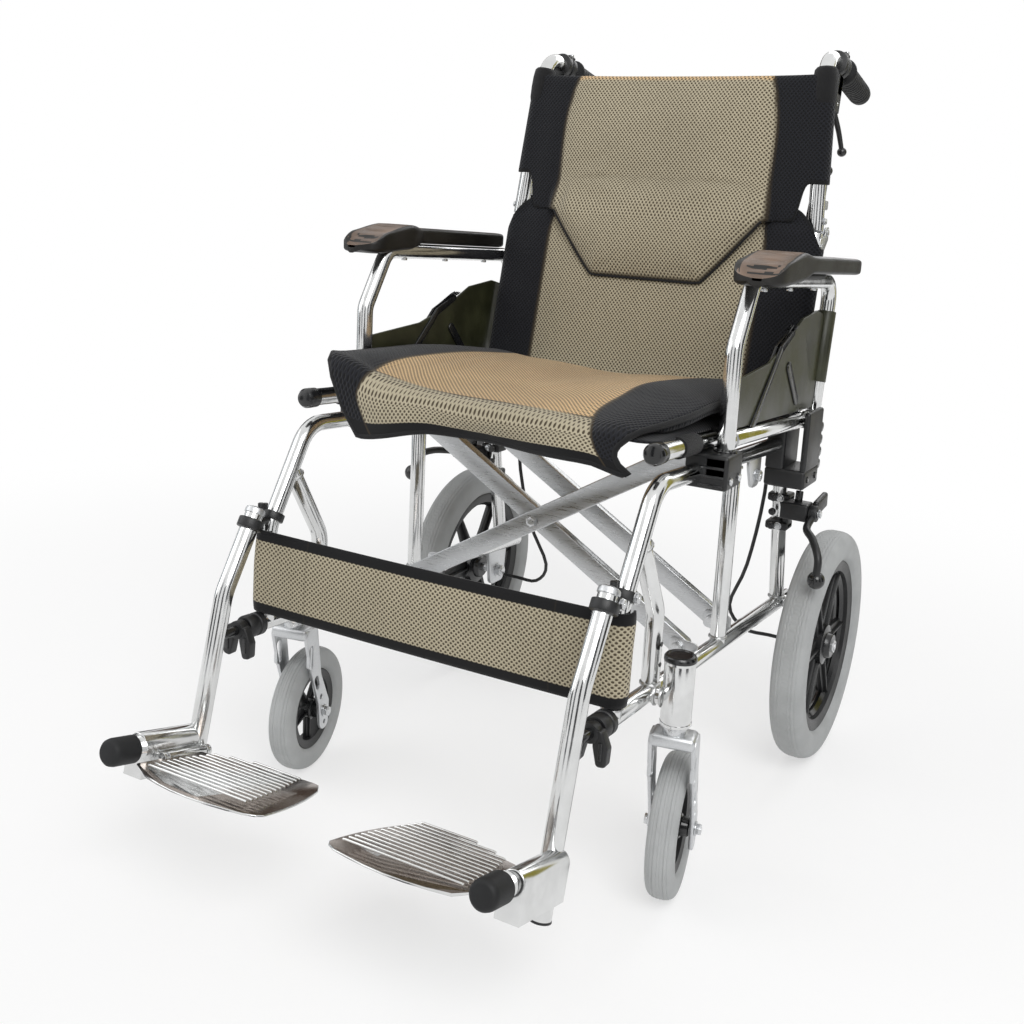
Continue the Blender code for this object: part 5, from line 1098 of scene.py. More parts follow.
# Half widths of the seat's pale middle and of its outer edge, from the flap's hem (0) to the rear (1)
SEAT_PALE = {
    RIGHT: curve((0, 0.119), (0.06, 0.133), (0.12, 0.143), (0.18, 0.138), (0.27, 0.148), (0.6, 0.151),
                 (1, 0.150)),
    LEFT: curve((0, 0.165), (0.07, 0.151), (0.15, 0.142), (0.25, 0.129), (0.42, 0.132), (0.65, 0.139),
                (1, 0.146)),
}
SEAT_OUTER = {
    RIGHT: curve((0, 0.139), (0.06, 0.160), (0.12, 0.174), (0.18, 0.191), (0.28, 0.210), (0.5, 0.216),
                 (1, 0.214)),
    LEFT: curve((0, 0.186), (0.05, 0.171), (0.12, 0.170), (0.2, 0.184), (0.30, 0.203), (0.45, 0.214),
                (1, 0.216)),
}
# Heights of the seat's top over its plane: down the middle, at the pale middle's sides, and at the outer edge
SEAT_MIDDLE_RISE = curve((0.17, 0.0035), (0.3, 0.0065), (0.6, 0.0100), (1, 0.0142))
SEAT_SIDE_RISE = {
    RIGHT: curve((0.17, 0.0185), (0.22, 0.0175), (0.32, 0.0255), (0.45, 0.0290), (0.7, 0.0296), (1, 0.0225)),
    LEFT: curve((0.17, -0.0035), (0.25, 0.0070), (0.36, 0.0175), (0.5, 0.0290), (0.75, 0.0290), (1, 0.0230)),
}
SEAT_EDGE_RISE = {
    RIGHT: curve((0.17, 0.0340), (0.3, 0.0290), (0.5, 0.0300), (0.7, 0.0310), (1, 0.0210)),
    LEFT: curve((0.17, -0.0060), (0.28, 0.0040), (0.4, 0.0130), (0.55, 0.0180), (1, 0.0170)),
}


def seat_plane(y):
    """The height that the seat's rises start from."""
    return seat_rail(y) + 0.0220


def seat_run(v):
    """Y, and the share of the drop to the hem, from the flap's hem to the rear edge."""
    flap, roll = 0.13, 0.20
    if v < flap:
        t = v / flap
        return SEAT_FRONT - 0.0085 + 0.0035 * t * t, 1.0 - 0.68 * t
    if v < roll:
        angle = (v - flap) / (roll - flap) * pi / 2
        return SEAT_FRONT - 0.005 + 0.022 * (1 - cos(angle)), 0.32 * (1 - sin(angle))
    start = SEAT_FRONT + 0.017
    return start + (SEAT_REAR - start) * (v - roll) / (1 - roll), 0.0


def seat_x(u, v):
    """Place across the seat, with the pale middle's edge at the same share all along."""
    across = 2 * u - 1
    side = LEFT if across > 0 else RIGHT
    pale, outer = SEAT_PALE[side](v), SEAT_OUTER[side](v)
    if abs(across) < PALE_SHARE:
        return side * (abs(across) / PALE_SHARE * pale)
    share = (abs(across) - PALE_SHARE) / (1 - PALE_SHARE)
    return side * (pale + share * (outer - pale))


def seat_rise(u, v):
    """Height of the seat's top over its plane."""
    across = 2 * u - 1
    side = LEFT if across > 0 else RIGHT
    v = max(v, 0.17)
    middle, flank, edge = SEAT_MIDDLE_RISE(v), SEAT_SIDE_RISE[side](v), SEAT_EDGE_RISE[side](v)
    share = abs(across) / PALE_SHARE
    if share < 1.0:
        thigh = 0.0030 * sin(pi * min(1.0, share)) ** 2 * blend(0.2, 0.4, v)
        return middle + (flank - middle) * share ** 2.2 + thigh
    share = (abs(across) - PALE_SHARE) / (1 - PALE_SHARE)
    return flank + (edge - flank) * share + 0.0035 * sin(pi * share)


def seat_drop(x):
    """How far the flap's hem hangs below the plane."""
    far_side = 0.0185 * blend(-0.035, -0.140, x)
    near_side = 0.0025 * blend(0.0, 0.09, x) + 0.0090 * blend(0.140, 0.186, x)
    return 0.0355 + far_side + near_side


def seat_padding(u, v):
    """Padding above and below the seat's middle surface."""
    across = abs(2 * u - 1)
    inside = min(1.0, max(0.0, (PALE_SHARE - across) / 0.24))
    edge = min(1.0, v / 0.10) * min(1.0, (1 - v) / 0.05)
    crown = (1 - (1 - inside) ** 2) * edge
    wing = sin(pi * min(1.0, max(0.0, (across - PALE_SHARE) / (1 - PALE_SHARE)))) * edge
    on_rails = blend(0.20, 0.30, v)
    return 0.0030 + 0.0080 * crown + 0.0045 * wing * on_rails, 0.0030 + 0.0080 * on_rails * edge


def seat_middle(u, v):
    """A point of the seat's middle surface."""
    x = seat_x(u, v)
    y, drop = seat_run(v)
    if v < 0.2:
        y += 0.0040 * cos(22.0 * x) * (1 - v / 0.2) + 0.0035 * sin(34.0 * x + 0.6) * blend(0.16, 0.0, v)
    rise = seat_rise(u, v) - seat_padding(u, v)[0] * (1 - drop)
    return Vector((x, y, seat_plane(y) + rise * (1 - drop) - seat_drop(x) * drop))


def seat():
    """Seat cushion: warm top, khaki front roll and flap, black wings over the rails, bound hems."""

    def chart(u, v):
        y, drop = seat_run(v)
        return seat_x(u, v), y + 0.050 * drop

    def marks(u, v):
        across = abs(2 * u - 1)
        side = LEFT if u > 0.5 else RIGHT
        gap = (across - PALE_SHARE) * SEAT_PALE[side](v) / PALE_SHARE
        seam_line = 0.198 + 0.008 * cos(2 * pi * u)
        front_seam = abs(v - seam_line) * 0.46
        # seam darkens the wing seams and the front seam: the stitched line, with painted shade in its groove.
        seam = min(abs(gap) * 1.5, front_seam * 1.6 if gap < 0 else 1.0)
        sewn = abs(gap) < 0.006 or across > 0.84 or v < 0.012 or v > 0.988 or front_seam < 0.005
        return {"wing": gap, "seam": seam, "hem": v * 0.26 if v < 0.1 else 1.0,
                "top": blend(seam_line - 0.008, seam_line + 0.008, v), "pin": 1.0 if sewn else 0.0}

    def web(side):
        """The black webbing that ties one side of the cushion to its rail."""

        def across_web(u, v):
            y = -0.182 + 0.345 * u
            along = 0.22 + 0.76 * u
            top = seat_middle(0.5 + side * 0.37, along) - Vector((0, 0, 0.0085))
            low = Vector((side * (SEAT_RAIL_X - 0.002), y, seat_rail(y) + sizes().frame_radius))
            bulge = Vector((side * 0.006, 0, -0.004)) * sin(pi * v)
            return low + (Vector((top.x, y, top.z)) - low) * v + bulge

        def still(u, v):
            return {"wing": 1.0, "seam": 1.0, "hem": 1.0, "top": 0.0, "pin": 1.0}

        return soft_panel(f"seat_web_{SIDES[side]}", 40, 8, across_web, lambda u, v: (0.0010, 0.0010),
                          lambda u, v: (0.06 * v, 0.345 * u), still, "seat_mesh")[0]

    thing, pins = soft_panel("seat_cushion", 100, 84, seat_middle, seat_padding, chart, marks, "seat_mesh")
    settle(thing, pins, 2.0, sizes().puff * 0.5)
    refine(thing)
    edge = [seat_middle(0.0, 1 - i / 30) for i in range(31)]
    edge += [seat_middle(i / 30, 0.0) for i in range(1, 31)]
    edge += [seat_middle(1.0, i / 30) for i in range(1, 31)]
    bound = soft_tube("seat_binding", edge, sizes().binding)
    for item in (thing, bound, web(LEFT), web(RIGHT)):
        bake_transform(item)
        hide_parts("seat")
    return thing


# The calf strap

STRAP_LONG, STRAP_TALL, STRAP_FOOT_Z = 0.481, 0.092, 0.252


def strap_point(u, v):
    """A point of the calf strap, which wraps back round each front leg."""
    z = STRAP_FOOT_Z + STRAP_TALL * v
    y = leg_y(z) + 0.0030 * blend(0.30, 0.345, z)
    across = 2 * u - 1
    wrap = sizes().frame_radius + 0.0032
    if abs(across) <= FLAT_SHARE:
        t = across / FLAT_SHARE
        return Vector((t * FRAME_X, y - wrap + 0.004 * (1 - t * t), z - 0.003 * (1 - t * t)))
    angle = (abs(across) - FLAT_SHARE) / (1 - FLAT_SHARE) * radians(121)
    way = 1 if across > 0 else -1
    return Vector((way * (FRAME_X + wrap * sin(angle)), y - wrap * cos(angle), z))


def calf_strap():
    """A broad mesh band behind the calves, bound in black and looped round both legs."""

    def along(u):
        return run_x(2 * u - 1, FRAME_X, 0.027)

    def chart(u, v):
        return along(u), STRAP_TALL * v

    def marks(u, v):
        rim = min(v, 1 - v) * STRAP_TALL
        loop = abs(abs(along(u)) - 0.150)
        # seam darkens a line where each loop is sewn: the stitched line, with painted shade in its groove.
        return {"wing": -1.0, "seam": 0.0026 + loop, "hem": rim * 0.95, "top": 0.0, "pin": 1.0}

    def depth(u, v):
        rim = min(v, 1 - v) * STRAP_TALL
        swell = 1 - (1 - min(1.0, rim / 0.016)) ** 2
        return 0.0012 + 0.0012 * swell, 0.0014

    thing, _ = soft_panel("calf_strap_band", 110, 22, strap_point, depth, chart, marks, "strap_mesh")
    pieces = hang(thing, "calf_strap", ("left_frame", "right_frame"), STRAP_CUT)


# Frames, wheels and fittings

def frame_routes(side):
    """The axes of the tubes that one side frame is welded from."""
    x = side * FRAME_X
    tube_r = sizes().frame_radius
    leg = rounded([(x, POST_TOP_Y, upper_rail(POST_TOP_Y)), (x, LEG_TOP_Y, upper_rail(LEG_TOP_Y)),
                   (x, leg_y(LEG_KNEE_Z), LEG_KNEE_Z), (x, LEG_FOOT_Y, lower_rail(LEG_FOOT_Y))], LEG_BEND)
    front_y = LEG_FOOT_Y - tube_r
    lower = [(x, front_y, lower_rail(front_y)), (x, RAIL_END_Y, lower_rail(RAIL_END_Y))]
    mid = [(x, MID_POST_Y, lower_rail(MID_POST_Y)), (x, MID_POST_Y, upper_rail(MID_POST_Y))]
    rear = [(x, POST_FOOT_Y, lower_rail(POST_FOOT_Y)), (x, POST_TOP_Y, upper_rail(POST_TOP_Y) + tube_r)]
    brace = rounded([(x, leg_y(BRACE_TOP_Z), BRACE_TOP_Z), (x, BRACE_Y, BRACE_KNEE_Z),
                     (x, BRACE_Y, lower_rail(BRACE_Y))], LEG_BEND)
    return leg, lower, mid, rear, brace


def cross_brackets(piece, side):
    """The plates on the lower rail that carry the cross bars' lower pivots."""
    shift = BAR_T / 2 + GAP
    for y in CROSS_LINES:
        bar_y = y + side * shift
        plate_y = bar_y - BAR_T / 2 - GAP - 0.0015
        x, z = side * CROSS_PIVOT.x, CROSS_PIVOT.z
        corners = [(x - side * 0.011, z - 0.011), (side * FRAME_X, z - 0.015),
                   (side * FRAME_X, z + 0.008), (x - side * 0.011, z + 0.011)]
        piece.add(plate(round_outline(corners, 0.006), 0.003, xz_plane(plate_y)), 3)
        end = bar_y + BAR_T / 2 + GAP + 0.004
        piece.add(rod((x, plate_y - 0.002, z), (x, end, z), 0.004), 4)
        piece.add(hex_bolt((x, plate_y - 0.0015, z), (x, plate_y - 0.0058, z), 0.0070), 4)
        piece.add(hex_bolt((x, end - 0.004, z), (x, end, z), 0.0070), 4)


def hanger_lug(piece, side):
    """Hinge lug on the leg, with its bolts, that carries the hanger's head."""
    x = side * HANGER_X
    z = HANGER_TOP_Z - 0.0115
    upward = Vector((0, LEG_RAKE, 1)).normalized()
    centre = Vector((x, hanger_y(z), z))
    foot = Vector((side * FRAME_X, leg_y(z), z))
    piece.add(rod(centre - upward * 0.0055, centre + upward * 0.0055, sizes().hanger_radius + 0.004, 32,
                  0.0012), 2)
    piece.add(rod(foot, centre - upward * 0.0015, 0.0045), 2)
    piece.add(rod(foot - upward * 0.0045, foot + upward * 0.0045, sizes().frame_radius + 0.003, 32, 0.001), 2)
    out = Vector((side, 0, 0))
    for place in (centre + Vector((0, 0.010, 0.002)), foot):
        start = place + out * (sizes().frame_radius + 0.0022)
        piece.add(hex_bolt(start, start + out * 0.0042, 0.0052), 4)


def side_frame(side):
    """The welded side frame with its beads, caster housing, axle plate and brackets."""
    name = SIDES[side]
    piece = Piece(f"frame_{name}", "polished_tube", "weld_metal", "moulded_black", "cast_plate", "zinc_bolt",
                  "gloss_black")
    x = side * FRAME_X
    tube_r = sizes().frame_radius
    for route in frame_routes(side):
        piece.add(pipe(route, tube_r, 28))
    upright = (0, 0, 1)
    for centre, axis in (((x, MID_POST_Y, upper_rail(MID_POST_Y) - tube_r), upright),
                         ((x, MID_POST_Y, lower_rail(MID_POST_Y) + tube_r), upright),
                         ((x, post_y(0.212), 0.2120), upright), ((x, LEG_FOOT_Y, 0.2480), upright),
                         ((x, BRACE_Y, lower_rail(BRACE_Y) + tube_r), upright),
                         ((x, leg_y(BRACE_TOP_Z) + 0.006, 0.397), (0, 0.6, -1))):
        piece.add(weld_bead(centre, axis, tube_r + 0.0002), 1)
    stem_x, stem_y = side * CASTER_STEM.x, CASTER_STEM.y
    piece.add(rod((stem_x, stem_y, 0.2070), (stem_x, stem_y, 0.2746), 0.0158, 40, 0.0012))
    for z in (0.2082, 0.2734):
        piece.add(lathe([(0.0150, -0.0016), (0.0163, -0.0014), (0.0163, 0.0014), (0.0150, 0.0016)], 40,
                        Matrix.Translation((stem_x, stem_y, z))))
    cap = [(0.0, 0.0), (0.0166, 0.0), (0.0168, 0.0012), (0.0164, 0.0040), (0.0150, 0.0056), (0.0125, 0.0060),
           (0.0115, 0.0050), (0.0, 0.0046)]
    piece.add(lathe(cap, 40, Matrix.Translation((stem_x, stem_y, 0.2746)), closed=False), 5)
    rail_z = lower_rail(stem_y)
    piece.add(rod((x, stem_y, rail_z), (stem_x, stem_y, rail_z), tube_r - 0.0005, 28))
    piece.add(weld_bead((x + side * tube_r, stem_y, rail_z), (1, 0, 0), tube_r), 1)
    piece.add(weld_bead((stem_x - side * 0.0155, stem_y, rail_z), (1, 0, 0), tube_r), 1)
    plate_x = side * AXLE_PLATE_X
    foot = lower_rail(REAR_WHEEL.y) + 0.004
    low = REAR_WHEEL.z - 0.019
    outline = round_outline([(REAR_WHEEL.y - 0.030, foot), (REAR_WHEEL.y + 0.026, foot),
                             (REAR_WHEEL.y + 0.019, low), (REAR_WHEEL.y - 0.019, low)], 0.010)
    piece.add(plate(outline, 0.006, yz_plane(plate_x)), 3)
    axle_y, rail_z = REAR_WHEEL.y, lower_rail(REAR_WHEEL.y)
    piece.add(rod((x, axle_y, rail_z), (plate_x, axle_y, rail_z),
                  tube_r - 0.001), 0)
    axle_out = side * (REAR_WHEEL.x + 0.022)
    piece.add(rod((plate_x - side * 0.013, *REAR_WHEEL.yz), (axle_out, *REAR_WHEEL.yz), 0.006), 4)
    piece.add(hex_bolt((plate_x - side * 0.003, *REAR_WHEEL.yz), (plate_x - side * 0.011, *REAR_WHEEL.yz),
                       0.0092), 4)
    piece.add(hex_bolt((axle_out - side * 0.0065, *REAR_WHEEL.yz), (axle_out, *REAR_WHEEL.yz), 0.0088), 4)
    tab_y, tab_z = 0.118, upper_rail(0.118)
    outline = round_outline([(tab_y - 0.036, tab_z), (tab_y + 0.016, tab_z), (tab_y + 0.016, tab_z - 0.044),
                             (tab_y - 0.014, tab_z - 0.044)], 0.012)
    piece.add(plate(outline, 0.004, yz_plane(x)), 3)
    for start, end in ((0.002, 0.008), (-0.002, -0.006)):
        start_x, end_x, bolt_z = x + side * start, x + side * end, tab_z - 0.030
        piece.add(hex_bolt((start_x, tab_y, bolt_z), (end_x, tab_y, bolt_z), 0.0072), 4)
    hanger_lug(piece, side)
    cross_brackets(piece, side)
    for z in (0.262, 0.284):
        start, end = x + side * (tube_r - 0.0006), x + side * (tube_r + 0.0003)
        piece.add(rod((start, BRACE_Y, z), (end, BRACE_Y, z), 0.0026, 12, 0.0), 2)
    end_z = lower_rail(RAIL_END_Y)
    piece.add(rod((x, RAIL_END_Y - 0.0002, end_z), (x, RAIL_END_Y + 0.0012, end_z), tube_r - 0.0007), 2)
    piece.done(f"{name}_frame", f"side_frame_{name}")


def crown_point(angle, inner, radius, half):
    """A point of a tyre's rounded section: its radius and its place across."""
    core = inner + (radius - inner) * 0.45
    up, out = cos(angle), sin(angle)
    reach = (radius - core) * (abs(up) ** 0.62) * (1 if up > 0 else -1)
    return core + reach, half * (abs(out) ** 0.80) * (1 if out > 0 else -1)


def tyre(name, centre, radius, inner, width, steps, waves, lines, depth, lay, body, node):
    """A tyre with a rounded section and moulded lines round its tread, straight or waved."""
    half = width / 2
    span = radians(118)
    count = 72
    angles = [span * (2 * (i / count) - 1) for i in range(count + 1)]
    crown = [crown_point(angle, inner, radius, half) for angle in angles]
    part = lathe([(inner, -half * 0.66), *crown, (inner, half * 0.66)], steps, Matrix())
    for vert in part.verts:
        reach = hypot(vert.co.x, vert.co.y)
        if reach < inner + (radius - inner) * 0.5:
            continue
        turn = atan2(vert.co.y, vert.co.x)
        sunk = 0.0
        for line, sway, share in lines:
            at = line + sway * sin(waves * turn)
            sunk += share * max(0.0, 1 - abs(vert.co.z / half - at) / 0.050)
        scale = (reach - depth * min(1.0, sunk)) / reach
        vert.co.x *= scale
        vert.co.y *= scale
    piece = Piece(name, "grey_rubber")
    piece.add(part, 0, Matrix.Translation(Vector(centre)) @ lay)
    piece.done(body, node)


def spoke(reach_in, reach_out, wide_in, wide_out, thick, rib):
    """One moulded spoke along +Z, tapering outwards, with a rib down its face."""
    outline = [(-wide_in / 2, reach_in), (wide_in / 2, reach_in), (wide_out / 2, reach_out),
               (-wide_out / 2, reach_out)]
    arm = plate(outline, thick, yz_plane(0.0), bevel=0.0010)
    merge(arm, block((-rib, -0.0016, reach_in), (rib, 0.0016, reach_out), 0.0009, 2))
    return arm


def rear_wheel(side):
    """Rear tyre with its waved tread, and the moulded wheel with six spokes."""
    name = SIDES[side]
    centre = Vector((side * REAR_WHEEL.x, REAR_WHEEL.y, REAR_WHEEL.z))
    lay = Matrix.Rotation(pi / 2, 4, "Y")
    waved = [(-0.40, 0.030, 1.0), (-0.20, 0.045, 1.0), (0.0, 0.035, 1.0), (0.20, 0.045, 1.0),
             (0.40, 0.030, 1.0),
             (-0.62, 0.0, 0.7), (0.62, 0.0, 0.7), (0.10, 0.060, 0.5), (-0.10, 0.060, 0.5)]
    tyre(f"tyre_rear_{name}", centre, 0.1525, 0.1143, 0.042, 560, 88, waved, 0.0010, lay,
         f"rear_wheel_{name}", f"rear_tyre_{name}")
    piece = Piece(f"wheel_rear_{name}", "moulded_black", "gloss_black")
    at = Matrix.Translation(centre)
    half = 0.0147
    rim = [(0.1000, -half * 0.80), (0.1120, -half), (0.1142, -half * 0.95), (0.1142, half * 0.95),
           (0.1120, half),
           (0.1000, half * 0.80), (0.0992, half * 0.35), (0.1020, 0.0), (0.0992, -half * 0.35)]
    piece.add(lathe(rim, 96, at @ lay))
    hub = [(0.0065, -0.0189), (0.0150, -0.0189), (0.0165, -0.0175), (0.0180, -0.0120), (0.0265, -0.0100),
           (0.0270, 0.0), (0.0265, 0.0100), (0.0180, 0.0120), (0.0165, 0.0175), (0.0150, 0.0189),
           (0.0065, 0.0189)]
    piece.add(lathe(hub, 48, at @ lay), 1)
    for i in range(6):
        turn = Matrix.Rotation(2 * pi * (i + 0.5) / 6, 4, "X")
        piece.add(spoke(0.0240, 0.1030, 0.0240, 0.0125, 0.0070, 0.0080), 0, at @ turn)
    for way in (-1, 1):
        ring = [(0.0940, way * 0.0020), (0.1005, way * 0.0030), (0.1005, way * 0.0060),
                (0.0985, way * 0.0066)]
        piece.add(lathe(ring, 72, at @ lay), 1)
    piece.done(f"rear_wheel_{name}", f"rear_wheel_{name}")


def caster(side):
    """Caster fork with its slots, axle bolt, ribbed tyre and moulded wheel."""
    name = SIDES[side]
    turn = Matrix.Rotation(CASTER_TURN, 4, "Z")
    stem = Matrix.Translation((side * CASTER_STEM.x, CASTER_STEM.y, 0)) @ turn
    piece = Piece(f"fork_{name}", "cast_plate", "zinc_bolt", "polished_tube")
    top = 0.196
    outline = round_outline([(-0.0155, top), (0.0155, top), (0.027, CASTER_R + 0.052),
                             (CASTER_TRAIL + 0.0125, CASTER_R + 0.010),
                             (CASTER_TRAIL + 0.0105, CASTER_R - 0.024),
                             (CASTER_TRAIL - 0.0085, CASTER_R - 0.024),
                             (CASTER_TRAIL - 0.0135, CASTER_R + 0.012),
                             (0.002, CASTER_R + 0.062)], 0.0093)
    slot = round_outline([(-0.0050, top - 0.052), (0.0050, top - 0.052), (0.0050, top - 0.022),
                          (-0.0050, top - 0.022)],
                         0.0046)
    slant = Matrix.Rotation(radians(24), 2)
    oval = []
    for y, z in round_outline([(-0.0048, -0.0095), (0.0048, -0.0095), (0.0048, 0.0095), (-0.0048, 0.0095)],
                              0.0045):
        spot = slant @ Vector((y, z))
        oval.append((spot.x + 0.0165, spot.y + CASTER_R + 0.0445))
    holes = [slot, oval, circle((CASTER_TRAIL - 0.0085, CASTER_R + 0.0220), 0.0033, 16),
             circle((CASTER_TRAIL + 0.001, CASTER_R - 0.0150), 0.0028, 16)]
    for x in (-0.022, 0.022):
        piece.add(plate(outline, 0.0045, yz_plane(x), holes, 0.0009), 0, stem)
    half = 0.0235
    piece.add(block((-half, -0.0155, top - 0.0125), (half, 0.0155, top + 0.0020), 0.0055, 4), 0, stem)
    piece.add(rod((0, 0, top), (0, 0, 0.2060), 0.0125, 32, 0.0010), 1, stem)
    piece.add(rod((0, 0, top), (0, 0, 0.2600), 0.0095, 24), 1, stem)
    piece.done(f"caster_swivel_{name}", f"caster_fork_{name}")
    centre = stem @ Vector((0, CASTER_TRAIL, CASTER_R))
    piece = Piece(f"caster_bolt_{name}", "zinc_bolt")
    across = turn.to_3x3() @ Vector((1, 0, 0))
    half = 0.0246
    piece.add(rod(centre - across * (half + 0.003), centre + across * (half + 0.0065), 0.004))
    piece.add(hex_bolt(centre - across * half, centre - across * (half + 0.005), 0.0064))
    piece.add(hex_bolt(centre + across * half, centre + across * (half + 0.0062), 0.0064))
    piece.done(f"caster_swivel_{name}", f"caster_axle_{name}")
    at = Matrix.Translation(centre) @ turn
    lay = Matrix.Rotation(pi / 2, 4, "Y")
    straight = [(line, 0.0, 1.0) for line in (-0.62, -0.36, -0.12, 0.12, 0.36, 0.62)]
    tyre(f"tyre_caster_{name}", centre, CASTER_R, 0.0503, 0.030, 120, 0, straight, 0.0008, turn @ lay,
         f"caster_roll_{name}", f"caster_tyre_{name}")
    piece = Piece(f"wheel_caster_{name}", "moulded_black", "gloss_black")
    rim = [(0.0400, -0.0084), (0.0490, -0.0105), (0.0502, -0.0098), (0.0502, 0.0098), (0.0490, 0.0105),
           (0.0400, 0.0084), (0.0394, 0.0)]
    piece.add(lathe(rim, 72, at @ lay))
    hub = [(0.0045, -0.0184), (0.0088, -0.0184), (0.0100, -0.0172), (0.0108, -0.0105), (0.0130, -0.0090),
           (0.0130, 0.0090), (0.0108, 0.0105), (0.0100, 0.0172), (0.0088, 0.0184), (0.0045, 0.0184)]
    piece.add(lathe(hub, 36, at @ lay), 1)
    for i in range(5):
        piece.add(spoke(0.0110, 0.0420, 0.0130, 0.0085, 0.0050, 0.0050), 0,
                  at @ Matrix.Rotation(2 * pi * (i + 0.5) / 5, 4, "X"))
    piece.done(f"caster_roll_{name}", f"caster_wheel_{name}")


def cross(side):
    """Two flat bars, their bolts, and the seat rail that they carry on the far side."""
    name = "b" if side == LEFT else "a"
    piece = Piece(f"cross_bars_{name}", "brushed_bar", "zinc_bolt", "polished_tube", "gloss_black",
                  "moulded_black",
                  "binding_tape")
    low = Vector((side * CROSS_PIVOT.x, CROSS_PIVOT.z))
    high = Vector((-side * SEAT_RAIL_X, CROSS_PIVOT.z + CROSS_RISE * (CROSS_PIVOT.x + SEAT_RAIL_X)))
    along = (high - low).normalized()
    aside = Vector((-along.y, along.x)) * 0.0125
    tip, top = low - along * 0.0125, high - along * 0.004
    shoulder = top - along * 0.012
    outline = [tip + aside * 0.5, low + aside * 0.94 - along * 0.004, shoulder + aside, top + aside * 0.2,
               top - aside * 0.2, shoulder - aside, low - aside * 0.94 - along * 0.004, tip - aside * 0.5]
    offset = BAR_T / 2 + GAP
    centre_z = CROSS_PIVOT.z + CROSS_RISE * CROSS_PIVOT.x
    for y in CROSS_LINES:
        bar_y = y + side * offset
        piece.add(plate([tuple(p) for p in outline], BAR_T, xz_plane(bar_y), bevel=0.0012, segments=3))
        if side == LEFT:
            front = y - 2 * offset - GAP
            piece.add(rod((0, front - 0.003, centre_z), (0, bar_y + 0.0095, centre_z), 0.004), 1)
            piece.add(hex_bolt((0, front, centre_z), (0, front - 0.004, centre_z), 0.0064), 1)
            piece.add(hex_bolt((0, bar_y + BAR_T / 2, centre_z), (0, bar_y + 0.0095, centre_z), 0.0064), 1)
    x = -side * SEAT_RAIL_X
    front, rear = -0.201, 0.185
    tube_r = sizes().frame_radius
    piece.add(pipe([(x, front, seat_rail(front)), (x, rear, seat_rail(rear))], tube_r, 28), 2)
    for low_y, high_y in ((-0.140, -0.094), (-0.038, 0.160)):
        sleeve = pipe([(x, low_y, seat_rail(low_y)), (x, high_y, seat_rail(high_y))], tube_r + 0.0020, 24)
        piece.add(sleeve, 5)
    forward = Vector((0, -1, UPPER_SLOPE)).normalized()
    for y, way in ((front, 1), (rear, -1)):
        at = Vector((x, y, seat_rail(y)))
        plug = [(0.0, 0.0072), (0.0050, 0.0070), (0.0090, 0.0056), (0.0112, 0.0022), (0.0114, -0.0040),
                (0.0112, -0.0125), (0.0097, -0.0128), (0.0, -0.0128)]
        turn = (forward * way).to_track_quat("Z", "Y").to_matrix().to_4x4()
        piece.add(lathe(plug, 32, Matrix.Translation(at - forward * way * 0.004) @ turn, closed=False), 3)
    piece.done("cross_bars_rear" if side == LEFT else "cross_bars_front", f"cross_{name}")


def foot_frame(y, z):
    """A frame at a point of the foot assembly: +Y runs down its tilt to the rear."""
    return Matrix.Translation(Vector((0, y, z))) @ Matrix.Rotation(-FOOT_TILT, 4, "X")


def hinge_point(side, along):
    """A point of the footplate's hinge line, at a distance from the block's front."""
    start = foot_frame(FOOT_FRONT_Y, 0.0) @ Vector((side * (FRAME_X - 0.0165), along, 0.0))
    start.z = plate_height(start.y) - 0.0024
    return start


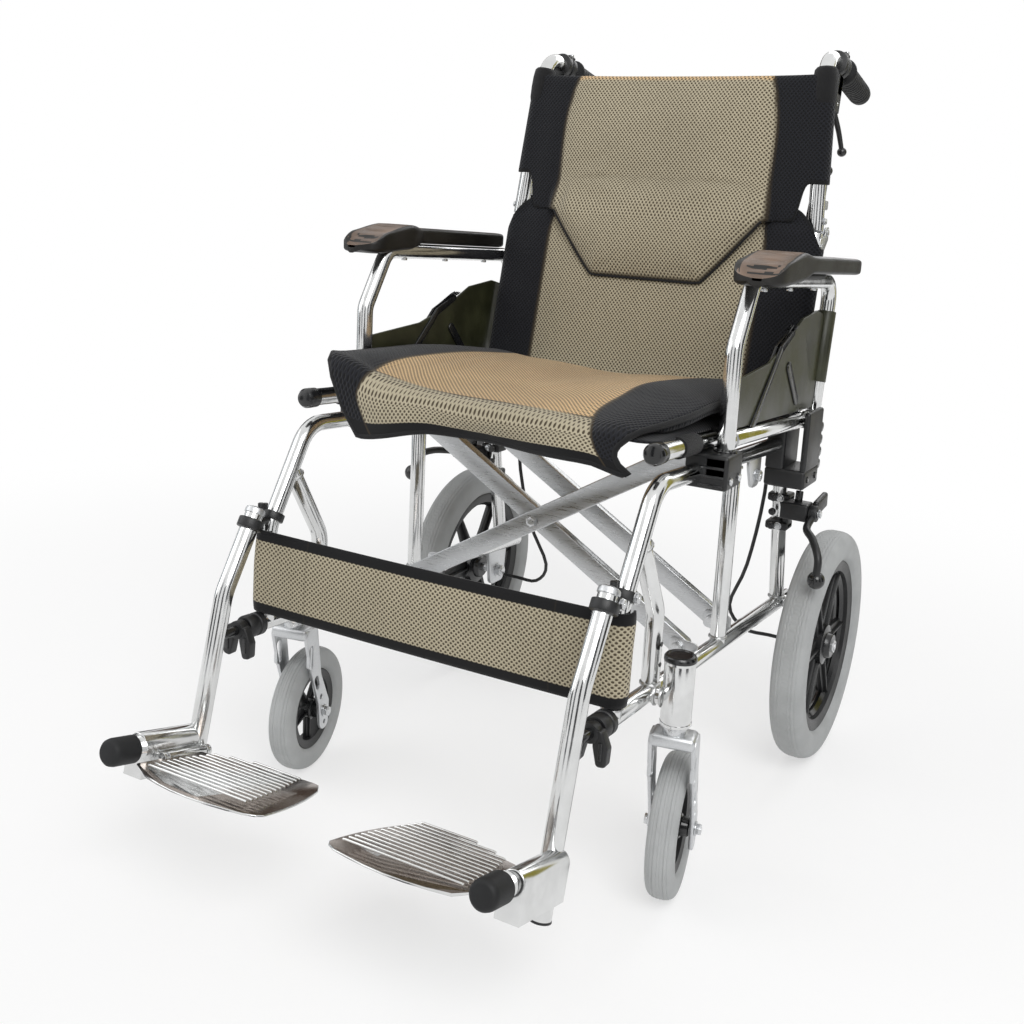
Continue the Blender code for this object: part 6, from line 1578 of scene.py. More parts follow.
def hanger(side):
    """Front hanger: bent tube with its cap, arched foot block, and nose bumper."""
    name = SIDES[side]
    x = side * HANGER_X
    hanger_r = sizes().hanger_radius
    piece = Piece(f"hanger_tube_{name}", "polished_tube", "moulded_black", "cast_plate")
    route = rounded([(x, hanger_y(HANGER_TOP_Z), HANGER_TOP_Z), (x, hanger_y(HANGER_KNEE_Z), HANGER_KNEE_Z),
                     (x, hanger_y(0.090), 0.090)], 0.060, 14)
    piece.add(pipe(route, hanger_r, 32))
    upward = Vector((0, LEG_RAKE, 1)).normalized()
    turn = upward.to_track_quat("Z", "Y").to_matrix().to_4x4()
    cap = [(0.0, 0.0062), (0.0070, 0.0058), (0.0104, 0.0042), (0.0112, 0.0015), (0.0112, -0.0015),
           (0.0098, -0.0018),
           (0.0, -0.0018)]
    piece.add(lathe(cap, 32, Matrix.Translation(route[0]) @ turn, closed=False), 2)
    for y, z, radius in ((0.010, 0.0085, 0.0036), (0.017, 0.0070, 0.0030)):
        piece.add(rod(route[0] + Vector((0, y, 0.0005)), route[0] + Vector((0, y, z)), radius, 12), 1)
    downward = Vector((0, -FOOT_SLOPE, -1)).normalized()
    foot = route[-1]
    piece.add(rod(foot - downward * 0.0005, foot + downward * 0.0018, hanger_r + 0.0004, 32, 0.0005), 1)
    piece.done(f"hanger_{name}", f"hanger_{name}")
    piece = Piece(f"foot_block_{name}", "cast_mirror", "zinc_bolt")
    lay = foot_frame(FOOT_FRONT_Y, 0.174)
    bx = side * (FRAME_X + 0.003)
    half, drop, long = 0.012, 0.045, 0.088
    arch = [(bx + half * cos(pi * i / 16), -half + half * sin(pi * i / 16)) for i in range(17)]
    arch += [(bx - half, -drop), (bx + half, -drop)]
    piece.add(plate(arch, long, lay @ xz_plane(long / 2), bevel=0.0012, segments=3))
    piece.add(rod(hinge_point(side, 0.012), hinge_point(side, 0.076), 0.0035), 1)
    for start in (0.010, 0.072):
        a, b = hinge_point(side, start), hinge_point(side, start + 0.006)
        piece.add(rod(a, b, 0.0065, 20, 0.001))
        web = block((min(0, side * 0.0155), -0.0022, -0.0042), (max(0, side * 0.0155), 0.0022, 0.0042),
                    0.0008)
        piece.add(web, 0, Matrix.Translation((a + b) / 2) @ Matrix.Rotation(-FOOT_TILT, 4, "X"))
    piece.done(f"hanger_{name}", f"footplate_block_{name}")
    piece = Piece(f"nose_bumper_{name}", "soft_black", "thread_metal")
    ahead = lay.to_3x3() @ Vector((0, -1, 0))
    turn = ahead.to_track_quat("Z", "Y").to_matrix().to_4x4()
    turn = Matrix.Translation(lay @ Vector((x, 0, -0.014))) @ turn
    barrel = [(0.0, 0.0100), (0.0125, 0.0100), (0.0140, 0.0112), (0.0140, 0.0360), (0.0132, 0.0400),
              (0.0112, 0.0424),
              (0.0095, 0.0430), (0.0, 0.0426)]
    piece.add(lathe(barrel, 40, turn, closed=False))
    threads = [(0.0, 0.0004), (0.0112, 0.0004)]
    for i in range(6):
        threads += [(0.0112, 0.0010 + i * 0.0016), (0.0104, 0.0018 + i * 0.0016)]
    piece.add(lathe(threads + [(0.0104, 0.0125), (0.0, 0.0125)], 40, turn, closed=False), 1)
    piece.done(f"hanger_{name}", f"bumper_{name}")


def plate_outline(side):
    """The leaf shape of the footplate, from its hinge side round to the inner tip."""
    inner, outer = 0.042, FRAME_X - 0.0195
    ring = [(outer, -0.3840), (outer, -0.4720)]
    ring += [(outer - t * (outer - inner), -0.4720 - 0.0140 * sin(pi * t) - 0.002 * t) for t in
             (0.12, 0.26, 0.40, 0.54, 0.68, 0.82, 0.93)]
    ring += [(inner, -0.4700), (inner - 0.0045, -0.4630)]
    ring += [(inner - 0.0045 + 0.024 * t ** 2.2, -0.4630 + 0.1190 * t)
             for t in (0.15, 0.3, 0.45, 0.6, 0.75, 0.88)]
    ring += [(inner + 0.0250, -0.3420), (inner + 0.0330, -0.3408), (inner + 0.0440, -0.3425)]
    return [(side * x, y) for x, y in ring]


def footplate(side):
    """A cast tray: leaf outline, sloping bright flank, thin lip and thirteen raised ribs."""
    name = SIDES[side]
    piece = Piece(f"foot_rest_{name}", "cast_mirror", "cast_ribs", "tray_painted_reflection")
    part = bmesh.new()
    verts = [part.verts.new((x, y - FOOT_MIDDLE_Y, 0.0)) for x, y in plate_outline(side)]
    top = part.faces.new(verts)
    if top.normal.z < 0:
        top.normal_flip()
    bmesh.ops.recalc_face_normals(part, faces=part.faces)
    rim = part.verts[:]
    bmesh.ops.inset_region(part, faces=part.faces[:], thickness=0.0105, depth=0.0)
    for vert in rim:
        hinge_side = abs(vert.co.x) > FRAME_X - 0.024
        vert.co.z -= 0.0010 if hinge_side else 0.0078
    edges = [edge for edge in part.edges if edge.is_boundary]
    grown = bmesh.ops.extrude_edge_only(part, edges=edges)["geom"]
    lip = [g for g in grown if isinstance(g, bmesh.types.BMVert)]
    bmesh.ops.translate(part, vec=(0, 0, -0.0018), verts=lip)
    bmesh.ops.recalc_face_normals(part, faces=part.faces)
    creases = [e for e in part.edges if len(e.link_faces) == 2 and e.calc_face_angle() > radians(20)]
    bmesh.ops.bevel(part, geom=creases, offset=0.0011, segments=3, profile=0.5, affect="EDGES", material=-1)
    edges = [edge for edge in part.edges if edge.is_boundary]
    grown = bmesh.ops.extrude_edge_only(part, edges=edges)["geom"]
    inside = [g for g in grown if isinstance(g, bmesh.types.BMVert)]
    middle = Vector((side * 0.118, 0.005, 0))
    for vert in inside:
        vert.co.x += (middle.x - vert.co.x) * 0.03
        vert.co.y += (middle.y - vert.co.y) * 0.05
        vert.co.z += 0.0008
    bmesh.ops.edgeloop_fill(part, edges=[edge for edge in part.edges if edge.is_boundary])
    lay = foot_frame(FOOT_MIDDLE_Y, 0.1458)
    piece.add(part, 0, lay)
    # Faces that look straight up get the painted reflection, a darker brown tint of the cast metal.
    upward = lay.to_3x3() @ Vector((0, 0, 1))
    for face in piece.mesh.faces:
        if face.normal.dot(upward) > 0.985:
            face.material_index = 2
    for i in range(13):
        y = -0.0490 + i * 0.0085
        shift = max(0.0, y + 0.008) ** 1.6 * 0.85
        start = 0.0560 + 0.0170 * max(0.0, (y + 0.049) / 0.10) ** 1.5
        end = 0.1810 - shift * 1.2 - max(0.0, y - 0.040) * 2.6
        route = [(side * start, y, 0.0002), (side * (start + 0.002), y, 0.0007),
                 (side * (end - 0.002), y, 0.0007),
                 (side * end, y, 0.0002)]
        piece.add(pipe(route, 0.0012, 10, ends=0.0), 1, lay)
    piece.add(rod(hinge_point(side, 0.0175), hinge_point(side, 0.0705), 0.0062, 24))
    piece.done(f"footplate_{name}", f"footplate_{name}")


def catch(side):
    """The collar on the rail's front end and the winged release lever."""
    name = SIDES[side]
    x = side * FRAME_X
    back = LEG_FOOT_Y - sizes().frame_radius - GAP - LOWER_SLOPE * 0.013
    low = lower_rail(back)
    forward = Vector((0, -1, LOWER_SLOPE)).normalized()
    start = Vector((x, back, low))
    turn = Matrix.Translation(start) @ forward.to_track_quat("Z", "Y").to_matrix().to_4x4()
    piece = Piece(f"catch_collar_{name}", "moulded_black", "gloss_black")
    collar = [(0.0, 0.0), (0.0120, 0.0), (0.0130, 0.0012), (0.0130, 0.0085), (0.0118, 0.0095),
              (0.0118, 0.0125),
              (0.0130, 0.0135), (0.0130, 0.0235), (0.0116, 0.0258), (0.0060, 0.0260), (0.0, 0.0260)]
    piece.add(lathe(collar, 36, turn, closed=False))
    neck_end = back - hanger_y(low + 0.004) - sizes().hanger_radius - 0.0012
    piece.add(rod(start + forward * 0.024, start + forward * neck_end, 0.0055), 1)
    piece.done(f"{name}_frame", f"catch_body_{name}")
    piece = Piece(f"catch_wings_{name}", "moulded_black", "gloss_black")
    ring_start = start + forward * 0.027
    ring_end = ring_start + forward * 0.012
    piece.add(rod(ring_start, ring_end, 0.0100, 28, 0.0012))
    for way in (-1, 1):
        outline = round_outline([(way * 0.003, 0.004), (way * 0.0125, 0.005), (way * 0.0195, -0.012),
                                 (way * 0.0185, -0.030), (way * 0.0085, -0.0315), (way * 0.0040, -0.012)],
                                0.0040, 4)
        piece.add(plate(outline, 0.0110,
                        Matrix.Translation((x, 0, ring_end.z)) @ xz_plane(ring_end.y + 0.0060),
                        bevel=0.0016, segments=3), 0)
        piece.add(block((way * 0.0125 - 0.0022, -0.0005, -0.024), (way * 0.0125 + 0.0022, 0.0012, -0.006),
                        0.0007), 1,
                  Matrix.Translation((x, ring_end.y, ring_end.z)))
    piece.done(f"catch_lever_{name}", f"catch_lever_{name}")


def pad_height(y):
    """The underside of the pad, which lies on the armrest's top rail."""
    return arm_top(y) + 0.0095 + GAP


def loft(rings):
    """A body through rings of as many points each."""
    part = bmesh.new()
    loops = []
    for ring in rings:
        made = bmesh.ops.create_circle(part, cap_ends=False, segments=len(ring), radius=1.0)["verts"]
        for vert, place in zip(made, ring):
            vert.co = place
        loops.append(made)
    for before, after in zip(loops, loops[1:]):
        count = len(before)
        for i in range(count):
            part.faces.new((before[i], before[(i + 1) % count], after[(i + 1) % count], after[i]))
    part.faces.new(loops[0])
    part.faces.new(loops[-1])
    bmesh.ops.recalc_face_normals(part, faces=part.faces)
    return part


def pad_ring(side, y):
    """The pad's cross section at y: 64 points round a softened box, grooved on the paddle."""
    inner_wide = 0.025 + 0.0090 * blend(0.060, 0.020, y)
    outer_wide = 0.025 - 0.0020 * blend(0.0, -0.06, y)
    nose = min(1.0, max(0.0, (y + 0.0660) / 0.034))
    tail = min(1.0, max(0.0, (0.2685 - y) / 0.012))
    ends = (1 - (1 - nose) ** 2.6) ** 0.45 * (1 - (1 - tail) ** 2.4) ** 0.42
    paddle = blend(0.060, 0.015, y)
    thick = 0.0200 + 0.0135 * paddle * blend(-0.070, -0.03, y)
    droop = 0.0150 * paddle * blend(0.040, -0.066, y) ** 1.2
    x = side * PAD_X
    base = pad_height(y) - 0.0085 * paddle
    middle = base + thick / 2 - droop * 0.5
    ring = []
    for i in range(64):
        angle = 2 * pi * i / 64
        c, s = cos(angle), sin(angle)
        across = (abs(c) ** 0.36) * (1 if c > 0 else -1)
        height = (abs(s) ** 0.36) * (1 if s > 0 else -1)
        wide = (outer_wide if c > 0 else inner_wide) * ends
        lift = height * thick / 2 * (0.10 + 0.90 * ends)
        if s > 0:
            lift -= droop * 0.8 * s
            inside = max(0.0, 1 - abs(across * 1.18) ** 6)
            lift -= 0.0016 * paddle * inside * blend(-0.064, -0.050, y) * blend(0.040, 0.020, y)
            for groove in (-0.040, -0.018, 0.004):
                depth = max(0.0, 1 - ((y - groove - 0.004 * across) / 0.0036) ** 2)
                lift -= 0.0020 * depth * max(0.0, 1 - (across / 0.62) ** 4)
        ring.append(Vector((x + side * across * wide, y, middle + lift)))
    return ring


def armrest(side):
    """Armrest tubes, soft pad with its grooved paddle, and side panel with raised bars."""
    name = SIDES[side]
    x = side * ARM_X
    tube_r = sizes().frame_radius
    body = f"armrest_{name}"
    piece = Piece(f"arm_tubes_{name}", "polished_tube", "weld_metal", "moulded_black", "zinc_bolt")
    top_rear, foot_rear = arm_top(ARM_BACK_Y), arm_rail(ARM_REAR_Y)
    loop = rounded([(x, ARM_FRONT_Y, 0.454), (x, ARM_FRONT_Y, 0.575), (x, ARM_BEND_Y, arm_top(ARM_BEND_Y)),
                    (x, ARM_BACK_Y, top_rear), (x, ARM_REAR_Y, foot_rear)], 0.026, 10)
    piece.add(pipe(loop, tube_r, 28))
    rail = [(x, ARM_FRONT_Y, arm_rail(ARM_FRONT_Y)), (x, ARM_REAR_Y, foot_rear)]
    piece.add(pipe(rail, tube_r - 0.0004, 28))
    for y, z in ((ARM_FRONT_Y + tube_r, arm_rail(-0.050)), (ARM_REAR_Y - tube_r, arm_rail(0.260))):
        piece.add(weld_bead((x, y, z), (0, 1, 0), tube_r - 0.0002), 1)
    piece.add(rod((x - 0.0088, *ARM_PIVOT.yz), (x + 0.0088, *ARM_PIVOT.yz), 0.011, 28))
    for y in (0.020, 0.115, 0.215):
        under = arm_top(y) - tube_r
        piece.add(rod((x, y, under + 0.001), (x, y, under - 0.0022), 0.0038, 16), 3)
    piece.add(rod((x, ARM_FRONT_Y, 0.468), (x, ARM_FRONT_Y, 0.4545), tube_r + 0.0006, 28), 2)
    piece.done(body, f"armrest_{name}")
    piece = Piece(f"arm_pad_{name}", "pad_skin", "pad_painted_sheen")
    stations = [-0.0657, -0.0650, -0.0640, -0.0625, -0.0600, -0.0570]
    stations += [-0.0540 + 0.0022 * i for i in range(49)]
    stations += [0.0600 + 0.0125 * i for i in range(16)] + [0.2560, 0.2600, 0.2635, 0.2660, 0.2674, 0.2682]
    piece.add(loft([pad_ring(side, y) for y in stations]))
    # Upward faces of the paddle get the painted sheen: a brown highlight put into their colour.
    for face in piece.mesh.faces:
        middle = face.calc_center_median()
        inside = abs(middle.x - side * PAD_X + side * 0.004) < 0.0235
        if face.normal.z > 0.80 and -0.0600 < middle.y < 0.052 and inside:
            face.material_index = 1
    piece.done(body, f"armrest_pad_{name}", sharp=60.0)
    piece = Piece(f"side_panel_{name}", "skirt_panel", "gloss_black")
    clear = tube_r + GAP
    low = arm_rail(0.0) + clear
    corners = [(ARM_FRONT_Y + clear, arm_rail(ARM_FRONT_Y) + clear),
               (ARM_REAR_Y - clear - 0.002, low - 0.013),
               (0.2680, 0.590), (0.2400, 0.5960), (0.180, 0.5900), (0.120, 0.565), (0.060, 0.548),
               (ARM_FRONT_Y + clear, 0.540)]
    piece.add(plate(round_outline(corners, 0.006), 0.004, yz_plane(x), bevel=0.0012, segments=3))
    rise = (top_rear - 0.592) / (top_rear - foot_rear)
    sleeve = [(x, 0.2722, foot_rear + 0.046), (x, ARM_BACK_Y - (ARM_BACK_Y - ARM_REAR_Y) * rise, 0.592)]
    piece.add(pipe(sleeve, tube_r + 0.0022, 28))
    for way in (-1, 1):
        face = Matrix.Translation((x + way * 0.0028, 0, 0))
        bar = round_outline([(0.000, 0.4800), (0.016, 0.4780), (0.098, 0.5560), (0.176, 0.5880),
                             (0.150, 0.5830),
                             (0.094, 0.5640)], 0.004)
        piece.add(plate(bar, 0.0034, face @ yz_plane(0), bevel=0.0013, segments=3), 1)
        oblong = round_outline([(0.122, 0.5380), (0.134, 0.5440), (0.186, 0.4900), (0.174, 0.4840)], 0.0060)
        piece.add(plate(oblong, 0.0030, face @ yz_plane(0), bevel=0.0012, segments=3), 1)
    piece.done(body, f"skirt_panel_{name}")


def front_socket(side):
    """Clamp on the upper rail, with the armrest's cup and the seat rail's cradle."""
    name = SIDES[side]
    piece = Piece(f"front_clamp_{name}", "moulded_black", "zinc_bolt", "gloss_black")
    inner, outer = side * (FRAME_X - 0.012), side * (FRAME_X + 0.0355)
    front, rear = -0.089, -0.043
    seat_x = side * SEAT_RAIL_X
    rest = seat_rail(-0.066) - 0.006
    low_x, high_x = sorted((inner, outer))
    piece.add(block((low_x, front, 0.430), (high_x, rear, rest - 0.003), 0.0035, 4))
    cup_low, cup_high = sorted((seat_x + side * 0.0105, outer))
    piece.add(block((cup_low, front, 0.440), (cup_high, rear, arm_rail(rear) - 0.0104), 0.0040, 4))
    cup_x = side * ARM_X
    piece.add(rod((cup_x, ARM_FRONT_Y, 0.455), (cup_x, ARM_FRONT_Y, 0.4690), 0.0128, 32, 0.0015), 2)
    for y in (front + 0.010, rear - 0.010):
        piece.add(hex_bolt((outer - side * 0.001, y, 0.440), (outer + side * 0.0022, y, 0.440), 0.0046), 1)
    for z in (0.4345, 0.4440, 0.4535):
        a, b = sorted((side * (FRAME_X + 0.004), outer - side * 0.004))
        piece.add(block((a, front - 0.0008, z - 0.0016), (b, front + 0.002, z + 0.0016), 0.0007), 2)
    piece.done(f"{name}_frame", f"front_socket_{name}")


def rear_block(side):
    """Clamp round the rear post and the cane's foot, with the armrest's clevis and four clamp lobes."""
    name = SIDES[side]
    piece = Piece(f"rear_clamp_{name}", "moulded_black", "zinc_bolt", "gloss_black")
    front, rear, foot, top = 0.195, 0.258, 0.376, 0.474
    slot_in, slot_out = ARM_X - 0.0101, ARM_X + 0.0101
    for start, end in ((FRAME_X - 0.0125, slot_in), (slot_out, FRAME_X + 0.0395)):
        low_x, high_x = sorted((side * start, side * end))
        piece.add(block((low_x, front, 0.398), (high_x, rear, top), 0.0035, 4))
    low_x, high_x = sorted((side * (FRAME_X - 0.0125), side * (FRAME_X + 0.0395)))
    piece.add(block((low_x, front, foot), (high_x, rear, 0.400), 0.0040, 4))
    for z in (0.448, 0.432, 0.416, 0.400):
        for start, wide in ((FRAME_X - 0.0065, 0.0140), (FRAME_X + 0.0322, 0.0070)):
            low, middle, high = side * start, side * (start + wide / 2), side * (start + wide)
            piece.add(rod((low, rear + 0.001, z), (high, rear + 0.001, z), 0.0065, 24, 0.0012), 2)
            piece.add(rod((middle, rear + 0.004, z), (middle, rear + 0.0078, z), 0.0028, 12), 1)
    piece.add(rod((side * (ARM_X - 0.0107), *ARM_PIVOT.yz), (side * (ARM_X + 0.0145), *ARM_PIVOT.yz), 0.004),
              1)
    for y in (front + 0.014, rear - 0.014):
        out = side * (FRAME_X + 0.0395)
        piece.add(rod((out - side * 0.001, y, 0.388), (out + side * 0.0016, y, 0.388), 0.0042, 20), 2)
    piece.done(f"{name}_frame", f"rear_block_{name}")


def fold_pin(side):
    """The hinge pin of the folding back, behind the canes."""
    return Vector((side * CANE_FOLD_X, FOLD_Y + 0.0185, FOLD_Z))


def handle_route(side):
    """The upper cane from the fold to the end of the push handle."""
    top = Vector((side * CANE_TOP_X, CANE_TOP_Y, CANE_TOP_Z))
    end = Vector((side * CANE_TOP_X, 0.4874, top.z - HANDLE_SLOPE * (0.4914 - CANE_TOP_Y)))
    return cane_point(side, FOLD_Z + 0.0015), top, end


def brake_place(side):
    """Where the brake's clamp sits on the handle, and the way the handle runs."""
    _, top, end = handle_route(side)
    along = (end - top).normalized()
    place = top + along * 0.052
    downward = along.cross(Vector((1, 0, 0))).normalized()
    if downward.z > 0:
        downward = -downward
    return place, along, place + downward * 0.050


def canes(side):
    """Lower cane with its hinge ears, and upper cane with the push handle and latch lugs."""
    name = SIDES[side]
    x = side * CANE_FOLD_X
    cane_r = sizes().cane_radius
    pin = fold_pin(side)
    piece = Piece(f"cane_lower_{name}", "polished_tube", "cast_plate", "zinc_bolt")
    piece.add(pipe([cane_point(side, CANE_FOOT_Z), cane_point(side, FOLD_Z - 0.0015)], cane_r, 32))
    foot_z = FOLD_Z - 0.038
    foot_y = cane_point(side, foot_z).y
    ear = round_outline([(foot_y - 0.0042, foot_z), (foot_y + 0.0042, foot_z),
                         (pin.y + 0.0080, FOLD_Z - 0.009),
                         (pin.y + 0.0075, FOLD_Z + 0.0075), (pin.y - 0.0072, FOLD_Z + 0.0075),
                         (pin.y - 0.0072, FOLD_Z - 0.004), (FOLD_Y - 0.008, FOLD_Z - 0.006)], 0.004)
    ear_x = cane_r - 0.0009
    bolt_y = cane_point(side, FOLD_Z - 0.018).y
    for way in (-1, 1):
        piece.add(plate(ear, 0.002, yz_plane(x + way * ear_x)), 1)
        for y, z in ((pin.y, pin.z), (bolt_y, FOLD_Z - 0.018)):
            piece.add(hex_bolt((x + way * (ear_x + 0.0005), y, z), (x + way * (ear_x + 0.0027), y, z),
                               0.0045), 2)
    piece.add(rod(pin - Vector((0.0115, 0, 0)), pin + Vector((0.0115, 0, 0)), 0.003), 2)
    piece.done(f"{name}_frame", f"lower_cane_{name}")
    piece = Piece(f"cane_upper_{name}", "polished_tube", "cast_plate", "zinc_bolt")
    foot, top, end = handle_route(side)
    piece.add(pipe(rounded([foot, top, end], 0.030, 14), cane_r - 0.0005, 32))
    piece.add(rod(pin - Vector((0.0078, 0, 0)), pin + Vector((0.0078, 0, 0)), 0.0062), 1)
    piece.add(block((x - 0.006, FOLD_Y + 0.004, FOLD_Z + 0.0015), (x + 0.006, pin.y, FOLD_Z + 0.015), 0.0015),
              1)
    latch_z = FOLD_Z + 0.034
    latch = cane_point(side, latch_z) + Vector((0, cane_r + 0.0085, 0))
    ear = round_outline([(latch.y - 0.0145, latch.z - 0.006), (latch.y + 0.004, latch.z - 0.006),
                         (latch.y + 0.004, latch.z + 0.006), (latch.y - 0.0145, latch.z + 0.006)], 0.003)
    for way in (-1, 1):
        piece.add(plate(ear, 0.002, yz_plane(latch.x + way * 0.0070)), 1)
    piece.add(rod(latch - Vector((0.0078, 0, 0)), latch + Vector((0.0078, 0, 0)), 0.0022), 2)
    bolt = cane_point(side, FOLD_Z + 0.014)
    out = Vector((side, 0, 0))
    piece.add(hex_bolt(bolt + out * cane_r * 0.9, bolt + out * (cane_r + 0.003), 0.0042), 2)
    piece.done(f"back_{name}", f"upper_cane_{name}")
    piece = Piece(f"latch_{name}", "moulded_black", "gloss_black")
    piece.add(rod(latch - Vector((0.0055, 0, 0)), latch + Vector((0.0055, 0, 0)), 0.005))
    stalk = block((-0.0040, -0.0022, -0.0110), (0.0040, 0.0028, 0.040), 0.0014)
    piece.add(stalk, 0, Matrix.Translation(latch) @ Matrix.Rotation(radians(-9), 4, "X"))
    piece.add(ball(latch + Vector((0, 0.0085, 0.043)), 0.0078), 1)
    piece.done(f"fold_latch_{name}", f"fold_latch_{name}")


def grip_and_brake(side):
    """Ribbed hand grip, the brake's double-ring clamp, and the lever with its ball."""
    name = SIDES[side]
    _, top, end = handle_route(side)
    along = (end - top).normalized()
    start = top + along * ((0.385 - top.y) / along.y)
    long = (end - start).length + 0.004
    lay = Matrix.Translation(start) @ along.to_track_quat("Z", "Y").to_matrix().to_4x4()
    profile = [(0.0, 0.0), (0.0175, 0.0), (0.0180, 0.0010), (0.0180, 0.0030), (0.0170, 0.0042),
               (0.0148, 0.0050)]
    ribs = 12
    span = (long - 0.020) / ribs
    for i in range(ribs):
        low = 0.008 + i * span
        profile += [(0.0136, low), (0.0136, low + span * 0.18), (0.0149, low + span * 0.32),
                    (0.0150, low + span * 0.62), (0.0149, low + span * 0.88)]
    profile += [(0.0148, long - 0.009), (0.0140, long - 0.003), (0.0118, long - 0.0004), (0.0, long)]
    piece = Piece(f"grip_{name}", "soft_black")
    piece.add(lathe(profile, 40, lay, closed=False))
    piece.done(f"back_{name}", f"hand_grip_{name}")
    place, along, pivot = brake_place(side)
    piece = Piece(f"brake_clamp_{name}", "moulded_black", "zinc_bolt", "gloss_black")
    cane_r = sizes().cane_radius
    for shift in (-0.0125, 0.0015):
        piece.add(rod(place + along * shift, place + along * (shift + 0.011), cane_r + 0.0055, 36, 0.0016))
    piece.add(rod(place - along * 0.010, place + along * 0.010, cane_r + 0.0035, 36), 2)
    tilt = Matrix.Translation(place) @ Matrix.Rotation(-atan(HANDLE_SLOPE), 4, "X")
    for way in (-1, 1):
        low, high = sorted((way * 0.0045, way * 0.0080))
        piece.add(block((low, -0.0105, -0.0600), (high, 0.0105, -0.012), 0.0012), 0, tilt)
        low, high = sorted((way * 0.0060, way * 0.0125))
        piece.add(block((low, -0.0085, 0.0030), (high, 0.0085, 0.0150), 0.0018), 2, tilt)
        piece.add(rod((way * 0.010, 0, 0.014), (way * 0.010, 0, 0.0172), 0.0028, 12), 1, tilt)
    piece.add(block((-0.008, -0.0105, -0.0400), (0.008, 0.0105, -0.012), 0.0022), 0, tilt)
    piece.add(rod(pivot - Vector((0.0084, 0, 0)), pivot + Vector((0.0084, 0, 0)), 0.0025), 1)
    piece.done(f"back_{name}", f"brake_mount_{name}")
    piece = Piece(f"brake_arm_{name}", "moulded_black", "gloss_black")
    piece.add(rod(pivot - Vector((0.0038, 0, 0)), pivot + Vector((0.0038, 0, 0)), 0.0065, 28))
    tip = pivot + Vector((side * 0.010, 0.036, -0.058))
    route = smooth_route([pivot + Vector((0, 0.003, 0)), pivot + Vector((0, 0.016, -0.010)),
                          pivot + Vector((side * 0.005, 0.028, -0.032)), tip])
    radii = [0.0042 - 0.0012 * i / (len(route) - 1) for i in range(len(route))]
    piece.add(pipe(route, radii, 20))
    piece.add(ball(tip, 0.0062), 1)
    piece.done(f"brake_lever_{name}", f"brake_lever_{name}")


def park_brake(side):
    """Parking brake: post clamp with its knobs and bare cable, arm with a ball, and shoe paddle."""
    name = SIDES[side]
    x = side * FRAME_X
    pivot = Vector((side * PARK_PIVOT.x, PARK_PIVOT.y, PARK_PIVOT.z))
    piece = Piece(f"park_clamp_{name}", "moulded_black", "zinc_bolt", "gloss_black")
    y = post_y(pivot.z)
    low_x, high_x = sorted((x - side * 0.013, x + side * 0.016))
    for low, high in ((-0.032, -0.021), (0.005, 0.016)):
        piece.add(block((low_x, y - 0.013, pivot.z + low), (high_x, y + 0.013, pivot.z + high), 0.003, 4))
    spine = sorted((x + side * 0.008, x + side * 0.016))
    piece.add(block((spine[0], y - 0.010, pivot.z - 0.030), (spine[1], y + 0.010, pivot.z + 0.014), 0.002))
    for z in (-0.0265, -0.008, 0.0105):
        piece.add(rod((x - side * 0.004, y - 0.0125, pivot.z + z),
                      (x - side * 0.004, y - 0.0185, pivot.z + z), 0.0046,
                      20, 0.0012), 2)
    for z in (-0.0265, 0.0105):
        piece.add(hex_bolt((x + side * 0.004, y - 0.0125, pivot.z + z),
                           (x + side * 0.004, y - 0.0165, pivot.z + z),
                           0.0042), 1)
    low_x, high_x = sorted((x + side * 0.010, pivot.x - side * 0.0055))
    piece.add(block((low_x, pivot.y - 0.012, pivot.z - 0.011), (high_x, pivot.y + 0.016, pivot.z + 0.011),
                    0.003, 4))
    piece.add(rod((pivot.x - side * 0.008, *pivot.yz), (pivot.x + side * 0.0075, *pivot.yz), 0.0035), 1)
    piece.add(hex_bolt((pivot.x + side * 0.0063, *pivot.yz), (pivot.x + side * 0.0095, *pivot.yz), 0.0050), 1)
    holder = Vector((x + side * 0.028, pivot.y + 0.006, pivot.z + 0.010))
    piece.add(rod(holder, holder + Vector((0, 0.002, 0.014)), 0.0048, 20, 0.001), 2)
    wire = smooth_route([holder + Vector((0, 0.002, 0.012)), holder + Vector((side * 0.003, 0.004, 0.030)),
                         holder + Vector((side * 0.009, 0.008, 0.052))])
    piece.add(pipe(wire, 0.0009, 10, ends=0.0), 1)
    piece.done(f"{name}_frame", f"park_bracket_{name}")
    piece = Piece(f"park_arm_{name}", "moulded_black", "gloss_black")
    lay = Matrix.Translation(pivot) @ Matrix.Rotation(radians(38 if side == LEFT else 0), 4, "X")
    out, reach = (side * 0.026, 0.088) if side == LEFT else (side * 0.012, 0.100)
    piece.add(rod((-0.0050, 0, 0), (0.0050, 0, 0), 0.0105, 32, 0.0010), 0, lay)
    route = smooth_route([(0, -0.004, 0), (0, -0.030, 0.006), (out * 0.5, 0.040 - reach, 0.010),
                          (out, 0.016 - reach, 0.006), (out, -reach, -0.012)])
    piece.add(pipe(route, 0.0048, 24), 0, lay)
    piece.add(ball((out, -reach, -0.016), 0.011, 16), 1, lay)
    level = lay @ Matrix.Rotation(radians(-32 if side == LEFT else 0), 4, "X")
    long, low = (0.050, -0.006) if side == LEFT else (0.070, -0.0015)
    piece.add(block((-0.0040, 0.004, low), (0.0040, long, low + 0.020), 0.0035, 4), 0, level)
    piece.done(f"park_lever_{name}", f"park_lever_{name}")


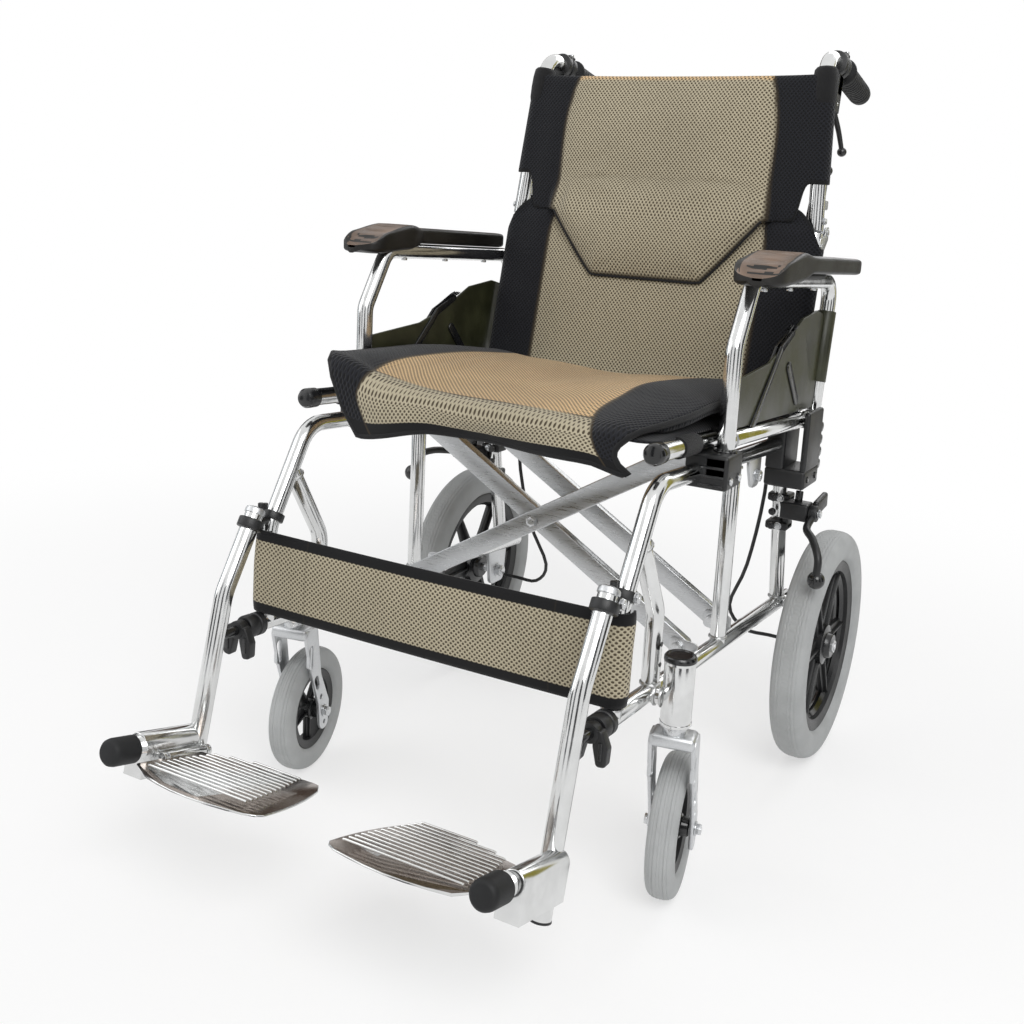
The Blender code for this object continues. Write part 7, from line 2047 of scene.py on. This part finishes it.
def brake_cable(side):
    """The attendant brake's cable: down behind the cane, a slack loop, and to the wheel's hub."""
    name = SIDES[side]
    place, _, _ = brake_place(side)
    start = place + Vector((0, -0.002, -0.062))
    route = [start + Vector((0, 0, -0.0005)), start + Vector((0, -0.004, -0.030)),
             (side * 0.1960, 0.3100, 0.740),
             (side * 0.1900, 0.2900, 0.620), (side * 0.1870, 0.2640, 0.470), (side * 0.1860, 0.2590, 0.350),
             (side * 0.1680, 0.2700, 0.245), (side * 0.1440, 0.2850, 0.178), (side * 0.1640, 0.2950, 0.145),
             (side * 0.2000, 0.2985, 0.142), (side * (AXLE_PLATE_X - 0.003 - GAP), 0.2985, 0.142)]
    return smooth_route(route, 4), name


class FrameCables(bpy.types.Operator):
    """Make the two brake cables"""

    bl_idname = "chair.cables"
    bl_label = "Brake cables"

    def execute(self, context):
        for side in SIDES:
            route, name = brake_cable(side)
            thing = soft_tube(f"cable_{name}", route, sizes().cable_radius, 16, "cable_sheath")
            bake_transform(thing)
            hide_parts(f"brake_cable_{name}")
            long = sum((b - a).length for a, b in zip(route, route[1:]))
            tuple(route[0])
            [tuple(point) for point in route]
        return {"FINISHED"}


# Operators

def both(*makers):
    """Runs makers for the left and the right side."""
    for side in SIDES:
        for maker in makers:
            maker(side)
    return {"FINISHED"}


class SideFrames(bpy.types.Operator):
    """Make the two welded side frames"""

    bl_idname = "chair.frames"
    bl_label = "Side frames"

    def execute(self, context):
        return both(side_frame)


class RearWheels(bpy.types.Operator):
    """Make the rear wheels and tyres"""

    bl_idname = "chair.rear_wheels"
    bl_label = "Rear wheels"

    def execute(self, context):
        return both(rear_wheel)


class Casters(bpy.types.Operator):
    """Make the caster forks, wheels and tyres"""

    bl_idname = "chair.casters"
    bl_label = "Casters"

    def execute(self, context):
        return both(caster)


class FoldingCross(bpy.types.Operator):
    """Make the cross bars and the seat rails"""

    bl_idname = "chair.cross"
    bl_label = "Folding cross"

    def execute(self, context):
        return both(cross)


class Hangers(bpy.types.Operator):
    """Make the front hangers, their foot blocks and bumpers, and the catches"""

    bl_idname = "chair.hangers"
    bl_label = "Front hangers"

    def execute(self, context):
        return both(hanger, catch)


class Footplates(bpy.types.Operator):
    """Make the footplates"""

    bl_idname = "chair.footplates"
    bl_label = "Footplates"

    def execute(self, context):
        return both(footplate)


class Armrests(bpy.types.Operator):
    """Make the armrests, their pads and the side panels"""

    bl_idname = "chair.armrests"
    bl_label = "Armrests"

    def execute(self, context):
        return both(armrest)


class FrameClamps(bpy.types.Operator):
    """Make the clamps that carry the armrests and the canes"""

    bl_idname = "chair.clamps"
    bl_label = "Frame clamps"

    def execute(self, context):
        return both(front_socket, rear_block)


class BackCanes(bpy.types.Operator):
    """Make the canes, the fold latches, the hand grips and the attendant brakes"""

    bl_idname = "chair.canes"
    bl_label = "Canes and handles"

    def execute(self, context):
        return both(canes, grip_and_brake)


class ParkingBrakes(bpy.types.Operator):
    """Make the parking brakes"""

    bl_idname = "chair.parking"
    bl_label = "Parking brakes"

    def execute(self, context):
        return both(park_brake)


class SoftSeat(bpy.types.Operator):
    """Make the seat cushion"""

    bl_idname = "chair.seat"
    bl_label = "Seat cushion"

    def execute(self, context):
        seat()
        return {"FINISHED"}


def sleeve_cap(side):
    """The thick black sleeve end at the top of each cane."""
    name = SIDES[side]
    heights = (0.846, 0.852, 0.866, 0.880, 0.889, 0.8925)
    radii = [sizes().cane_radius + grown for grown in (0.0030, 0.0045, 0.0052, 0.0050, 0.0040, 0.0012)]
    piece = Piece(f"sleeve_{name}", "binding_tape")
    piece.add(pipe([cane_point(side, z) for z in heights], radii, 28))
    piece.done(f"back_{name}", "back_upper")


class SoftBack(bpy.types.Operator):
    """Make the upper and lower back panels and the lap between them"""

    bl_idname = "chair.back"
    bl_label = "Back panels"

    def execute(self, context):
        upper_back()
        lower_back()
        return both(sleeve_cap)


class SoftStrap(bpy.types.Operator):
    """Make the calf strap"""

    bl_idname = "chair.strap"
    bl_label = "Calf strap"

    def execute(self, context):
        calf_strap()
        return {"FINISHED"}


# Cards round the chair that the polished tubes mirror: name, turn about Z, width and colour

CARD_REACH = 2.6
CARDS = (
    ("card_at_camera", -63, 0.75, (0.030, 0.030, 0.035)),
    ("card_right_front", -18, 0.80, (0.050, 0.055, 0.060)),
    ("card_right", 22, 1.10, (0.020, 0.020, 0.020)),
    ("card_olive", 52, 0.85, (0.330, 0.290, 0.030)),
    ("card_back_right", 80, 0.90, (0.015, 0.015, 0.012)),
    ("card_brown", 116, 1.60, (0.090, 0.060, 0.045)),
    ("card_back_left", 152, 1.05, (0.020, 0.020, 0.022)),
    ("card_slate", -172, 0.75, (0.130, 0.190, 0.230)),
    ("card_left", -140, 0.95, (0.020, 0.020, 0.024)),
    ("card_left_front", -104, 0.60, (0.060, 0.065, 0.075)),
)


def seen_directly(wiring):
    """1 for what the camera sees, in glass and gloss too, 0 for the light on the pieces."""
    rays = wiring.node("ShaderNodeLightPath").outputs
    return wiring.math("MAXIMUM", rays["Is Camera Ray"],
                       wiring.math("MAXIMUM", rays["Is Glossy Ray"], rays["Is Transmission Ray"]))


def lamp(name, place, aim, power, width):
    """A soft square lamp aimed at a point."""
    data = bpy.data.lights.new(name, "AREA")
    data.energy = power
    data.size = width
    thing = bpy.data.objects.new(name, data)
    thing.location = place
    thing.rotation_euler = (Vector(aim) - Vector(place)).to_track_quat("-Z", "Y").to_euler()
    bpy.context.scene.collection.objects.link(thing)


def card(name, place, aim, width, height, tint):
    """A dark or tinted card that only the gloss of the tubes shows."""
    part = bmesh.new()
    bmesh.ops.create_grid(part, x_segments=1, y_segments=1, size=0.5,
                          matrix=Matrix.Diagonal((width, height, 1, 1)))
    thing = new_object(name, part)
    made = bpy.data.materials.new(name)
    made.use_nodes = True
    shader = made.node_tree.nodes["Principled BSDF"]
    shader.inputs["Base Color"].default_value = (*tint, 1.0)
    shader.inputs["Roughness"].default_value = 1.0
    thing.data.materials.append(made)
    thing.location = place
    thing.rotation_euler = (Vector(aim) - Vector(place)).to_track_quat("Z", "Y").to_euler()
    for ray in ("camera", "diffuse", "shadow", "transmission"):
        setattr(thing, "visible_" + ray, False)


class Stage(bpy.types.Operator):
    """Make the floor, the light and the camera"""

    bl_idname = "chair.stage"
    bl_label = "Stage"

    def execute(self, context):
        scene = bpy.context.scene
        scene.view_settings.view_transform = "Standard"
        part = bmesh.new()
        bmesh.ops.create_grid(part, x_segments=2, y_segments=2, size=30.0)
        floor = new_object("studio_floor", part)
        floor.location = (0, 0, -0.0006)
        made = bpy.data.materials.new("studio_floor")
        made.use_nodes = True
        tree = made.node_tree
        wiring = Wiring(tree)
        shader = tree.nodes["Principled BSDF"]
        shader.inputs["Base Color"].default_value = rgba(colours().floor)
        shader.inputs["Roughness"].default_value = 0.9
        shader.inputs["Specular IOR Level"].default_value = 0.0
        glow = wiring.node("ShaderNodeEmission")
        glow.inputs["Strength"].default_value = 1.0
        mixed = wiring.node("ShaderNodeMixShader")
        apart = wiring.node("ShaderNodeVectorMath", operation="LENGTH")
        wiring.plug(apart.inputs[0], wiring.node("ShaderNodeTexCoord").outputs["Object"])
        far = wiring.span(apart.outputs["Value"], 0.7, 1.9, 0.55, 1.0)
        wiring.plug(mixed.inputs[0], wiring.math("MULTIPLY", seen_directly(wiring), far))
        wiring.plug(mixed.inputs[1], shader.outputs[0])
        wiring.plug(mixed.inputs[2], glow.outputs[0])
        wiring.plug(tree.nodes["Material Output"].inputs[0], mixed.outputs[0])
        floor.data.materials.append(made)
        world = bpy.data.worlds.new("studio")
        scene.world = world
        world.use_nodes = True
        wiring = Wiring(world.node_tree)
        back = world.node_tree.nodes["Background"]
        back.inputs["Color"].default_value = (1, 1, 1, 1)
        strength = wiring.span(seen_directly(wiring), 0.0, 1.0, 0.50, 1.0, smooth=False)
        wiring.plug(back.inputs["Strength"], strength)
        lamp("key_lamp", (1.5, -1.7, 2.3), (0, 0, 0.45), 46, 1.6)
        lamp("fill_lamp", (-2.0, -1.2, 1.3), (0, 0, 0.45), 16, 2.0)
        lamp("back_lamp", (0.3, 2.3, 1.9), (0, 0, 0.5), 18, 1.8)
        for name, turn, width, tint in CARDS:
            place = (CARD_REACH * cos(radians(turn)), CARD_REACH * sin(radians(turn)), 0.75)
            card(name, place, (0, 0, 0.75), width, 2.2, tint)
        data = bpy.data.cameras.new("photo_camera")
        data.sensor_width = 36.0
        data.lens = 41.635
        data.shift_y = -0.0703
        camera = bpy.data.objects.new("photo_camera", data)
        heading, pitch, roll = 0.507416, 0.207762, 0.050918
        forward = Vector((-sin(heading) * cos(pitch), cos(heading) * cos(pitch), -sin(pitch)))
        right = Vector((cos(heading), sin(heading), 0.0))
        above = right.cross(forward)
        aside = cos(roll) * right + sin(roll) * above
        upward = -sin(roll) * right + cos(roll) * above
        turn = Matrix((aside, upward, -forward)).transposed().to_4x4()
        camera.matrix_world = Matrix.Translation((0.629168, -1.230177, 0.723346)) @ turn
        scene.collection.objects.link(camera)
        scene.camera = camera
        return {"FINISHED"}


class ChairPanel(bpy.types.Panel):
    """Lists the pieces of the wheelchair"""

    bl_idname = "VIEW3D_PT_chair"
    bl_label = "Travel wheelchair"
    bl_space_type = "VIEW_3D"
    bl_region_type = "UI"
    bl_category = "Chair"

    def draw(self, context):
        for operator in OPERATORS:
            self.layout.operator(operator.bl_idname)
        for group in (context.scene.chair_sizes, context.scene.chair_colours):
            box = self.layout.box()
            for key in group.bl_rna.properties.keys():
                if key not in ("rna_type", "name"):
                    box.prop(group, key)


OPERATORS = (Stage, FrameCables, SideFrames, RearWheels, Casters, FoldingCross, Hangers, Footplates, Armrests,
             FrameClamps, BackCanes, ParkingBrakes, SoftSeat, SoftBack, SoftStrap)
CLASSES = (ChairSizes, ChairColours, *OPERATORS, ChairPanel)


def register():
    for item in CLASSES:
        bpy.utils.register_class(item)
    bpy.types.Scene.chair_sizes = bpy.props.PointerProperty(type=ChairSizes)
    bpy.types.Scene.chair_colours = bpy.props.PointerProperty(type=ChairColours)


def unregister():
    del bpy.types.Scene.chair_sizes
    del bpy.types.Scene.chair_colours
    for item in reversed(CLASSES):
        bpy.utils.unregister_class(item)


def main():
    register()
    for operator in OPERATORS:
        family, name = operator.bl_idname.split(".")
        getattr(getattr(bpy.ops, family), name)()


if __name__ == "__main__":
    main()
